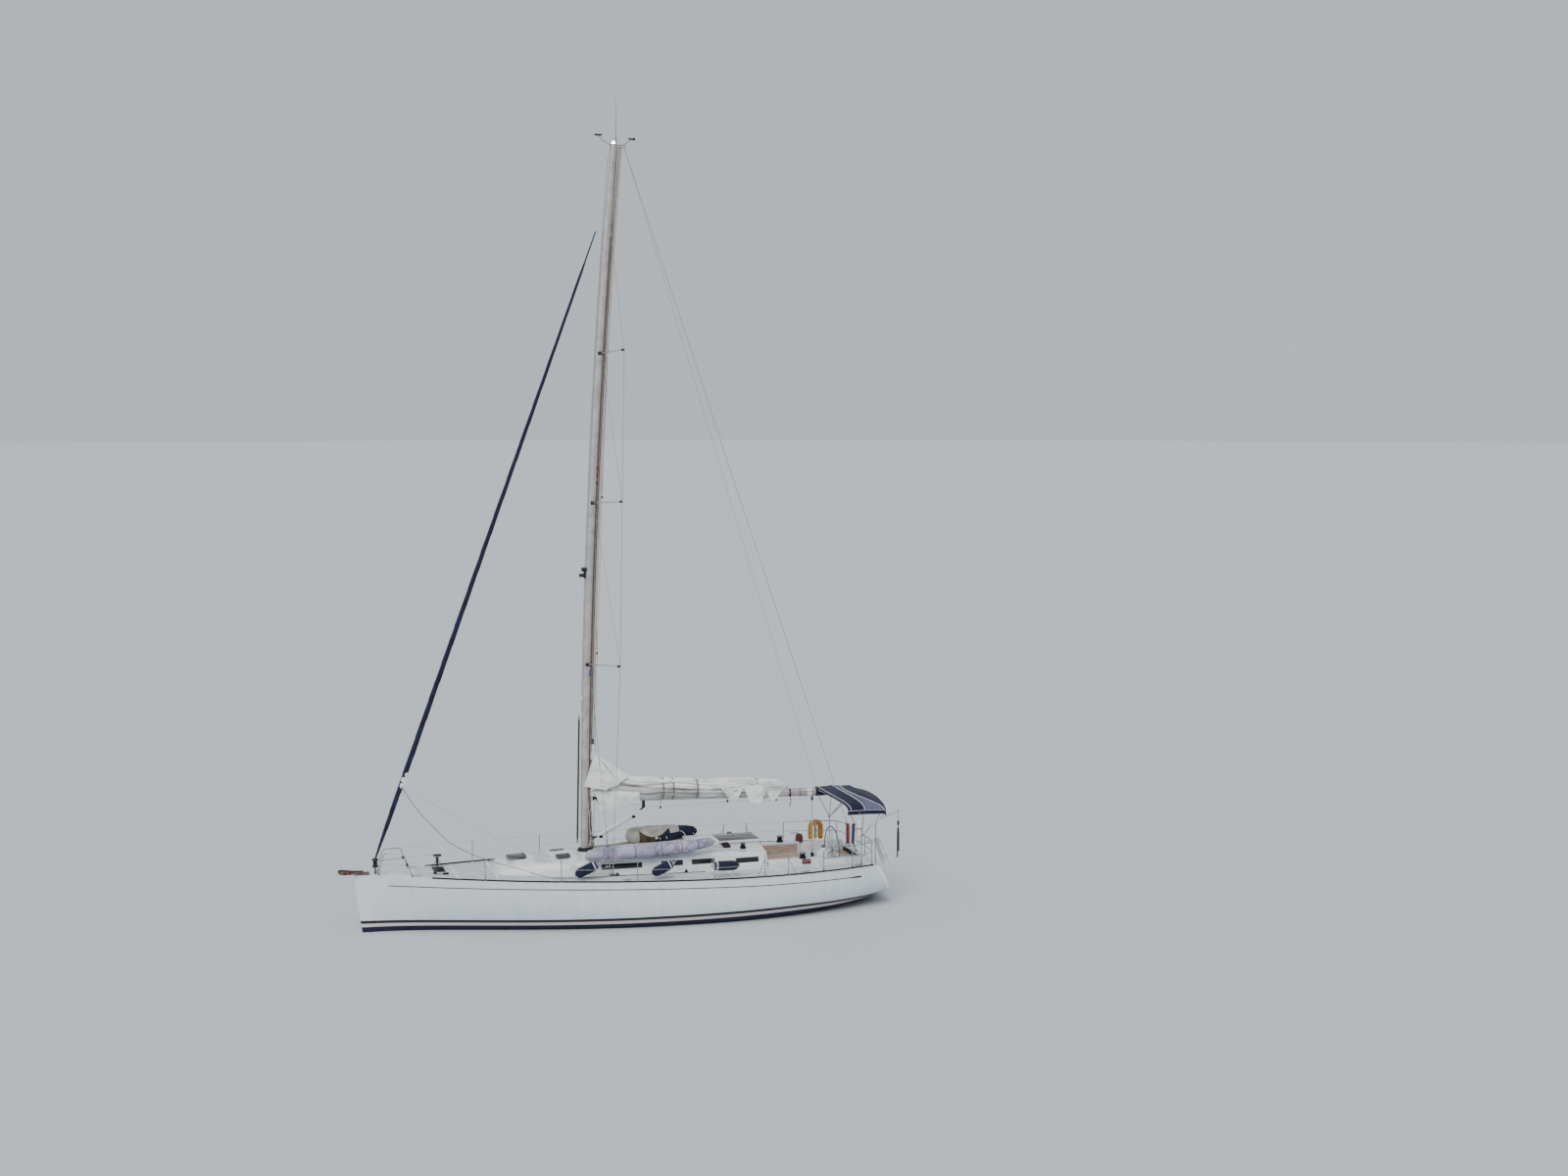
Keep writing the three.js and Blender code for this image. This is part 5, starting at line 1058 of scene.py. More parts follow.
def braid(name, ground, fleck, share=0.62):
    """Braided polyester rope: a plain ground with a fleck of the second colour."""
    material, tree, shader = start_material(name, Roughness=0.75, IOR=1.5, Sheen_Weight=0.25)
    place = add_node(tree, "ShaderNodeTexCoord")
    weave = add_node(tree, "ShaderNodeTexVoronoi", {"Vector": place.outputs["Object"], "Scale": 160.0})
    picks = add_node(tree, "ShaderNodeTexNoise", {"Vector": place.outputs["Object"], "Scale": 55.0,
                                                  "Detail": 1.0})
    tree.links.new(between(tree, picks.outputs["Fac"], linear(ground), linear(fleck), share, share + 0.06),
                   shader.inputs["Base Color"])
    raised(tree, shader, weave.outputs["Distance"], 0.8)
    return material


rope_white = braid("rope_braid_white_flecked", "#c6c1b6", "#4b5160", 0.60)
rope_tan = braid("rope_braid_tan", "#8a6a48", "#5b4630", 0.5)
rope_dark = braid("rope_braid_dark_green", "#3c403c", "#6e6f68", 0.6)
rope_red = braid("rope_braid_red", "#6d1a22", "#2d2024", 0.5)
vang_line = Solids()
for side in (1, -1):
    pipe(vang_line, [low_block + Vector((0, side * 0.011, 0)), high_block + Vector((0, side * 0.011, 0))],
         0.005, sides=6)
make_piece("vang_line", vang_line, [rope_tan], "boom", "rope")

# Mainsail
# White woven polyester, dropped and flaked over the boom in long folds that ties hold. It is lofted
# through its rows, and its folds are pressed in as long ridges, creases and flat facets.

SAIL_ROWS = [(0.505, 0.050, 0.13, 1.23), (0.43, 0.11, 0.125, 1.18), (0.20, 0.17, 0.12, 0.90),
             (-0.25, 0.205, -0.05, 0.64), (-0.70, 0.220, -0.06, 0.58), (-1.4, 0.220, -0.05, 0.56),
             (-2.7, 0.210, -0.05, 0.45), (-3.6, 0.200, -0.06, 0.49), (-4.4, 0.170, -0.14, 0.44),
             (-4.85, 0.130, -0.02, 0.38), (-5.02, 0.085, 0.09, 0.30), (-5.10, 0.04, 0.12, 0.24),
             (-5.12, 0.012, 0.14, 0.20)]
SAIL_TIES = (-1.39, -1.69, -2.39, -4.15)
FOLDS = ((0.70, 0.055, 0.040), (0.50, 0.070, 0.045), (0.28, 0.055, 0.040), (0.86, 0.035, 0.035))
AROUND_SAIL = 72


def facet(point, size, seed):
    """Height on crumpled cloth: flat facets that meet in sharp folds."""
    spot = Vector(point) / size + Vector((seed, seed * 0.7, seed * 1.3))
    near = noise.voronoi(spot)[1][0]
    lean = noise.noise_vector(near * 3.7 + Vector((seed, 0, 0)))
    return (spot - near).dot(lean)


def row_values(rows, x, columns):
    """The values in those columns at x, between the two rows that x lies between."""
    places = [-row[0] for row in rows]
    return [float(np.interp(-x, places, [row[k] for row in rows])) for k in columns]


def clamped(value):
    return max(0.0, min(1.0, value))


def sail_size(x):
    """Half width, and lower and upper edge above the boom's middle, of the folded sail."""
    return row_values(SAIL_ROWS, x, (1, 2, 3))


def fold_depth(x, side, lift):
    """How deep the long folds are pressed into the sail, lift being 0 at its foot and 1 at its top."""
    depth = 0.0
    for i, (middle, deepest, width_share) in enumerate(FOLDS):
        wander = 0.13 * noise.noise(Vector((x * 0.85 + i * 7.3, side * 3.1 + i, 0.4)))
        line = middle + wander + 0.05 * math.sin(x * 1.7 + i * 2.1)
        strength = 0.55 + 0.45 * noise.noise(Vector((x * 1.3, i * 5.0, side * 2.0)))
        depth += deepest * math.exp(-((lift - line) / width_share) ** 2) * strength
    return depth


sail = Solids()
rings = []
sail_xs = list(np.arange(0.505, -5.12, -0.030)) + [-5.12]
for x in sail_xs:
    half, low, high = sail_size(x)
    tent = clamped((x + 0.5) / 0.7)
    tied = min(abs(x - t) for t in SAIL_TIES)
    pinch = 1 - 0.16 * math.exp(-(tied / 0.10) ** 2)
    end_fade = min(1.0, (x + 5.12) / 0.25, (0.535 - x) / 0.10)
    ring = []
    for k in range(AROUND_SAIL):
        a = 2 * math.pi * k / AROUND_SAIL
        c, s = math.cos(a), math.sin(a)
        lift = 0.5 + 0.5 * math.copysign(abs(s) ** 0.85, s)
        width = half * math.copysign(abs(c) ** 0.75, c) * (1 - tent * 0.72 * lift)
        side = 1 if c > 0 else -1
        press = 1.25 * fold_depth(x, side, lift)
        puff = 0.048 * noise.noise(Vector((x * 1.7, side * 2.2, lift * 4.0)))
        bend = 0.052 * facet((x * 0.6, side * 0.6, lift * 0.9), 0.24, 3.0)
        fine = 0.010 * facet((x, side * 0.4, lift * 0.7), 0.085, 9.0)
        out = (puff + bend + fine - press) * max(end_fade, 0.0)
        y = width * pinch + out * c
        z = boom_z(x) + low + (high - low) * lift + out * s * 0.9
        z = boom_z(x) + (low + high) / 2 + (z - boom_z(x) - (low + high) / 2) * pinch
        ring.append((x, y, z))
    rings.append(ring)
sail.loft(rings)


def cloth_flap(solids, corners, bulge, seed, mark=0, steps=16, thickness=0.006):
    """A stiff flap of sailcloth between four corners, with a soft bulge and pressed facets."""
    a, b, c, d = (Vector(p) for p in corners)
    square = ((b - a).cross(d - a) + (c - b).cross(d - b)).normalized()
    sheets = []
    for lift in (thickness / 2, -thickness / 2):
        grid = []
        for i in range(steps + 1):
            for j in range(steps + 1):
                u, v = i / steps, j / steps
                point = a.lerp(b, u).lerp(d.lerp(c, u), v)
                rise = bulge * math.sin(math.pi * u) * math.sin(math.pi * v)
                rise += 0.060 * facet(point, 0.26, seed) * math.sin(math.pi * min(u, 1 - u) + 0.3)
                ragged = noise.noise_vector(point * 3.1 + Vector((seed, 0, 0))) * 0.045 * min(u * 3, 1)
                grid.append(point + ragged + square * (rise + lift))
        sheets.append(grid)
    n = steps + 1
    faces = []
    for i in range(steps):
        for j in range(steps):
            q = (i * n + j, (i + 1) * n + j, (i + 1) * n + j + 1, i * n + j + 1)
            faces.append(q)
            faces.append(tuple(n * n + k for k in reversed(q)))
    rim = ([(0, j) for j in range(steps)] + [(i, steps) for i in range(steps)]
           + [(steps, j) for j in range(steps, 0, -1)] + [(i, 0) for i in range(steps, 0, -1)])
    for (i0, j0), (i1, j1) in zip(rim, rim[1:] + rim[:1]):
        p, q = i0 * n + j0, i1 * n + j1
        faces.append((p, q, n * n + q, n * n + p))
    solids.add(sheets[0] + sheets[1], faces, mark)


for side in (1, -1):
    drop = 0.0 if side > 0 else 0.18
    cloth_flap(sail, [(0.60, side * 0.10, 3.55), (0.44, side * 0.18, 3.00 + drop),
                      (-0.72, side * 0.225, 3.21 + drop), (-0.66, side * 0.21, 3.50)], side * 0.03,
               5.0 + side, 1)
    cloth_flap(sail, [(-2.90, side * 0.175, 3.58), (-3.42, side * 0.245, 3.04 + drop),
                      (-3.50, side * 0.245, 3.05 + drop), (-3.80, side * 0.165, 3.56)], side * 0.035,
               8.0 + side, 1)
    cloth_flap(sail, [(-3.70, side * 0.165, 3.54), (-3.92, side * 0.240, 3.00 + drop),
                      (-4.20, side * 0.235, 2.93 + drop), (-4.50, side * 0.130, 3.42)], side * 0.035,
               11.0 + side, 1)
    cloth_flap(sail, [(-4.28, side * 0.150, 3.44), (-4.60, side * 0.205, 2.98 + drop),
                      (-4.68, side * 0.205, 2.99 + drop), (-4.98, side * 0.080, 3.34)], side * 0.035,
               14.0 + side, 1)


def sailcloth_of(name, shaded):
    """Woven polyester: stiff, with pressed creases and a faint grey soil; when shaded, painted shade darkens
    it low down and in the folds.
    """
    material, tree, shader = start_material(name, Roughness=0.62, IOR=1.5, Sheen_Weight=0.1)
    soil_and_shade = between(tree, uneven(tree, 520, 5.0), linear("#cdd2d0"), linear("#f1f4f3"), 0.3, 0.6)
    if shaded:
        fold_shade = add_node(tree, "ShaderNodeAttribute", attribute_name="fold_shade").outputs["Fac"]
        soil_and_shade = blended(tree, fold_shade, soil_and_shade, linear("#82857f"))
    tree.links.new(soil_and_shade, shader.inputs["Base Color"])
    raised(tree, shader, uneven(tree, 45, 5.0, stretch=(0.3, 1, 1)), 2.5)
    return material


main_cloth = sailcloth_of("sailcloth_polyester_woven", False)
folded_cloth = sailcloth_of("sailcloth_polyester_shaded_in_folds", True)
folded_sail = make_piece("mainsail_folded", sail, [folded_cloth, main_cloth], "boom", "sail_cloth",
                         ["mainsail"], crease=38)
# Painted shade: grey in the deep folds and over the lower half of the sail, in uneven patches.
shades = []
for vertex in folded_sail.data.vertices:
    x, y, z = vertex.co
    half, low, high = sail_size(x)
    lift = (z - boom_z(x) - low) / (high - low)
    groove = min(1.0, fold_depth(x, 1 if y > 0 else -1, lift) / 0.045)
    under = clamped((0.66 - lift) / 0.22) * (0.42 + 0.5 * noise.noise(Vector((x * 1.1, y * 2, z * 2))))
    shades.append(clamped(0.75 * groove + under))
give_values(folded_sail, "fold_shade", shades)

# The head of the sail stands up between the mast and the fold, and its luff stays at the mast, so these two
# flaps are taken off the boom's body and stay in place.
flaps = Solids()
for side in (1, -1):
    cut = 0.0 if side > 0 else 0.25
    peak, corner = (0.55, side * 0.030, 4.62), (0.86 - cut, side * 0.135, 3.70 + cut * 0.5)
    low_middle, high_middle = (0.26, side * 0.250, 3.58), (0.40, side * 0.15, 4.14)
    cloth_flap(flaps, [peak, corner, low_middle, high_middle], side * -0.025, 2.0 + side, 0)
    cloth_flap(flaps, [peak, high_middle, low_middle, (-0.10, side * 0.235, 3.74)], side * 0.02, 6.0 + side,
               0)
    cloth_flap(flaps, [peak, (0.20, side * 0.10, 4.20), (-0.10, side * 0.235, 3.74),
                       (-0.40, side * 0.150, 3.93)], side * 0.015, 4.0 + side, 0)
head_flaps = make_piece("mainsail_head_flaps", flaps, [main_cloth], "boom", "sail_cloth", crease=30)
head_flaps.parent = None
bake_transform(head_flaps)

# Ties and strap
# Bands of woven webbing round the folded sail, a black strap with a buckle near the boom's end, and
# the white sleeve on its end.

# Woven webbing: matt grey, with the ribs of its weave some 3 mm apart.
webbing = mottled("webbing_polyester_grey", "#54504f", "#78716d", 30, relief=(3, 1.0, 0.4), Roughness=0.8,
                  Sheen_Weight=0.3)
ties = Solids()


def band(x, width, grow, mark):
    half, low, high = sail_size(x)
    low = min(low, -0.115)
    rings = []
    for at, size in ((-0.5, 0.985), (-0.35, 1.0), (0.35, 1.0), (0.5, 0.985)):
        middle = boom_z(x) + (low + high) / 2
        rings.append(round_ring((x + at * width, 0, middle), (half * 0.88 * size + grow,
                                                              (high - low) / 2 * 0.93 * size + grow),
                                (0, 1, 0), (0, 0, 1), 40))
    ties.loft(rings, mark)


for x in SAIL_TIES:
    band(x, 0.032, 0.004, 0)
for x, width, mark in ((-5.16, 0.06, 1), (-5.46, 0.02, 1)):
    ties.loft([round_ring((x + at * width, 0, boom_z(x)), (0.064, 0.114), (0, 1, 0), (0, 0, 1), 32)
               for at in (-0.5, 0.5)], mark)
ties.loft([round_ring((x, 0, boom_z(x)), (0.063, 0.114), (0, 1, 0), (0, 0, 1), 32) for x in (-5.82, -5.68)],
          2)
pipe(ties, [(-5.16, 0.05, 3.12), (-5.18, 0.07, 2.93), (-5.14, 0.05, 2.76)], 0.012, 0.05, 8, 1)
make_piece("sail_ties", ties, [webbing, black_plastic, sailcloth], "boom", "sail_cloth")

# Mainsheet
# Three parts of rope between a double block under the boom's end and the block on the traveller's car. The
# ropes are taken off the boom's body and stay in place.

SHEET_X = -5.840
sheet_blocks = Solids()
slab(sheet_blocks, (SHEET_X - 0.035, -0.024, 2.890), (SHEET_X + 0.035, 0.024, 3.010), 0.020)
slab(sheet_blocks, (SHEET_X - 0.012, -0.012, 3.000), (SHEET_X + 0.012, 0.012, boom_z(SHEET_X) - 0.100), 0.004)
for x, drop in ((-1.34, 0.24), (-3.30, 0.12), (-4.75, 0.12)):
    slab(sheet_blocks, (x - 0.030, -0.018, boom_z(x) - 0.11 - drop),
         (x + 0.030, 0.018, boom_z(x) - 0.04 - drop), 0.014)
    slab(sheet_blocks, (x - 0.008, -0.008, boom_z(x) - 0.05 - drop), (x + 0.008, 0.008, boom_z(x) - 0.10),
         0.003)
make_piece("mainsheet_blocks", sheet_blocks, [black_plastic], "boom", "black_plastic", ["mainsheet"])
falls = Solids()
for x, y in ((-0.022, 0.014), (0.022, 0.014), (0.0, -0.016)):
    top, foot = Vector((SHEET_X + x, y, 2.92)), Vector((SHEET_X + x, y, 1.34))
    pipe(falls, [foot.lerp(top, k / 14) for k in range(15)], 0.006, sides=8)
falls_piece = make_piece("mainsheet_falls", falls, [rope_white], "boom", "rope")
falls_piece.parent = None
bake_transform(falls_piece)
boom_line = Solids()
pipe(boom_line, [(-5.82, 0.03, 2.95), (-4.78, 0.012, boom_z(-4.78) - 0.20),
                 (-3.32, 0.012, boom_z(-3.3) - 0.20), (-1.36, 0.012, boom_z(-1.34) - 0.30),
                 (-0.20, 0.02, boom_z(-0.2) - 0.155), (0.40, 0.02, 3.20)], 0.006, 0.05, 8)
make_piece("boom_line", boom_line, [rope_white], "boom", "rope")

# Topping lift and halyards
# A thin wire holds the boom's end up from the masthead. Polyester halyards run from the masthead's
# crane down beside and behind the mast, to its foot and to the sail's headboard car, and the spare
# length of some hangs in coils.

lift = Solids()
lift_foot, lift_head = Vector((-5.985, 0, boom_z(-5.985) + 0.10)), Vector((head_x - 0.29, 0, 21.285))
pipe(lift, [lift_foot.lerp(lift_head, k / 20) for k in range(21)], 0.004, sides=6)
lift_piece = make_piece("topping_lift", lift, [wire], "boom", "stainless")
lift_piece.parent = None
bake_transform(lift_piece)

halyards = Solids()


def beside_mast(x_back, y, low_z, high_z, radius, mark, into, steps=18):
    """A line down the mast's side, x_back behind its middle, whose top runs in at the point into."""
    points = []
    for k in range(steps + 1):
        z = low_z + (high_z - low_z) * k / steps
        points.append((mast_x(z) - x_back, y * (0.55 + 0.45 * mast_taper(z)), z))
    pipe(halyards, points + [into], radius, sides=6, mark=mark)


# Each line: how far behind the mast's middle, its side, its lower end, thickness and colour.
for x_back, y, low_z, radius, mark in ((0.045, 0.083, 2.05, 0.006, 0), (0.060, -0.082, 2.05, 0.006, 0),
                                       (-0.150, 0.020, 5.75, 0.005, 2), (0.155, 0.030, 4.66, 0.006, 1),
                                       (0.098, 0.064, 2.05, 0.009, 2), (0.148, 0.018, 4.94, 0.009, 3),
                                       (0.172, 0.012, 4.94, 0.010, 0), (0.190, 0.012, 4.94, 0.010, 0),
                                       (0.208, 0.012, 4.94, 0.010, 0), (0.222, 0.010, 4.94, 0.006, 2)):
    head_back = max(x_back, -0.09)
    beside_mast(x_back, y, low_z, 20.9, radius, mark, (head_x - head_back, y * 0.2, MAST_HEAD_Z - 0.045))
beside_mast(0.072, 0.078, 2.05, 18.8, 0.006, 1, (mast_x(18.95) - 0.04, 0.035, 18.95))
HANGING = [(0.115, 0.66, 0.135, 3), (0.125, 0.62, 0.125, 1), (0.098, 0.70, 0.150, 1), (0.140, 0.64, 0.140, 2),
           (0.085, 0.68, 0.120, 0), (0.150, 0.60, 0.135, 1)]
for k, (x_back, foot_x, foot_y, mark) in enumerate(HANGING):
    low_x = mast_x(2.5) - x_back
    pipe(halyards, [(mast_x(3.6) - 0.050 - 0.010 * k, 0.083, 3.62), (mast_x(3.1) - x_back * 0.8, 0.100, 3.12),
                    (low_x, 0.118 + 0.006 * (k % 3), 2.50), (foot_x, foot_y, 2.00)], 0.008, 0.15, 8, mark)
for k, (top_z, low_z, x_mid, half_x, mark) in enumerate(((3.02, 2.28, 0.700, 0.050, 1),
                                                         (2.96, 2.40, 0.715, 0.035, 2),
                                                         (3.05, 2.34, 0.690, 0.042, 0))):
    coil = [(x_mid + half_x * math.sin(a), 0.128 + 0.008 * k,
             (top_z + low_z) / 2 + (top_z - low_z) / 2 * math.cos(a))
            for a in np.linspace(0.15, 2 * math.pi - 0.15, 22)]
    pipe(halyards, coil, 0.008, sides=6, mark=mark)
slab(halyards, (mast_x(4.92) - 0.228, -0.016, 4.86), (mast_x(4.92) - 0.136, 0.028, 5.02), 0.008, 2)
slab(halyards, (mast_x(4.36) - 0.215, -0.03, 4.28), (mast_x(4.36) - 0.135, 0.045, 4.42), 0.012, 3)
slab(halyards, (mast_x(6.88) - 0.10, 0.075, 6.80), (mast_x(6.88) - 0.03, 0.095, 6.95), 0.008, 4)
for z in (12.15, 12.35, 12.55):
    slab(halyards, (mast_x(z) - 0.11, 0.070, z - 0.05), (mast_x(z) - 0.06, 0.088, z + 0.05), 0.006, 3)
# Nylon cloth: matt slate blue, crumpled in soft folds some 20 mm apart.
slate_cloth = mottled("nylon_cloth_slate_blue", "#3d3d5c", "#5b5b80", 60, relief=(20, 4.0, 1.0),
                      Roughness=0.8, Sheen_Weight=0.3)
make_piece("halyards_beside_mast", halyards, [rope_white, rope_tan, rope_dark, rope_red, slate_cloth],
           "yacht", "rope")

# Mast foot and deck lines
# A black collar where the halyards turn in blocks, and the lines along the roof to the clutches and
# winches beside the companionway.

deck_lines = Solids()
collar_z = roof_z(0.83, 0)
turned(deck_lines, [(0.235, 0.002), (0.235, 0.012), (0.205, 0.030), (0.180, 0.034)], (0.83, 0, collar_z),
       28, 0)
for k, y in enumerate((-0.30, -0.25, -0.20, 0.20, 0.25, 0.30)):
    base_z = roof_z(0.62, y)
    slab(deck_lines, (0.565, y - 0.017, base_z + 0.002), (0.665, y + 0.017, base_z + 0.060), 0.014, 0)
    wide = y * 2.35
    xs = [0.56, 0.2, -0.2, -0.6, -1.0, -1.4, -1.8, -2.2, -2.6, -2.98]
    path = []
    for x in xs:
        share = (0.56 - x) / 3.54
        across = y + (wide - y) * min(share * 2.2, 1.0)
        path.append((x, across, roof_z(x, across) + 0.016))
    pipe(deck_lines, path, 0.006, sides=6, mark=(1, 2, 3)[k % 3])
    clutch_z = roof_z(-3.03, wide)
    slab(deck_lines, (-3.20, wide - 0.019, clutch_z + 0.002), (-2.98, wide + 0.019, clutch_z + 0.055),
         0.012, 0)
    slab(deck_lines, (-3.19, wide - 0.014, clutch_z + 0.052), (-3.03, wide + 0.014, clutch_z + 0.078),
         0.008, 0)
make_piece("deck_lines_and_clutches", deck_lines, [black_plastic, rope_white, rope_tan, rope_dark], "yacht",
           "rope")

# Headsail sheets
# Two ropes from the rolled sail's clew down to the port side deck: one dark, one pale.

jib_sheets = Solids()
clew_spot = (5.900, 0.075, 3.980)
pipe(jib_sheets, [clew_spot, (5.62, 0.20, 3.50), (5.35, 0.30, 3.15), (4.65, 0.33, 2.38), (4.04, 0.35, 2.03),
                  (3.55, 0.62, 1.86), (2.9, 1.02, 1.72), (2.45, 1.20, 1.57), (2.05, 1.30, 1.450),
                  (1.6, 1.35, 1.438), (1.1, 1.38, 1.426), (0.6, 1.39, 1.414), (0.35, 1.37, 1.425),
                  (0.2, 1.32, 1.455)], 0.009, 0.2, 8, 0)
pipe(jib_sheets, [clew_spot, (5.70, 0.22, 3.85), (5.44, 0.32, 3.72), (4.23, 0.40, 2.98), (3.38, 0.46, 2.45),
                  (2.65, 0.55, 2.07), (1.9, 0.86, 1.93), (0.85, 1.24, 1.48), (0.2, 1.30, 1.46)], 0.009, 0.2,
     8, 1)
make_piece("headsail_sheets", jib_sheets, [rope_dark, rope_white], "yacht", "rope")

# Toe rail
# A slotted strip of black anodised aluminium that is bolted along the deck's edge.

deck_gear_black = anodised("aluminium_anodised_black", "#34343a", "#222226", 0.5)
toe_rail = Solids()
for side in (1, -1):
    rings = []
    for x in np.linspace(5.20, -7.15, 80):
        y, z = half_beam(x) - 0.025, sheer_z(x) + 0.004
        rings.append([(x, side * (y - 0.013), z), (x, side * (y + 0.013), z),
                      (x, side * (y + 0.010), z + 0.034), (x, side * (y + 0.004), z + 0.038),
                      (x, side * (y - 0.004), z + 0.038), (x, side * (y - 0.010), z + 0.034)])
    toe_rail.loft(rings)
make_piece("toe_rail_strip", toe_rail, [deck_gear_black], "yacht", "black_plastic", crease=30)


def repeated_along(name, paths, spacing, size, material, body, slot):
    """The same small block again and again along each path, set out by a node tree."""
    tree = bpy.data.node_groups.new(f"{name}_layout", "GeometryNodeTree")
    face = tree.interface
    face.new_socket("Paths", in_out="INPUT", socket_type="NodeSocketGeometry")
    sockets = {label: face.new_socket(label, in_out="INPUT", socket_type=kind) for label, kind in (
        ("Spacing", "NodeSocketFloat"), ("Size", "NodeSocketVector"), ("Material", "NodeSocketMaterial"))}
    face.new_socket("Blocks", in_out="OUTPUT", socket_type="NodeSocketGeometry")
    inlet, outlet = tree.nodes.new("NodeGroupInput"), tree.nodes.new("NodeGroupOutput")
    curve = add_node(tree, "GeometryNodeMeshToCurve", {"Mesh": inlet.outputs["Paths"]})
    spaced = add_node(tree, "GeometryNodeResampleCurve", {
        "Curve": curve.outputs["Curve"], "Length": inlet.outputs["Spacing"]}, mode="LENGTH")
    heading = add_node(tree, "FunctionNodeAlignRotationToVector", {
        "Vector": add_node(tree, "GeometryNodeInputTangent").outputs["Tangent"]}, axis="X", pivot_axis="AUTO")
    block = add_node(tree, "GeometryNodeMeshCube", {"Size": inlet.outputs["Size"]})
    placed = add_node(tree, "GeometryNodeInstanceOnPoints", {
        "Points": spaced.outputs["Curve"], "Instance": block.outputs["Mesh"],
        "Rotation": heading.outputs["Rotation"]})
    real = add_node(tree, "GeometryNodeRealizeInstances", {"Geometry": placed.outputs["Instances"]})
    dressed = add_node(tree, "GeometryNodeSetMaterial", {
        "Geometry": real.outputs["Geometry"], "Material": inlet.outputs["Material"]})
    tree.links.new(dressed.outputs["Geometry"], outlet.inputs["Blocks"])
    points, edges = [], []
    for path in paths:
        start = len(points)
        points += [tuple(p) for p in path]
        edges += [(start + i, start + i + 1) for i in range(len(path) - 1)]
    mesh = bpy.data.meshes.new(name)
    mesh.from_pydata(points, edges, [])
    piece = new_object(name, mesh)
    layout = piece.modifiers.new("layout", "NODES")
    layout.node_group = tree
    layout[sockets["Spacing"].identifier] = spacing
    layout[sockets["Size"].identifier] = size
    layout[sockets["Material"].identifier] = material
    make_solid(piece)
    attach(piece, body)
    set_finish(piece, slot)
    return piece


repeated_along("toe_rail_bolts", [[(x, side * (half_beam(x) - 0.0118), sheer_z(x) + 0.022)
                                   for x in np.linspace(5.15, -7.10, 60)] for side in (1, -1)],
               0.24, (0.016, 0.005, 0.010), stainless, "yacht", "stainless")

# Guard rails
# Six stainless steel stanchions a side in bolted sockets, with braces at the gate, and two lifelines
# of plastic-covered wire between the pulpit and the pushpit.

# Extruded plastic over wire: smooth, once white and now greyed by the weather.
wire_cover = mottled("wire_covered_white_plastic", "#a9aaa8", "#c9cac7", 90, Roughness=0.4, IOR=1.5)
STANCHION_XS = (3.820, 1.830, -0.210, -2.330, -3.780, -4.460)


def stanchion_foot(x, side):
    return Vector((x, side * (half_beam(x) - 0.045), sheer_z(x) + 0.024))


def stanchion_head(x, side):
    return Vector((x, side * (half_beam(x) - 0.085), sheer_z(x) + 0.620))


def socket(solids, foot, up, mark=0):
    """A round base with a sleeve that the tube stands in."""
    turned(solids, [(0.040, -0.008), (0.042, 0.0), (0.034, 0.008), (0.018, 0.012), (0.018, 0.070),
                    (0.015, 0.074)], foot, 14, mark, axis=up)


STERN_DECK_Z = 1.285
STERN_RAIL_X = -5.560
PULPIT_FOOT_X = 5.690
for side, side_name in ((1, "port"), (-1, "starboard")):
    rail = Solids()
    heads, middles = [], []
    for x in STANCHION_XS:
        foot, head = stanchion_foot(x, side), stanchion_head(x, side)
        up = (head - foot).normalized()
        socket(rail, foot, up)
        pipe(rail, [foot, head - up * 0.012], 0.0128, sides=12)
        turned(rail, [(0.0128, -0.012), (0.014, -0.004), (0.010, 0.004), (0.002, 0.006)], head, 12, axis=up)
        heads.append(head - up * 0.014)
        middles.append(foot.lerp(head, 0.52))
    for x, to in ((-3.780, -3.55), (-4.460, -4.69)):
        brace_foot, head = stanchion_foot(to, side), stanchion_head(x, side)
        pipe(rail, [brace_foot, head - Vector((0, 0, 0.13))], 0.010, sides=10)
        turned(rail, [(0.030, -0.008), (0.032, 0), (0.012, 0.010)], brace_foot, 12)
    bow_x, stern_x = PULPIT_FOOT_X - 0.030, STERN_RAIL_X + 0.030
    bow_y = side * (half_beam(PULPIT_FOOT_X) - 0.130)
    stern_y = side * (half_beam(STERN_RAIL_X) - 0.110)
    bow_z = deck_z(PULPIT_FOOT_X, bow_y) + 0.012
    head_rise = stanchion_head(-4.46, side).z - STERN_DECK_Z
    for line, bow_up, stern_up in ((heads, 0.590, head_rise), (middles, 0.310, 0.33)):
        bow_end = Vector((bow_x + (0.20 if bow_up > 0.4 else 0.13), bow_y, bow_z + bow_up))
        stern_end = Vector((stern_x, stern_y, STERN_DECK_Z + stern_up - (0.012 if stern_up > 0.4 else 0.0)))
        pipe(rail, [bow_end] + line + [stern_end], 0.0045, sides=6, mark=1)
    make_piece(f"guard_rail_{side_name}_tubes", rail, [stainless, wire_cover], "yacht", "stainless",
               [f"guard_rail_{side_name}"], crease=50)

# Pulpit
# The bent tube rail round the bow: a side hoop on each side, joined by a cross bar ahead, with the
# black navigation light on it.

pulpit = Solids()
FRONT_FOOT_Z = deck_z(6.533, 0.165) + 0.012
for side in (1, -1):
    post_y = side * (half_beam(PULPIT_FOOT_X) - 0.130)
    foot = Vector((PULPIT_FOOT_X, post_y, deck_z(PULPIT_FOOT_X, post_y) + 0.012))
    middle, top = foot + Vector((0.13, 0, 0.32)), foot + Vector((0.20, 0, 0.59))
    front_top = Vector((6.42, side * 0.240, FRONT_FOOT_Z + 0.600))
    front_foot = Vector((6.56, side * 0.165, FRONT_FOOT_Z))
    pipe(pulpit, [foot, middle, top, front_top, front_foot], 0.013, 0.10, 14)
    pipe(pulpit, [foot.lerp(middle, 0.95), front_foot.lerp(front_top, 0.5)], 0.010, sides=12)
    socket(pulpit, foot, (middle - foot).normalized())
    socket(pulpit, front_foot, (front_top - front_foot).normalized())
pipe(pulpit, [(6.533, -0.178, 1.71), (6.533, 0.178, 1.71)], 0.010, sides=12)
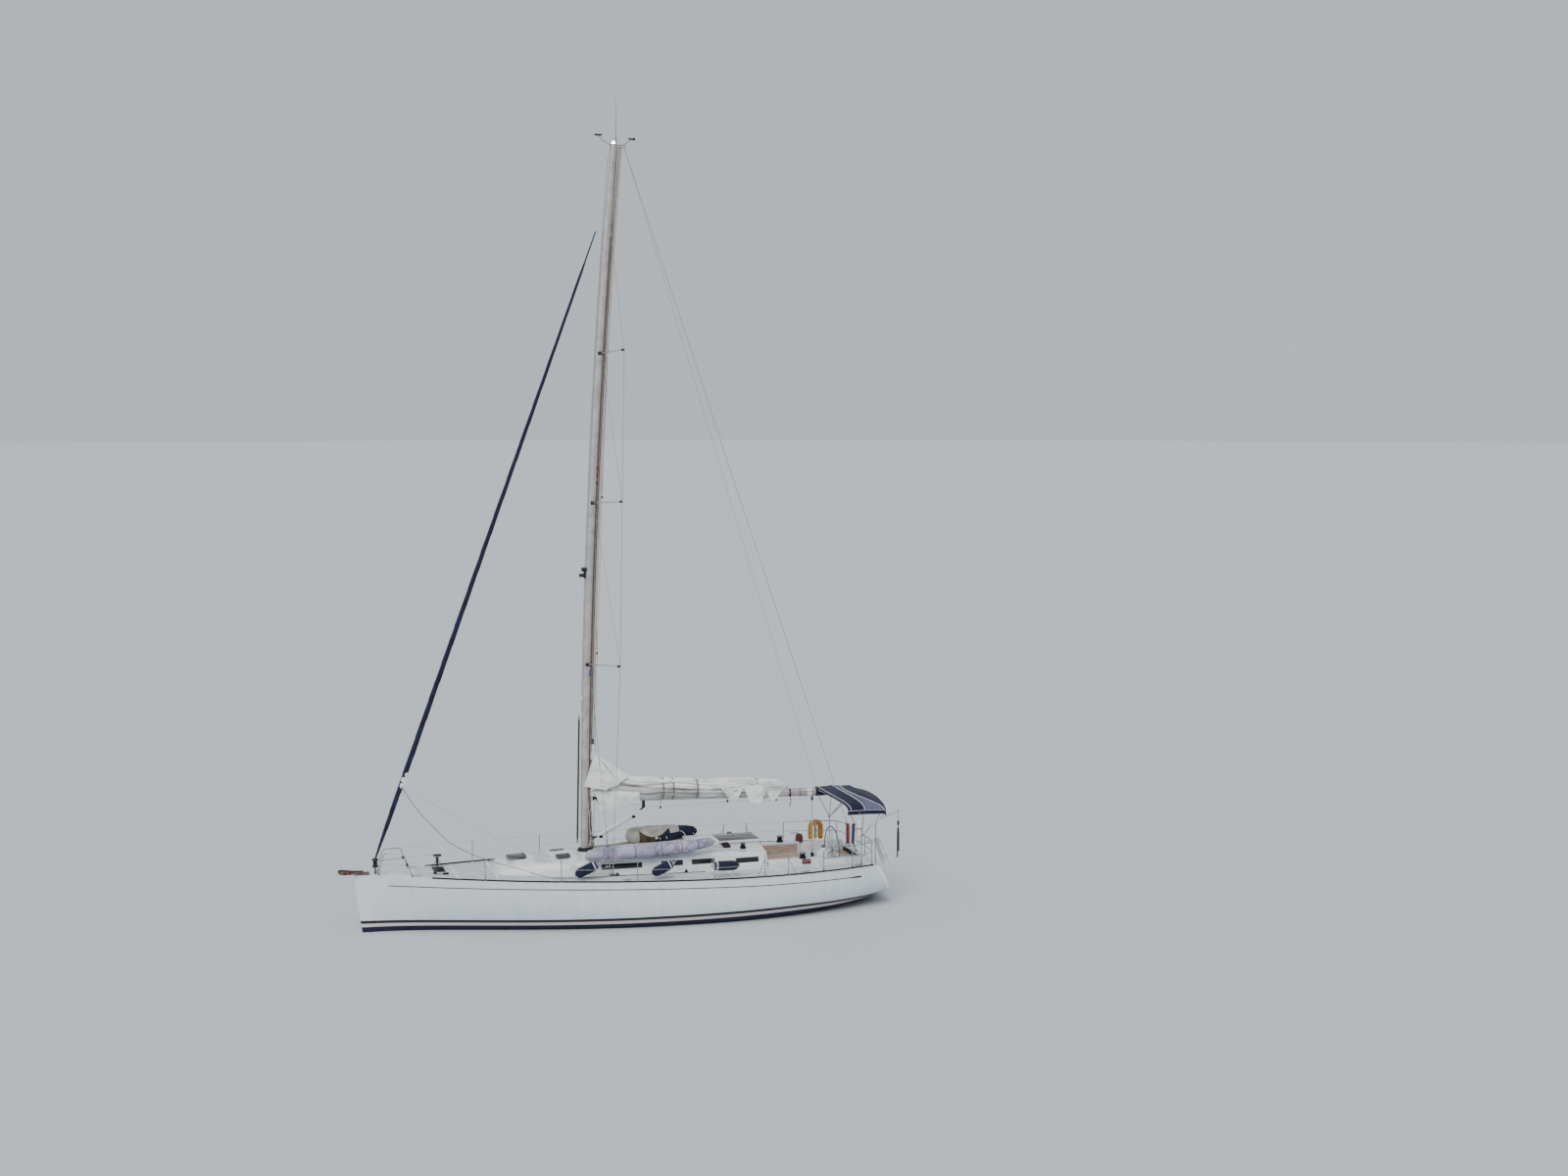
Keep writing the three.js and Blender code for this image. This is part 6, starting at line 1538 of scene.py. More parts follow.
for side in (1, -1):
    spot = Vector((5.83, side * (half_beam(PULPIT_FOOT_X) - 0.130), 1.90))
    slab(pulpit, spot - Vector((0.030, 0.025, 0.045)), spot + Vector((0.030, 0.025, 0.045)), 0.012, 1)
make_piece("pulpit_tubes", pulpit, [stainless, black_plastic], "yacht", "stainless", ["pulpit"], crease=50)

# Bow roller, windlass and chain stopper
# A welded steel roller with a black rubber wheel, its cheeks open to the anchor, and an upright
# windlass by its side whose black head stands on a thin post.

anchor_gear = Solids()
slab(anchor_gear, (6.80, -0.12, 1.640), (7.48, 0.12, 1.654), 0.004)
for y in (-0.12, -0.006, 0.108):
    outline = [(6.95, 1.650), (7.52, 1.645), (7.60, 1.665), (7.64, 1.705), (7.60, 1.740), (7.50, 1.745),
               (7.20, 1.700), (6.95, 1.690)]
    anchor_gear.loft([[(x, y + shift, z) for x, z in outline] for shift in (0.0, 0.012)])
for low_y, high_y in ((-0.106, -0.008), (0.008, 0.106)):
    middle, half = (low_y + high_y) / 2, (high_y - low_y) / 2
    turned(anchor_gear, [(0.020, -half), (0.042, -half), (0.042, -half * 0.6), (0.030, -half * 0.2),
                         (0.030, half * 0.2), (0.042, half * 0.6), (0.042, half), (0.020, half)],
           (7.56, middle, 1.710), 20, 1, axis=(0, 1, 0))
pipe(anchor_gear, [(7.56, -0.128, 1.71), (7.56, 0.128, 1.71)], 0.010, sides=12)
# Weathered steel: the polish is gone, and brown rust has bled over it from the chain. It looks dull
# brown with only a few bright patches.
rusty_steel = mottled("stainless_rust_stained", "#5b4033", "#9a8d84", 70, 5.0, 0.42, 0.70, (0.75, 0.35),
                      Metallic=0.7, Roughness=0.5)
make_piece("bow_roller_plates", anchor_gear, [rusty_steel, black_plastic], "yacht", "stainless",
           ["bow_roller"])
windlass = Solids()
base_z = deck_z(4.9, -0.2)
slab(windlass, (4.74, -0.49, base_z + 0.004), (5.06, 0.13, base_z + 0.030), 0.010)
windlass.loft(tube_rings([(4.90, -0.43, base_z + h) for h in (0.02, 0.10, 0.22, 0.32)],
                         [0.026, 0.026, 0.038, 0.046], 14))
for leg_x, leg_y in ((5.05, -0.40), (4.755, -0.40)):
    pipe(windlass, [(4.90, -0.43, base_z + 0.26), (leg_x, leg_y, base_z + 0.02)], 0.009, sides=8)
turned(windlass, [(0.055, 0.028), (0.050, 0.05), (0.030, 0.07)], (4.90, -0.43, base_z), 20)
slab(windlass, (4.785, -0.47, base_z + 0.31), (5.015, -0.39, base_z + 0.385), 0.022)
turned(windlass, [(0.085, 0.028), (0.085, 0.050), (0.060, 0.062), (0.052, 0.090), (0.070, 0.104),
                  (0.072, 0.122), (0.030, 0.130)], (4.86, 0.01, base_z), 24)
make_piece("windlass_gear", windlass, [black_plastic], "yacht", "black_plastic", ["windlass"])

# Hatches
# Two smoked acrylic lids with rounded corners in black aluminium frames, hinged on their forward
# edges, and two fixed lights of the same make further aft on the roof.


frame_grey = anodised("aluminium_anodised_grey", "#7c8283", "#686d6f", 0.45)


def hatch_lid(solids, centre, length, width, low_z, high_z, tilt):
    """A lid with round corners: the acrylic in a slim frame, turned about its middle."""
    def ring(inset, z):
        points = []
        for cx, cy, a0 in ((1, 1, 0), (-1, 1, 90), (-1, -1, 180), (1, -1, 270)):
            for step in range(5):
                a = math.radians(a0 + step * 22.5)
                r = 0.055 - inset
                points.append(tilt(Vector((centre[0] + cx * (length / 2 - 0.055) + r * math.cos(a),
                                           centre[1] + cy * (width / 2 - 0.055) + r * math.sin(a), z))))
        return [tuple(p) for p in points]
    solids.loft([ring(0.004, low_z), ring(0.0, low_z + 0.004), ring(0.0, high_z - 0.008),
                 ring(0.005, high_z - 0.004), ring(0.030, high_z - 0.003)], 0)
    solids.loft([ring(0.026, low_z + 0.006), ring(0.026, high_z - 0.002), ring(0.034, high_z)], 1)


def roof_lean(cx, cy, length, width):
    """Gives the function that tilts a point with the roof round (cx, cy)."""
    slope_x = (roof_z(cx + length / 2, cy) - roof_z(cx - length / 2, cy)) / length
    slope_y = (roof_z(cx, cy + width / 2) - roof_z(cx, cy - width / 2)) / width

    def lean(p):
        return Vector((p.x, p.y, p.z + slope_x * (p.x - cx) + slope_y * (p.y - cy)))
    return lean


for node, (cx, cy), length, width in (("fore_hatch", (2.78, 0.0), 0.52, 0.52),
                                      ("side_hatch", (1.56, 0.47), 0.40, 0.30)):
    lean = roof_lean(cx, cy, length, width)
    lid = Solids()
    middle_z = roof_z(cx, cy)
    hatch_lid(lid, (cx, cy), length, width, middle_z + 0.026, middle_z + 0.052, lean)
    for y in (-width / 4, width / 4):
        spot = lean(Vector((cx - length / 2 + 0.05, cy + y, middle_z + 0.055)))
        slab(lid, spot - Vector((0.028, 0.014, 0.004)), spot + Vector((0.028, 0.014, 0.010)), 0.005, 0)
    make_piece(f"{node}_lid", lid, [frame_grey, smoked_acrylic], node, "tinted_glass", [node])
fixed_lights = Solids()
for cx, cy, length, width in ((-0.55, 0.62, 0.34, 0.24), (-1.55, 0.66, 0.34, 0.24), (1.56, -0.47, 0.40, 0.30),
                              (-0.55, -0.95, 0.34, 0.20)):
    hatch_lid(fixed_lights, (cx, cy), length, width, roof_z(cx, cy) + 0.001, roof_z(cx, cy) + 0.018,
              roof_lean(cx, cy, length, width))
make_piece("fixed_roof_lights", fixed_lights, [frame_grey, smoked_acrylic], "yacht", "tinted_glass")

# Winches
# Black aluminium drums with ribbed waists and steel self-tailing jaws: one beside each end of the
# bridge on the coaming, and two smaller ones on the roof beside the companionway.

winches = Solids()
WINCH_RIBS = 20


def winch(solids, centre, size):
    profile = [(0.100, 0.0), (0.105, 0.012), (0.100, 0.030), (0.078, 0.045), (0.070, 0.075), (0.070, 0.120),
               (0.084, 0.140)]
    turned(solids, [(r * size, h * size) for r, h in profile], centre, 28, 0)
    turned(solids, [(0.060 * size, 0.138 * size), (0.095 * size, 0.144 * size), (0.095 * size, 0.156 * size),
                    (0.070 * size, 0.162 * size), (0.095 * size, 0.168 * size), (0.095 * size, 0.180 * size),
                    (0.050 * size, 0.190 * size), (0.045 * size, 0.205 * size), (0.030 * size, 0.206 * size)],
           centre, 28, 1)
    for k in range(WINCH_RIBS):
        angle = 2 * math.pi * k / WINCH_RIBS
        spot = Vector(centre) + Vector((0.071 * size * math.cos(angle), 0.071 * size * math.sin(angle), 0))
        pipe(solids, [spot + Vector((0, 0, 0.050 * size)), spot + Vector((0, 0, 0.130 * size))],
             0.0035 * size, sides=5, mark=0)


for side, side_name in ((1, "port"), (-1, "starboard")):
    drum = Solids()
    winch(drum, (-5.20, side * 1.118, 1.483), 1.0)
    make_piece(f"winch_{side_name}_drum", drum, [deck_gear_black, stainless], "yacht", "winch_metal",
               [f"winch_{side_name}"], crease=40)
for x, y in ((-3.55, 0.72), (-3.55, -0.72)):
    turned(winches, [(0.095, 0.0), (0.095, 0.012), (0.085, 0.016)], (x, y, roof_z(x, y) - 0.004), 24, 0)
    winch(winches, (x, y, roof_z(x, y) + 0.010), 0.82)
make_piece("roof_winches", winches, [deck_gear_black, stainless], "yacht", "winch_metal", crease=40)

# Deck gear
# Sheet tracks with their cars, mooring cleats, fairleads, handrails on the roof and the small black
# fittings along the side deck. Cast and extruded aluminium, and polished steel.

HANDRAIL_FRONT, HANDRAIL_BACK = -2.55, -3.55
deck_gear = Solids()
for side in (1, -1):
    rings = []
    for x in np.linspace(0.60, -2.30, 30):
        y = side * 1.300
        z = deck_z(x, y) + 0.001
        rings.append([(x, y - 0.016, z), (x, y + 0.016, z), (x, y + 0.016, z + 0.014),
                      (x, y - 0.016, z + 0.014)])
    deck_gear.loft(rings, 0)
    for x in (0.20, -1.75):
        z = deck_z(x, side * 1.3)
        slab(deck_gear, (x - 0.06, side * 1.3 - 0.025, z + 0.012),
             (x + 0.06, side * 1.3 + 0.025, z + 0.035), 0.008, 0)
        turned(deck_gear, [(0.034, -0.014), (0.036, 0), (0.034, 0.014)], (x, side * 1.3, z + 0.062), 16, 0,
               axis=(0, 1, 0))
    for x in (5.55, 0.05, -5.00, -6.70):
        y = side * (half_beam(x) - 0.13)
        z = deck_z(x, y) if x > -4.1 else sheer_z(x) + 0.002
        for shift in (-0.045, 0.045):
            pipe(deck_gear, [(x + shift, y, z), (x + shift, y, z + 0.045)], 0.012, sides=10, mark=1)
        pipe(deck_gear, [(x - 0.13, y, z + 0.056), (x - 0.06, y, z + 0.048), (x + 0.06, y, z + 0.048),
                         (x + 0.13, y, z + 0.056)], 0.011, sides=10, mark=1)
    front, back, y = HANDRAIL_FRONT, HANDRAIL_BACK, side * 1.02
    path = [(front, y, roof_z(front, y) + 0.006), (front - 0.05, y, roof_z(front, y) + 0.055)]
    path += [(x, y, roof_z(x, y) + 0.060) for x in np.linspace(front - 0.12, back + 0.12, 6)]
    path += [(back + 0.05, y, roof_z(back, y) + 0.055), (back, y, roof_z(back, y) + 0.006)]
    pipe(deck_gear, path, 0.011, sides=10, mark=1)
# The remote box and its lead beside the windlass, as the photograph shows them.
for p, q in (((5.02, 0.27), (5.10, 0.35)), ((4.70, 0.36), (4.86, 0.44))):
    z = deck_z(q[0], q[1])
    slab(deck_gear, (p[0], p[1], z + 0.001), (q[0], q[1], z + 0.050), 0.012, 0)
pipe(deck_gear, [(5.06, 0.31, deck_z(5.06, 0.31) + 0.03), (4.95, 0.40, deck_z(4.95, 0.40) + 0.012),
                 (4.84, 0.40, deck_z(4.84, 0.40) + 0.03)], 0.008, 0.08, 8, 0)
make_piece("deck_fittings", deck_gear, [deck_gear_black, stainless], "yacht", "black_plastic")

# Traveller and steering pedestal
# The sheet's car runs on a black track across the bridge. The pedestal is a white moulding with the
# compass in a cone on its top, a guard tube in front and the engine lever on its side.

track = Solids()
bridge_z = 1.0535
track.loft([[(-5.862, y, bridge_z), (-5.818, y, bridge_z), (-5.818, y, bridge_z + 0.010),
             (-5.826, y, bridge_z + 0.030), (-5.854, y, bridge_z + 0.030), (-5.862, y, bridge_z + 0.010)]
            for y in (-0.70, 0.70)])
for y in (-0.70, 0.70):
    slab(track, (-5.870, y - 0.02, bridge_z), (-5.810, y + 0.02, bridge_z + 0.045), 0.008)
slab(track, (-5.900, -0.065, bridge_z + 0.026), (-5.780, 0.065, bridge_z + 0.066), 0.014)
pipe(track, [(-5.84, 0, bridge_z + 0.06), (-5.84, 0, bridge_z + 0.18)], 0.012, sides=10, mark=1)
slab(track, (SHEET_X - 0.040, -0.024, 1.225), (SHEET_X + 0.040, 0.024, 1.375), 0.020)
for side in (1, -1):
    pipe(track, [(-5.84, side * 0.06, bridge_z + 0.050), (-5.84, side * 0.68, bridge_z + 0.048)], 0.005,
         sides=6, mark=2)
make_piece("traveller_track", track, [deck_gear_black, stainless, rope_white], "yacht", "black_plastic",
           ["traveller"])

pedestal = Solids()


def column_ring(front, back, half, z, round_by=0.045):
    points = []
    for cx, cy, a0 in ((1, 1, 0), (-1, 1, 90), (-1, -1, 180), (1, -1, 270)):
        for step in range(6):
            a = math.radians(a0 + step * 18)
            x = (front + back) / 2 + cx * ((front - back) / 2 - round_by) + round_by * math.cos(a)
            y = cy * (half - round_by) + round_by * math.sin(a)
            points.append((x, y, z))
    return points


pedestal.loft([column_ring(-5.925, -6.310, 0.130, 0.744), column_ring(-5.930, -6.305, 0.128, 0.765),
               column_ring(-5.965, -6.290, 0.112, 1.060), column_ring(-5.965, -6.290, 0.125, 1.110),
               column_ring(-5.965, -6.290, 0.130, 1.140), column_ring(-5.965, -6.290, 0.130, 1.375),
               column_ring(-5.980, -6.275, 0.115, 1.400)], 0)
turned(pedestal, [(0.105, -0.006), (0.105, 0.040), (0.096, 0.060), (0.075, 0.095)], (-6.18, 0, 1.400), 28, 0)
turned(pedestal, [(0.070, 0.092), (0.066, 0.118), (0.050, 0.145), (0.026, 0.165), (0.004, 0.172)],
       (-6.18, 0, 1.400), 28, 2)
turned(pedestal, [(0.060, 0.0), (0.060, 0.090), (0.050, 0.104)], (-6.285, 0, 1.390), 24, 0, axis=(-1, 0, 0))
pipe(pedestal, [(-5.86, 0.11, 0.745), (-5.86, 0.11, 1.36), (-5.86, 0.05, 1.44), (-5.86, -0.05, 1.44),
                (-5.86, -0.11, 1.36), (-5.86, -0.11, 0.745)], 0.0125, 0.07, 12, 1)
turned(pedestal, [(0.022, 0.0), (0.022, 0.02), (0.014, 0.026)], (-6.13, -0.128, 1.26), 16, 1, axis=(0, -1, 0))
pipe(pedestal, [(-6.13, -0.150, 1.26), (-6.11, -0.165, 1.36)], 0.007, sides=8, mark=1)
turned(pedestal, [(0.014, 0.0), (0.016, 0.014), (0.004, 0.026)], (-6.11, -0.165, 1.355), 12, 3)
# A clear acrylic dome over dark oil: smooth, with sharp highlights.
compass_glass = mottled("acrylic_dome_clear_dark", "#2b2f36", "#4a515c", 30, Roughness=0.06, IOR=1.49,
                        Coat_Weight=0.6)
make_piece("pedestal_column", pedestal, [gelcoat_roof, stainless, compass_glass, black_plastic], "yacht",
           "deck_gelcoat", ["pedestal"], crease=40)

# Wheel
# A rim of steel tube covered in grey leather, stitched along its inner side, on six steel spokes.

WHEEL_X, WHEEL_Z, WHEEL_R = -6.450, 1.390, 0.690
# Smooth leather: dark grey and paler where hands wear it, with a 4 mm grain.
leather = mottled("leather_grey_stitched_smooth", "#4a4b4e", "#66686c", 35, relief=(4, 3.0, 0.3),
                  Roughness=0.55, IOR=1.48)
wheel = Solids()
RIM_STEPS = 96
rim_rings = []
for k in range(RIM_STEPS):
    angle = 2 * math.pi * k / RIM_STEPS
    out = Vector((0, math.cos(angle), math.sin(angle)))
    rim_rings.append(round_ring(Vector((WHEEL_X, 0, WHEEL_Z)) + out * WHEEL_R, (0.0152, 0.0152), out,
                                (1, 0, 0), 12))
wheel_points = [p for ring in rim_rings for p in ring]
wheel_faces = [(i * 12 + j, i * 12 + (j + 1) % 12, ((i + 1) % RIM_STEPS) * 12 + (j + 1) % 12,
                ((i + 1) % RIM_STEPS) * 12 + j) for i in range(RIM_STEPS) for j in range(12)]
wheel.add(wheel_points, wheel_faces, 1)
for k in range(6):
    angle = math.radians(30 + 60 * k)
    out = Vector((0, math.cos(angle), math.sin(angle)))
    wheel.loft(tube_rings([Vector((WHEEL_X, 0, WHEEL_Z)) + out * r for r in (0.03, 0.12, 0.64, 0.684)],
                          [0.010, 0.0085, 0.0085, 0.011], 10), 0)
turned(wheel, [(0.046, -0.028), (0.048, -0.020), (0.048, 0.020), (0.040, 0.034), (0.022, 0.044),
               (0.010, 0.048)], (WHEEL_X, 0, WHEEL_Z), 24, 0, axis=(-1, 0, 0))
make_piece("wheel_rim_and_spokes", wheel, [stainless, leather], "wheel", "stainless", ["wheel"], crease=50)
stitch_thread = mottled("thread_waxed_white", "#b9b8b2", "#d8d7d2", 10, Roughness=0.8)
repeated_along("wheel_stitches", [[(WHEEL_X + 0.0115, (WHEEL_R - 0.0110) * math.cos(a),
                                    WHEEL_Z + (WHEEL_R - 0.0110) * math.sin(a))
                                   for a in np.linspace(0, 2 * math.pi, 97)]], 0.020, (0.003, 0.007, 0.003),
               stitch_thread, "wheel", "stainless")

# Bimini
# A roof of acrylic canvas over the helm: navy in front and behind, faded grey-violet between, with
# white piping on its seams and short sides. It is stretched over four bent steel hoops.

CANVAS_HOOPS = [(-6.105, 0.315, 3.165, 2.835), (-6.640, 0.280, 3.185, 2.835), (-7.160, 0.350, 3.150, 2.815),
                (-7.660, -0.080, 3.010, 2.745)]
BIMINI_HALF = 1.500


def hoop_point(angle, hoop, inset=0.0, drop=0.0, shift=0.0, lean=None):
    x, own_lean, top, side = hoop
    share = math.cos(angle)
    own_lean = own_lean if lean is None else lean
    return Vector((x + shift - own_lean * share * share, (BIMINI_HALF - inset) * share,
                   side - drop + (top - side) * math.sin(angle) ** 0.8))


frame_tubes = Solids()
for k, (shift, lean) in enumerate(((-0.050, None), (0.0, None), (0.010, None), (0.060, -0.020))):
    arc = [hoop_point(a, CANVAS_HOOPS[k], 0.050, 0.045, shift, lean) for a in np.linspace(0.0, math.pi, 33)]
    hinge = Vector((-6.850, 1.450, 2.060))
    path = [hinge, hinge.lerp(arc[0], 0.85)] + arc[1:-1]
    other = Vector((hinge.x, -hinge.y, hinge.z))
    path += [other.lerp(arc[-1], 0.85), other]
    pipe(frame_tubes, path, 0.0125, 0.10, 10)
for side in (1, -1):
    foot = Vector((-6.850, side * 1.450, deck_z(-6.85, side * 1.45) + 0.004))
    pipe(frame_tubes, [foot, (-6.850, side * 1.450, 2.060)], 0.0145, sides=12)
    socket(frame_tubes, foot, (0, 0, 1))
    turned(frame_tubes, [(0.022, -0.022), (0.026, -0.015), (0.026, 0.015), (0.022, 0.022)],
           (-6.850, side * 1.450, 2.060), 16, axis=(0, 1, 0))
make_piece("bimini_hoops", frame_tubes, [stainless], "yacht", "stainless", ["bimini_frame"], crease=50)

two_cloths, tree, shader = start_material("acrylic_canvas_navy_and_violet_grey", Roughness=0.88,
                                          Sheen_Weight=0.05)
violet = between(tree, uneven(tree, 900, 3.0), linear("#4c4f6c"), linear("#5b5e7b"))
navy = between(tree, uneven(tree, 500, 3.0), linear("#0a0c2a"), linear("#151944"))
panel = add_node(tree, "ShaderNodeAttribute", attribute_name="inside_violet_panel").outputs["Fac"]
edge = add_node(tree, "ShaderNodeMapRange", {"Value": panel, "From Min": -0.03, "From Max": 0.03})
tree.links.new(blended(tree, edge.outputs["Result"], navy, violet), shader.inputs["Base Color"])
raised(tree, shader, uneven(tree, 6, 2.0), 0.4)
# Acrylic binding tape folded round a cord: white and matt.
piping_cloth = mottled("piping_cloth_white", "#c9c6c4", "#ecebe8", 60, Roughness=0.7, Sheen_Weight=0.2)
canvas_angles = sorted(set([float(a) for a in np.linspace(0, math.pi, 61)]
                           + [math.acos(0.02), math.acos(-0.02)]))
# Each row of the canvas lies behind hoop k, at this share of the way to the next hoop.
canvas_rows = [(k, step / 8) for k in range(len(CANVAS_HOOPS) - 1) for step in range(8)] + [(2, 1.0)]
SLIT_ROWS = (6, 8)
canvas = bpy.data.meshes.new("bimini_roof_cloth")
points, faces, marks = [], [], []
columns = len(canvas_angles)
VALANCE = 0.125
for k, share in canvas_rows:
    front, back = CANVAS_HOOPS[k], CANVAS_HOOPS[k + 1]
    row = []
    for angle in canvas_angles:
        point = hoop_point(angle, front).lerp(hoop_point(angle, back), share)
        slack = -0.016 * math.sin(math.pi * share) * math.sin(angle) ** 0.5
        ripple = 0.004 * noise.noise(Vector((point.x * 3.0, point.y * 3.0, 1.0)))
        row.append(point + Vector((0, 0, slack + ripple - 0.002)))
    side_z = front[3] + (back[3] - front[3]) * share
    wave = 0.006 * math.sin(row[0].x * 11.0)
    left = [Vector((row[0].x, row[0].y + wave * t, side_z - VALANCE * t)) for t in (1.0, 0.5)]
    right = [Vector((row[-1].x, row[-1].y - wave * t, side_z - VALANCE * t)) for t in (0.5, 1.0)]
    points += left + row + right
width = columns + 4
slit_low = 2 + canvas_angles.index(math.acos(0.02))
slit_high = 2 + canvas_angles.index(math.acos(-0.02))
for i in range(len(canvas_rows) - 1):
    for j in range(width - 1):
        if SLIT_ROWS[0] <= i < SLIT_ROWS[1] and slit_low <= j < slit_high:
            continue
        faces.append((i * width + j, i * width + j + 1, (i + 1) * width + j + 1, (i + 1) * width + j))
        marks.append(1 if 2 <= j < width - 3 else 0)
canvas.from_pydata([tuple(p) for p in points], [], faces)
canvas.polygons.foreach_set("material_index", marks)
canvas.materials.append(navy_cloth)
canvas.materials.append(two_cloths)


def rear_seam_row(angle):
    """The seam behind the violet panel runs forward as it climbs from the canvas's lower edge."""
    return 16.0 - 5.0 * math.sin(angle) ** 1.3


def seam_path(row_at, trim=2):
    """Points of the canvas along a seam, which may cross its rows."""
    path = []
    for j in range(trim, width - trim):
        row = row_at(canvas_angles[min(max(j - 2, 0), columns - 1)])
        first = min(int(row), len(canvas_rows) - 2)
        path.append(points[first * width + j].lerp(points[(first + 1) * width + j], row - first))
    return path


inside = []
for i in range(len(canvas_rows)):
    for j in range(width):
        inside.append(min(i - 8.0, rear_seam_row(canvas_angles[min(max(j - 2, 0), columns - 1)]) - i))
roof_cloth = new_object("bimini_roof_cloth", canvas)
give_values(roof_cloth, "inside_violet_panel", inside)
thickness = roof_cloth.modifiers.new("thickness", "SOLIDIFY")
thickness.thickness = 0.003
thickness.offset = 0.0
make_solid(roof_cloth)
smooth_up_to(roof_cloth.data, 40)
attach(roof_cloth, "yacht")
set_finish(roof_cloth, "navy_cloth")
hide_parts("bimini_canvas")
piping = Solids()
SEAMS = (lambda a: 1.6, lambda a: 8.0, rear_seam_row, lambda a: 24.0)
for row_at in SEAMS:
    pipe(piping, [p + Vector((0, 0, 0.002)) for p in seam_path(row_at)], 0.009, sides=6)
for j in (0, 2, width - 3, width - 1):
    pipe(piping, [points[i * width + j] for i in range(25)], 0.006, sides=6)
hems = make_piece("bimini_piping", piping, [piping_cloth], "yacht", "navy_cloth")
seams = []
for row_at, inset in zip(SEAMS, (0.02, 0.02, 0.02, -0.02)):
    seams.append([p + Vector((-inset, 0, 0.0035)) for p in seam_path(row_at, 4)])
repeated_along("bimini_stitches", seams, 0.030, (0.012, 0.003, 0.002), stitch_thread, "yacht", "navy_cloth")

# Stern rail
# Bent tube on bolted sockets round the after deck, in two heights.

stern_rail = Solids()
rail_posts = (STERN_RAIL_X, -6.480, -7.120)


def rail_y(x, side):
    return side * (half_beam(x) - 0.110)


for dz, radius in ((0.62, 0.013), (0.33, 0.010)):
    z = STERN_DECK_Z + dz
    port_run = [Vector((x, rail_y(x, 1), z)) for x in rail_posts] + [Vector((-7.21, 1.2, z))]
    run = port_run + [Vector((-7.21, 0, z + 0.004))] + [Vector((p.x, -p.y, p.z)) for p in reversed(port_run)]
    if dz > 0.5:
        ends = [Vector((STERN_RAIL_X, rail_y(STERN_RAIL_X, side), STERN_DECK_Z)) for side in (1, -1)]
        run = ends[:1] + run + ends[1:]
    pipe(stern_rail, run, radius, 0.10, 14)
for side in (1, -1):
    for x, y in [(x, rail_y(x, side)) for x in rail_posts] + [(-7.215, side * 0.70)]:
        z = STERN_DECK_Z if x == STERN_RAIL_X else deck_z(x, y) + 0.004
        socket(stern_rail, (x, y, z), (0, 0, 1))
        if x != STERN_RAIL_X:
            pipe(stern_rail, [(x, y, z), (x, y, STERN_DECK_Z + 0.62)], 0.012, sides=12)
make_piece("stern_rail_tubes", stern_rail, [stainless], "yacht", "stainless", ["pushpit"], crease=50)

# Stern hoist
# A slim post on the port quarter with a swinging arm. A black tackle hangs from the arm on a strop,
# and two tails of rope lead down from it.

hoist = Solids()
post_x, post_y = -7.220, 1.600
pipe(hoist, [(post_x, post_y, 1.29), (post_x, post_y, 2.46), (post_x - 0.10, post_y, 2.57),
             (post_x - 0.72, post_y, 2.785)], 0.016, 0.09, 14)
turned(hoist, [(0.030, 0.0), (0.032, 0.01), (0.022, 0.02), (0.022, 0.09), (0.018, 0.10)],
       (post_x, post_y, 1.29), 16)
turned(hoist, [(0.020, 0.0), (0.020, 0.02)], (post_x - 0.70, post_y, 2.768), 12)
pipe(hoist, [(post_x - 0.68, post_y, 2.765), (post_x - 0.68, post_y, 2.48)], 0.006, sides=8, mark=1)
for z0, z1 in ((2.36, 2.50), (2.15, 2.29)):
    slab(hoist, (post_x - 0.710, post_y - 0.022, z0), (post_x - 0.650, post_y + 0.022, z1), 0.018, 2)
for shift in (-0.012, 0.0, 0.012):
    pipe(hoist, [(post_x - 0.68 + shift, post_y, 2.37), (post_x - 0.68 + shift, post_y, 2.28)], 0.005,
         sides=6, mark=1)
slab(hoist, (post_x - 0.722, post_y - 0.018, 1.60), (post_x - 0.684, post_y - 0.006, 2.17), 0.005, 2)
slab(hoist, (post_x - 0.676, post_y + 0.006, 1.43), (post_x - 0.638, post_y + 0.018, 2.17), 0.005, 2)
make_piece("stern_hoist", hoist, [stainless, rope_dark, black_plastic], "davit", "stainless", ["davit"],
           crease=50)

# Gangway
# A folded boarding plank in white glass fibre laminate with a dark groove where its two halves meet.
# It hangs behind the stern rail on two steel arms.

# Gelcoated laminate: glossy and white, with broad grey stains.
laminate_white = mottled("laminate_gelcoated_white", "#c8c6cb", "#eeeef2", 240, Roughness=0.3, IOR=1.5,
                         Coat_Weight=0.3)
plank = Solids()
outline = [Vector((-7.520, 0, 1.790)), Vector((-7.610, 0, 1.825)), Vector((-7.935, 0, 1.150)),
           Vector((-7.760, 0, 1.050))]
for low_y, high_y, inset, mark in ((0.620, 0.655, 0.0, 0), (0.655, 0.985, 0.012, 0), (0.985, 1.020, 0.0, 0)):
    middle = sum(outline, Vector()) / 4
    rings = []
    for y, extra in ((low_y, 0.006), (low_y + 0.006, 0.0), (high_y - 0.006, 0.0), (high_y, 0.006)):
        ring = []
        for i, corner in enumerate(outline):
            before, after = outline[i - 1], outline[(i + 1) % 4]
            for t in (0.04, 0.0, -0.04):
                target = before if t > 0 else after
                spot = corner.lerp(target, abs(t) * (1 if t else 0))
                spot = spot + (middle - spot).normalized() * (inset + extra)
                ring.append((spot.x, y, spot.z))
        rings.append(ring)
    plank.loft(rings, mark)
slab(plank, (-0.004, -0.001, -0.36), (0.004, 0.008, 0.34), 0.001, 1,
     turn=lambda p: Vector((-7.712 + p.x - p.z * -0.455, 1.0195 + p.y, 1.45 + p.z)))
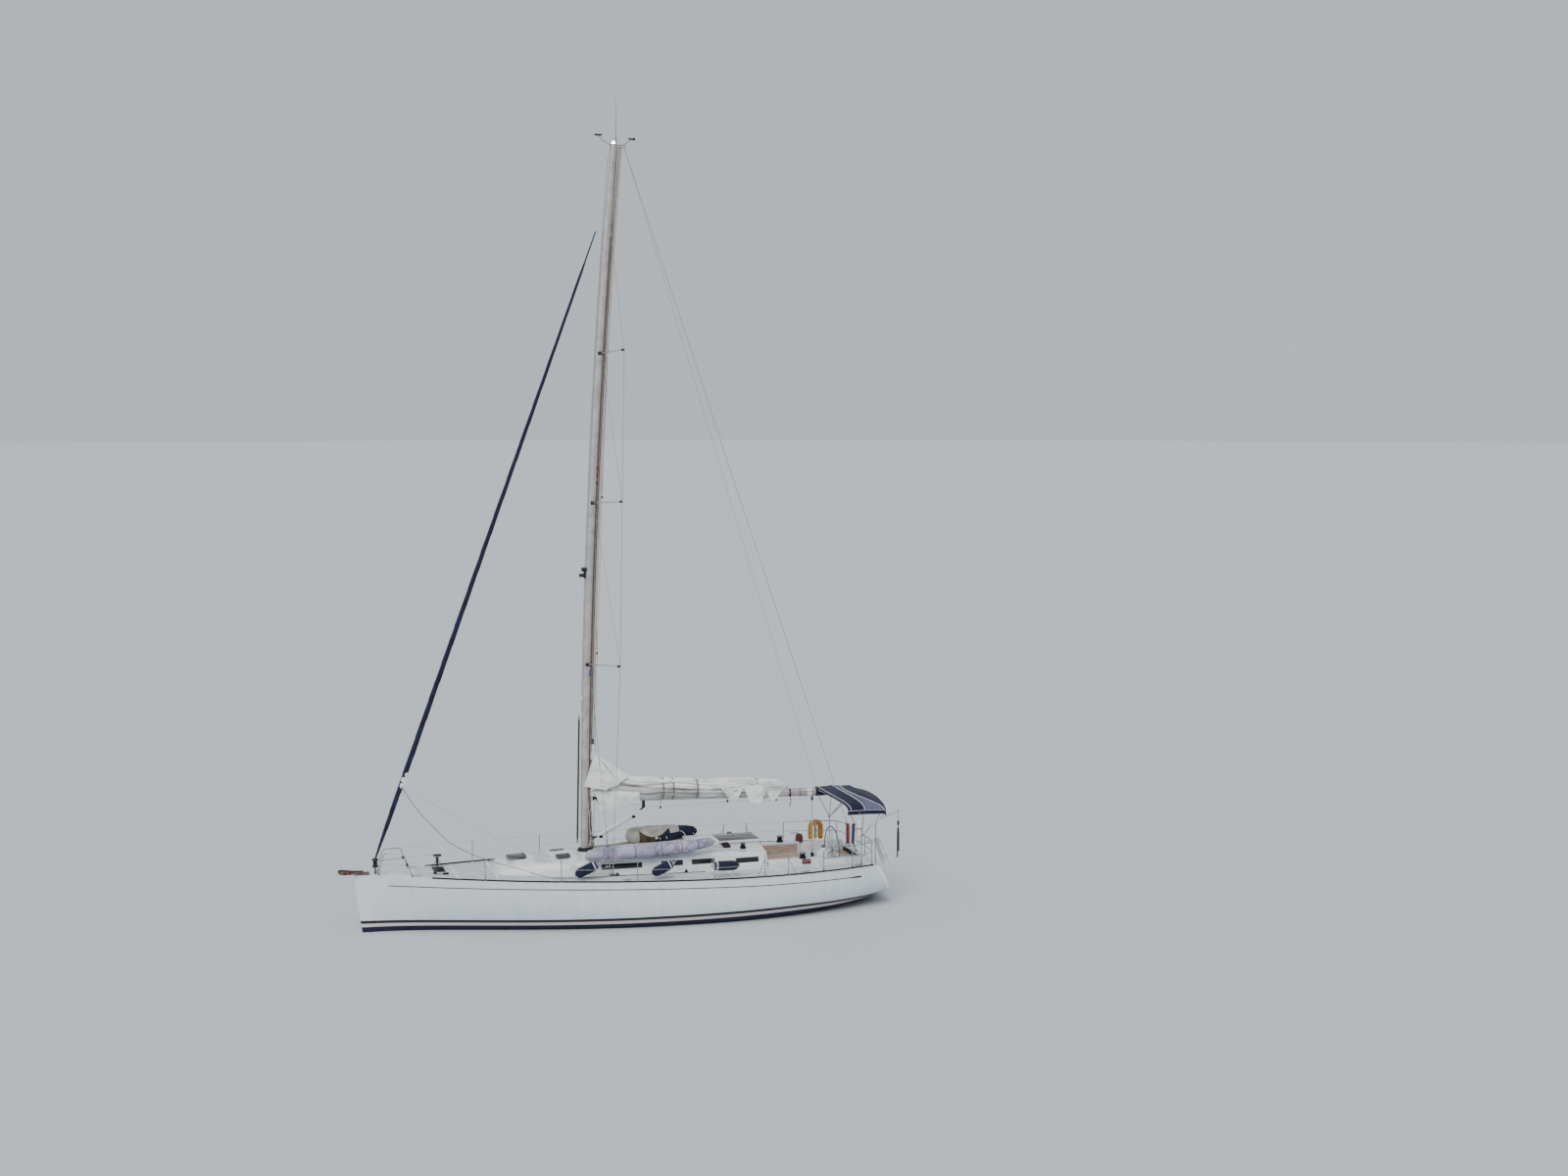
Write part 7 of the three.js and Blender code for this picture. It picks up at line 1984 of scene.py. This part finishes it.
for y in (0.68, 0.96):
    pipe(plank, [(-7.560, y, 1.765), (-7.235, y, 1.765)], 0.010, sides=10, mark=2)
    turned(plank, [(0.024, -0.012), (0.026, 0.0), (0.024, 0.012)], (-7.232, y, 1.765), 14, 2, axis=(1, 0, 0))
make_piece("gangway_plank", plank, [laminate_white, black_plastic, stainless], "yacht", "gangway_laminate",
           ["gangway"])

# Lifebuoy
# A horseshoe of foam in an ochre cloth cover with a sewn seam and a yellow strap across its gap,
# that stands on the starboard stern rail in a steel bracket.

# Coated cloth: orange faded to ochre, with a dull shine and small wrinkles over the foam.
ochre_cloth = mottled("vinyl_cloth_ochre_orange", "#a5651a", "#cf8d33", 90, relief=(24, 4.0, 1.2),
                      Roughness=0.5, IOR=1.5, Coat_Weight=0.15)
yellow_strap = mottled("webbing_polyester_yellow", "#c9a32c", "#e6c552", 20, Roughness=0.8, Sheen_Weight=0.2)
BUOY_X, BUOY_Y, BUOY_Z, BUOY_HALF = -6.560, -1.890, 1.690, 0.155
buoy_path = [Vector((BUOY_X + BUOY_HALF, BUOY_Y, z)) for z in np.linspace(1.325, 1.66, 8)]
buoy_path += [Vector((BUOY_X + math.cos(a) * BUOY_HALF, BUOY_Y, BUOY_Z + math.sin(a) * BUOY_HALF))
              for a in np.linspace(0, math.pi, 17)]
buoy_path += [Vector((BUOY_X - BUOY_HALF, BUOY_Y, z)) for z in np.linspace(1.66, 1.325, 8)]
buoy = Solids()
lengths = [0.0]
for a, b in zip(buoy_path, buoy_path[1:]):
    lengths.append(lengths[-1] + (b - a).length)
rings = []
for k, point in enumerate(buoy_path):
    share = lengths[k] / lengths[-1]
    end = min(share, 1 - share)
    size = 0.080 * min(1.0, 0.72 + end * 6.0)
    ahead, behind = buoy_path[min(k + 1, len(buoy_path) - 1)], buoy_path[max(k - 1, 0)]
    tangent = (ahead - behind).normalized()
    outwards = Vector((0, 1, 0)).cross(tangent).normalized()
    ring = []
    for j in range(24):
        angle = 2 * math.pi * j / 24
        seam = 1 - 0.07 * math.exp(-((abs(math.sin(angle))) / 0.12) ** 2)
        pucker = 1 + 0.012 * noise.noise(point * 22 + Vector((math.cos(angle), math.sin(angle), 0)) * 2)
        ring.append(tuple(point + (outwards * math.cos(angle) * 1.0
                                   + Vector((0, 1, 0)) * math.sin(angle) * 0.78) * size * seam * pucker))
    rings.append(ring)
buoy.loft(rings)
slab(buoy, (BUOY_X - 0.024, BUOY_Y - 0.070, 1.36), (BUOY_X + 0.024, BUOY_Y + 0.070, 1.855), 0.010, 2)
slab(buoy, (BUOY_X - 0.20, BUOY_Y + 0.066, 1.42), (BUOY_X + 0.20, BUOY_Y + 0.074, 1.45), 0.003, 2)
lifebuoy_piece = make_piece("lifebuoy_horseshoe", buoy, [ochre_cloth, piping_cloth, yellow_strap], "yacht",
                            "lifebuoy_cloth", ["lifebuoy"], crease=60)
buoy_bracket = Solids()
for z in (1.615, 1.905):
    pipe(buoy_bracket, [(BUOY_X, rail_y(BUOY_X, -1), z), (BUOY_X, BUOY_Y + 0.072, z)], 0.009, sides=8)
make_piece("lifebuoy_bracket", buoy_bracket, [stainless], "yacht", "stainless")

# Fenders
# Three inflated fenders in knitted navy covers, laid along the port rail. Each has a white band and
# a pale eye end where its line is tied to the lifeline.

# Knitted acrylic: deep navy with no gloss, and stitches some 5 mm wide.
fender_cover = mottled("knitted_acrylic_navy", "#090c22", "#151b40", 70, relief=(5, 2.0, 0.8), Roughness=0.95,
                       Sheen_Weight=0.1)
# Moulded vinyl: smooth, with a soft shine.
vinyl_pale = mottled("vinyl_moulded_pale_blue", "#8d95b4", "#b9bfd2", 40, Roughness=0.4, IOR=1.52)
FENDERS = [("fender_forward", (1.430, 1.570, 1.560), (0.800, 1.630, 1.830), (0.55, 1.52, 2.02)),
           ("fender_middle", (-0.640, 1.870, 1.520), (-1.240, 1.890, 1.785), (-1.45, 1.84, 1.98)),
           ("fender_aft", (-3.080, 1.990, 1.620), (-2.300, 1.985, 1.640), (-2.33, 1.975, 1.93))]
FENDER_SIZES = [(0, 0.22), (0.035, 0.50), (0.07, 0.70), (0.13, 0.88), (0.2, 0.96), (0.5, 1.0), (0.80, 0.96),
                (0.87, 0.86), (0.93, 0.68), (0.97, 0.46), (1.0, 0.22)]
for name, start, end, tied_to in FENDERS:
    start, end = Vector(start), Vector(end)
    body = Solids()
    shares = sorted(set(list(np.linspace(0, 1, 29)) + [0.80, 0.845]))
    for low_share, high_share in zip(shares, shares[1:]):
        middle = (low_share + high_share) / 2
        mark = 1 if 0.80 <= middle <= 0.845 else (2 if middle > 0.93 else 0)
        body.loft(tube_rings([start.lerp(end, low_share), start.lerp(end, high_share)],
                             [0.138 * float(np.interp(s, [r[0] for r in FENDER_SIZES],
                                                      [r[1] for r in FENDER_SIZES]))
                              for s in (low_share, high_share)], 28), mark,
                  ends=low_share == 0 or high_share == 1)
    way = (end - start).normalized()
    turned(body, [(0.030, -0.004), (0.028, 0.030), (0.020, 0.042)], end, 14, 2, axis=way)
    turned(body, [(0.030, -0.004), (0.026, 0.020)], start, 14, 2, axis=-way)
    pipe(body, [end + way * 0.03, end.lerp(Vector(tied_to), 0.5) + Vector((0, 0, -0.02)), tied_to], 0.006,
         0.05, 8, 3)
    make_piece(f"{name}_in_cover", body, [fender_cover, piping_cloth, vinyl_pale, rope_white], "yacht",
               "navy_cloth", [name], crease=50, merge=1e-4)

# Sail bag
# A spare headsail in a long bag of lavender-grey nylon on the port side deck. It is lofted slack,
# blown up as cloth between its ties, and pressed in where the shrouds stand against it.


def swollen(piece, voxel, pressure, cap, tied=None, slack=-0.03):
    """Remeshes the piece and lets its cloth swell between the points where tied gives 1."""
    skin = piece.modifiers.new("skin", "REMESH")
    skin.mode = "VOXEL"
    skin.voxel_size = voxel
    make_solid(piece)
    rest = [v.co.copy() for v in piece.data.vertices]
    group = piece.vertex_groups.new(name="tied")
    for i, spot in enumerate(rest):
        group.add([i], tied(spot) if tied else 0.0, "REPLACE")
    cloth = piece.modifiers.new("cloth", "CLOTH")
    cloth.settings.quality = 4
    cloth.settings.mass = 0.3
    cloth.settings.use_pressure = True
    cloth.settings.uniform_pressure_force = pressure
    cloth.settings.shrink_min = slack
    cloth.settings.bending_stiffness = 0.2
    cloth.settings.vertex_group_mass = "tied"
    cloth.settings.effector_weights.gravity = 0
    cloth.point_cache.frame_start, cloth.point_cache.frame_end = 1, 20
    scene = bpy.context.scene
    for frame_number in range(1, 21):
        scene.frame_set(frame_number)
    swelled = piece.evaluated_get(bpy.context.evaluated_depsgraph_get()).to_mesh()
    moved = [v.co.copy() for v in swelled.vertices]
    piece.modifiers.clear()
    for vertex, old, new in zip(piece.data.vertices, rest, moved):
        step = new - old
        vertex.co = old + step * min(1.0, cap / max(step.length, 1e-9))
    scene.frame_set(1)
    piece.vertex_groups.clear()
    finer = piece.modifiers.new("finer", "SUBSURF")
    finer.levels = finer.render_levels = 1
    make_solid(piece)


bag_cloth, tree, shader = start_material("nylon_cloth_lavender_grey", Roughness=0.6, IOR=1.5,
                                         Sheen_Weight=0.1)
# The attribute holds painted shade: dark in the creases and along the bag's lower side.
crease_and_underside_shade = add_node(tree, "ShaderNodeAttribute", attribute_name="crease_and_underside_shade").outputs["Fac"]
lavender = between(tree, uneven(tree, 380, 5.0), linear("#928fa9"), linear("#aeaac1"))
tree.links.new(blended(tree, crease_and_underside_shade, lavender, linear("#68647d")), shader.inputs["Base Color"])
raised(tree, shader, uneven(tree, 30, 4.0), 1.2)
BAG_ROWS = [(1.09, 1.20, 1.95, 0.05), (1.04, 1.20, 1.965, 0.105), (0.96, 1.2, 1.985, 0.155),
            (0.75, 1.2, 1.995, 0.185), (0.0, 1.2, 2.01, 0.195), (-1.0, 1.2, 2.02, 0.190),
            (-1.9, 1.18, 2.07, 0.175), (-2.3, 1.13, 2.11, 0.145), (-2.5, 1.10, 2.12, 0.105),
            (-2.65, 1.06, 2.12, 0.05)]
BAG_TIES = (0.58, -0.30, -1.05, -1.62, -2.10)
bag = Solids()
rings = []
for x in np.linspace(1.09, -2.65, 150):
    y, z, r = row_values(BAG_ROWS, x, (1, 2, 3))
    tied = min(abs(x - t) for t in BAG_TIES)
    r *= 1 - (0.06 if x < -0.4 else 0.03) * math.exp(-(tied / 0.055) ** 2)
    aft = clamped(-0.3 - x)
    ring = []
    for k in range(40):
        a = 2 * math.pi * k / 40
        c, s = math.cos(a), math.sin(a)
        scale = 1 + 0.05 * noise.noise(Vector((x * 2.2, c * 1.2, s * 1.2)))
        scale += aft * 0.09 * facet((x * 0.9, c * 0.30, s * 0.30), 0.24, 4.0) * (0.4 + 0.6 * max(s, 0))
        px, py, pz = x, y + c * r * 1.12 * scale, z + s * r * 0.93 * scale
        pz = max(pz, roof_z(px, max(min(py, 1.9), -1.9)) + 0.012)
        ring.append((px, py, pz))
    rings.append(ring)
bag.loft(rings)
bag_piece = make_piece("sail_bag_cloth", bag, [bag_cloth, navy_cloth], "yacht", "bag_cloth", ["sail_bag"],
                       crease=60)
swollen(bag_piece, 0.022, 3.0, 0.018, tied=lambda p: 1.0 if min(abs(p.x - t) for t in BAG_TIES) < 0.022
        or p.x > 1.05 or p.x < -2.6 else 0.0)
# The slack cloth on the after half lies in scales, with a crease between each and the next.
bag_shades = []
normals = [v.normal.copy() for v in bag_piece.data.vertices]
for vertex, normal in zip(bag_piece.data.vertices, normals):
    spot = vertex.co
    near = noise.voronoi(Vector((spot.x / 0.34 + spot.z * 1.5, spot.y / 0.30, spot.z / 0.24)))[0]
    loose = clamped((-0.25 - spot.x) / 0.6) * clamped((spot.x + 2.62) / 0.2)
    crease = max(0.0, 1 - (near[1] - near[0]) / 0.16) * loose
    vertex.co = spot + normal * (0.010 * loose - 0.022 * crease)
    # Painted shade: darker in the creases and towards the bag's lower side.
    low_side = clamped((1.98 - spot.z) / 0.14)
    bag_shades.append(min(1.0, 0.8 * crease ** 1.5 + 0.55 * low_side))
give_values(bag_piece, "crease_and_underside_shade", bag_shades)
for vertex in bag_piece.data.vertices:
    spot = vertex.co
    for foot_end, head_end in ((Vector((0.33, 1.29, 1.40)), Vector((0.22, 1.516, 7.22))),
                               (Vector((0.39, 1.265, 1.44)), Vector((0.75, 0.087, 6.95)))):
        share = (spot.z - foot_end.z) / (head_end.z - foot_end.z)
        wire_at = foot_end.lerp(head_end, share)
        away = abs(spot.x - wire_at.x)
        if spot.y > wire_at.y - 0.03 and away < 0.11:
            press = 1 - (away / 0.11) ** 2
            spot.y += (min(spot.y, wire_at.y - 0.022) - spot.y) * min(1.0, press * 1.6)
bag_piece.data.polygons.foreach_set("use_smooth", [True] * len(bag_piece.data.polygons))
bag_ties = Solids()
bag_skin = BVHTree.FromPolygons([vertex.co for vertex in bag_piece.data.vertices],
                                [tuple(face.vertices) for face in bag_piece.data.polygons])
for x in BAG_TIES:
    y, z = row_values(BAG_ROWS, x, (1, 2))
    rings = []
    for at, above_cloth in ((-0.014, -0.004), (-0.011, 0.002), (0.011, 0.002), (0.014, -0.004)):
        ring = []
        for k in range(48):
            a = 2 * math.pi * k / 48
            outward = Vector((0, math.cos(a), math.sin(a)))
            middle = Vector((x + at, y, z))
            cloth_at = bag_skin.ray_cast(middle + outward * 0.5, -outward)[0]
            ring.append(tuple(cloth_at + outward * above_cloth))
        rings.append(ring)
    bag_ties.loft(rings)
make_piece("sail_bag_ties", bag_ties, [slate_cloth], "yacht", "bag_cloth")

# Deck bundle
# A folded dinghy on the starboard side of the roof, under a grey canvas cover that hangs to the deck in
# front, in a scallop amidships and as a flap behind. Under the front of the scallop a dark brown is painted
# as the cover's shadow, and behind it the navy end shows below the cover, with white grab ropes looped along
# them.

# Woven cotton canvas: matt stone grey, crumpled. Below its scallop a duller dark brown is painted as the
# cover's shadow.
stone_cloth = mottled("canvas_cotton_cream", "#8f8d86", "#b5b2a8", 260, 5.0, relief=(22, 4.0, 1.5),
                      Roughness=0.85, IOR=1.45, Sheen_Weight=0.2)
cover_shadow_brown = mottled("cloth_brown_painted_shadow", "#33241d", "#54402f", 120, relief=(20, 3.0, 1.0),
                      Roughness=0.7, IOR=1.5)
BUNDLE_ROWS = [(-0.48, -0.60, 0.04), (-0.54, -0.60, 0.13), (-0.62, -0.60, 0.19), (-1.20, -0.62, 0.225),
               (-1.75, -0.66, 0.215), (-2.0, -0.74, 0.19), (-2.3, -0.82, 0.165), (-2.5, -0.85, 0.13),
               (-2.60, -0.86, 0.05)]
bundle = Solids()


def bundle_width(x):
    """How much wider than high the bundle is: it narrows behind."""
    return 1.45 if x > -1.9 else 1.45 - 0.45 * min(1.0, (-1.9 - x) / 0.3)


rings = []
for x in np.linspace(-0.48, -2.60, 100):
    y, r = row_values(BUNDLE_ROWS, x, (1, 2))
    wide = bundle_width(x)
    ring = []
    for k in range(48):
        a = 2 * math.pi * k / 48
        c, s = math.cos(a), math.sin(a)
        scale = 1 + 0.10 * facet((x * 0.8, c * 0.35, s * 0.3), 0.26, 12.0)
        py = y + math.copysign(abs(c) ** 0.8, c) * r * wide * scale
        pz = 2.045 + math.copysign(abs(s) ** 0.85, s) * r * 0.98 * scale
        ring.append((x, py, max(pz, roof_z(x, py) + 0.010)))
    rings.append(ring)
bundle.loft(rings)
bundle_piece = make_piece("deck_bundle_cloth", bundle, [stone_cloth, cover_shadow_brown, navy_cloth], "yacht",
                          "bundle_cloth", ["deck_bundle"], crease=60)
swollen(bundle_piece, 0.022, 2.5, 0.022, tied=lambda p: 1.0 if p.z < roof_z(p.x, p.y) + 0.03 else 0.0)
COVER_FRONT, COVER_BACK, NAVY_FRONT = -0.80, -2.00, -1.25


def cover_edge(x):
    """The cover hangs to the deck in front, in one long scallop amidships and as a flap behind."""
    if x > COVER_FRONT:
        return 1.0
    if x > -1.70:
        return min(2.055 + 0.20 * ((x + 1.22) / 0.45) ** 2, 2.235)
    return 2.125 if x > COVER_BACK else 9.0


cover_marks = []
for polygon in bundle_piece.data.polygons:
    spot = polygon.center
    if spot.z > cover_edge(spot.x):
        cover_marks.append(0)
    else:
        # Mark 1, ahead of the navy end, is the painted shadow under the cover.
        cover_marks.append(1 if spot.x > NAVY_FRONT else 2)
bundle_piece.data.polygons.foreach_set("material_index", cover_marks)
covered = set()
for polygon, mark in zip(bundle_piece.data.polygons, cover_marks):
    if mark == 0:
        covered.update(polygon.vertices)
normals = [v.normal.copy() for v in bundle_piece.data.vertices]
for index in covered:
    spot = bundle_piece.data.vertices[index].co
    fold = 0.055 * facet((spot.x * 0.9, spot.y * 0.8, spot.z), 0.27, 21.0)
    bundle_piece.data.vertices[index].co = spot + normals[index] * (0.014 + max(fold, -0.004))
bundle_piece.data.polygons.foreach_set("use_smooth", [True] * len(bundle_piece.data.polygons))
loops = Solids()
for x, half_x, rise in ((-1.50, 0.10, 0.13), (-1.98, 0.20, 0.17), (-2.40, 0.08, 0.10)):
    y, r = row_values(BUNDLE_ROWS, x, (1, 2))
    wide = bundle_width(x)
    arch = [(x + half_x * math.cos(a), y + r * wide * (1.04 - 0.30 * math.sin(a)), 1.97 + rise * math.sin(a))
            for a in np.linspace(0, math.pi, 13)]
    pipe(loops, arch, 0.012, sides=8)
slab(loops, (-1.34, -0.32, 1.98), (-1.25, -0.27, 2.06), 0.02)
make_piece("deck_bundle_grab_ropes", loops, [rope_white], "yacht", "bundle_cloth")

# Ensign and throw float
# A plain flag in red, white and navy hangs in folds from its staff on the port stern rail. A white
# tapered float with its strap hangs aft of it, from the canvas frame.

# Bunting: a thin matt weave, printed through.
bunting = [mottled(f"bunting_woven_{name}", dark, pale, 60, Roughness=0.85, Sheen_Weight=0.2)
           for name, dark, pale in (("red", "#5d1720", "#7d2430"), ("white", "#c8bcb8", "#e6dedb"),
                                    ("navy", "#1b2040", "#2b3258"))]
FLAG_TOP, FLAG_DROP = 2.530, 0.600
flag_points, flag_faces, flag_marks = [], [], []
FLAG_COLUMNS, FLAG_STEPS = 90, 14
flag_line = []
for k in range(FLAG_COLUMNS + 1):
    u = k / FLAG_COLUMNS
    waver = 0.6 + 0.4 * math.sin(7 * u)
    flag_line.append((-6.325 - 0.255 * u, 1.650 + 0.045 * math.sin(2 * math.pi * 5.5 * u) * waver))
for i in range(FLAG_STEPS + 1):
    t = i / FLAG_STEPS
    for k, (x, y) in enumerate(flag_line):
        u = k / FLAG_COLUMNS
        squeeze = 1 - 0.10 * t * u
        flag_points.append((-6.325 + (x + 6.325) * squeeze, 1.65 + (y - 1.65) * (0.9 + 0.2 * t),
                            FLAG_TOP - FLAG_DROP * t - 0.03 * u * (1 - t)))
for i in range(FLAG_STEPS):
    for k in range(FLAG_COLUMNS):
        row = FLAG_COLUMNS + 1
        flag_faces.append((i * row + k, i * row + k + 1, (i + 1) * row + k + 1, (i + 1) * row + k))
        flag_marks.append(0 if k < 26 else (1 if k < 60 else 2))
flag_mesh = bpy.data.meshes.new("ensign_hanging")
flag_mesh.from_pydata(flag_points, [], flag_faces)
flag_mesh.polygons.foreach_set("material_index", flag_marks)
for material in bunting:
    flag_mesh.materials.append(material)
flag = new_object("ensign_hanging", flag_mesh)
thickness = flag.modifiers.new("thickness", "SOLIDIFY")
thickness.thickness = 0.002
make_solid(flag)
flag.data.polygons.foreach_set("use_smooth", [True] * len(flag.data.polygons))
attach(flag, "yacht")
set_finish(flag, "navy_cloth")
staff = Solids()
pipe(staff, [(-6.312, 1.640, 1.80), (-6.312, 1.640, 2.60)], 0.011, sides=10)
turned(staff, [(0.016, 0.0), (0.018, 0.012), (0.010, 0.026), (0.002, 0.030)], (-6.312, 1.640, 2.60), 12)
pipe(staff, [(-6.312, 1.640, 1.84), (-6.312, rail_y(-6.312, 1), 1.90)], 0.009, sides=8)
make_piece("ensign_staff", staff, [stainless], "yacht", "stainless")
float_piece = Solids()
turned(float_piece, [(0.015, 0.0), (0.030, 0.010), (0.045, 0.15), (0.068, 0.40), (0.088, 0.62), (0.092, 0.76),
                     (0.080, 0.84), (0.050, 0.89), (0.016, 0.905)], (-6.70, 1.640, 1.72), 24, 0)
pipe(float_piece, [(-6.70, 1.640, 2.62), (-6.74, 1.560, 2.74), (-6.80, 1.470, 2.79)], 0.006, 0.05, 8, 1)
pipe(float_piece, [(-6.70, 1.640, 1.73), (-6.705, 1.66, 1.66), (-6.70, rail_y(-6.70, 1), 1.62)], 0.006,
     0.05, 8, 1)
for z in (1.98, 2.36):
    radius = 0.060 if z < 2.1 else 0.0885
    turned(float_piece, [(radius - 0.006, -0.014), (radius + 0.004, -0.012), (radius + 0.008, 0.012),
                         (radius - 0.004, 0.014)], (-6.70, 1.640, z), 24, 2)
make_piece("throw_float", float_piece, [piping_cloth, rope_white, webbing], "yacht", "lifebuoy_cloth")

# Cockpit details
# A dark red handle pocket on the port coaming, a spare winch under its red cover to starboard, the
# rails and wooden trim of the sliding hatch, the engine's stop lever and the boarding ladder.

# Coated canvas: dark red and matt, with small wrinkles.
red_cover = mottled("canvas_coated_dark_red", "#4d1318", "#702229", 70, relief=(12, 3.0, 0.8), Roughness=0.7,
                    IOR=1.5, Sheen_Weight=0.2)
details = Solids()
slab(details, (-5.405, 1.242, 1.35), (-5.135, 1.285, 1.48), 0.018, 0)
turned(details, [(0.115, 0.0), (0.118, 0.05), (0.112, 0.14), (0.092, 0.205), (0.045, 0.230), (0.002, 0.234)],
       (-5.80, -1.118, 1.462), 24, 0)
pipe(details, [(-5.80, -1.118, 1.68), (-5.72, -1.08, 1.73), (-5.52, -1.06, 1.72)], 0.011, 0.05, 8, 1)
make_piece("cockpit_covers", details, [red_cover, black_plastic], "yacht", "bag_cloth")
trims = Solids()
for side in (1, -1):
    slab(trims, (-4.150, min(side * 0.415, side * 0.455), 1.915),
         (-2.950, max(side * 0.415, side * 0.455), 1.968), 0.006, 0)
    slab(trims, (-4.150, min(side * 0.420, side * 0.450), 1.966),
         (-2.950, max(side * 0.420, side * 0.450), 1.980), 0.004, 1)
    slab(trims, (-4.170, min(side * 0.345, side * 0.395), 1.20),
         (-4.156, max(side * 0.345, side * 0.395), 1.930), 0.004, 1)
slab(trims, (-4.170, -0.395, 1.175), (-4.156, 0.395, 1.215), 0.004, 1)
make_piece("companionway_trim", trims, [gelcoat_roof, teak], "yacht", "teak")
ladder = Solids()


def on_transom(y, z, off):
    """A point off the raked transom by the distance off."""
    return Vector((transom_x(z) - off, y, z))


for y in (-0.62, -0.28):
    pipe(ladder, [on_transom(y, 1.06, 0.035), on_transom(y, 0.40, 0.035)], 0.013, sides=12)
    for z in (1.02, 0.46):
        turned(ladder, [(0.028, 0.001), (0.028, 0.006), (0.012, 0.010), (0.012, 0.036)],
               on_transom(y, z, 0.0), 14, axis=(-1, 0, 0))
for z in (0.44, 0.62, 0.80, 0.98):
    pipe(ladder, [on_transom(-0.62, z, 0.035), on_transom(-0.28, z, 0.035)], 0.012, sides=10)
make_piece("boarding_ladder", ladder, [stainless], "yacht", "stainless")
low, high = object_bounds()
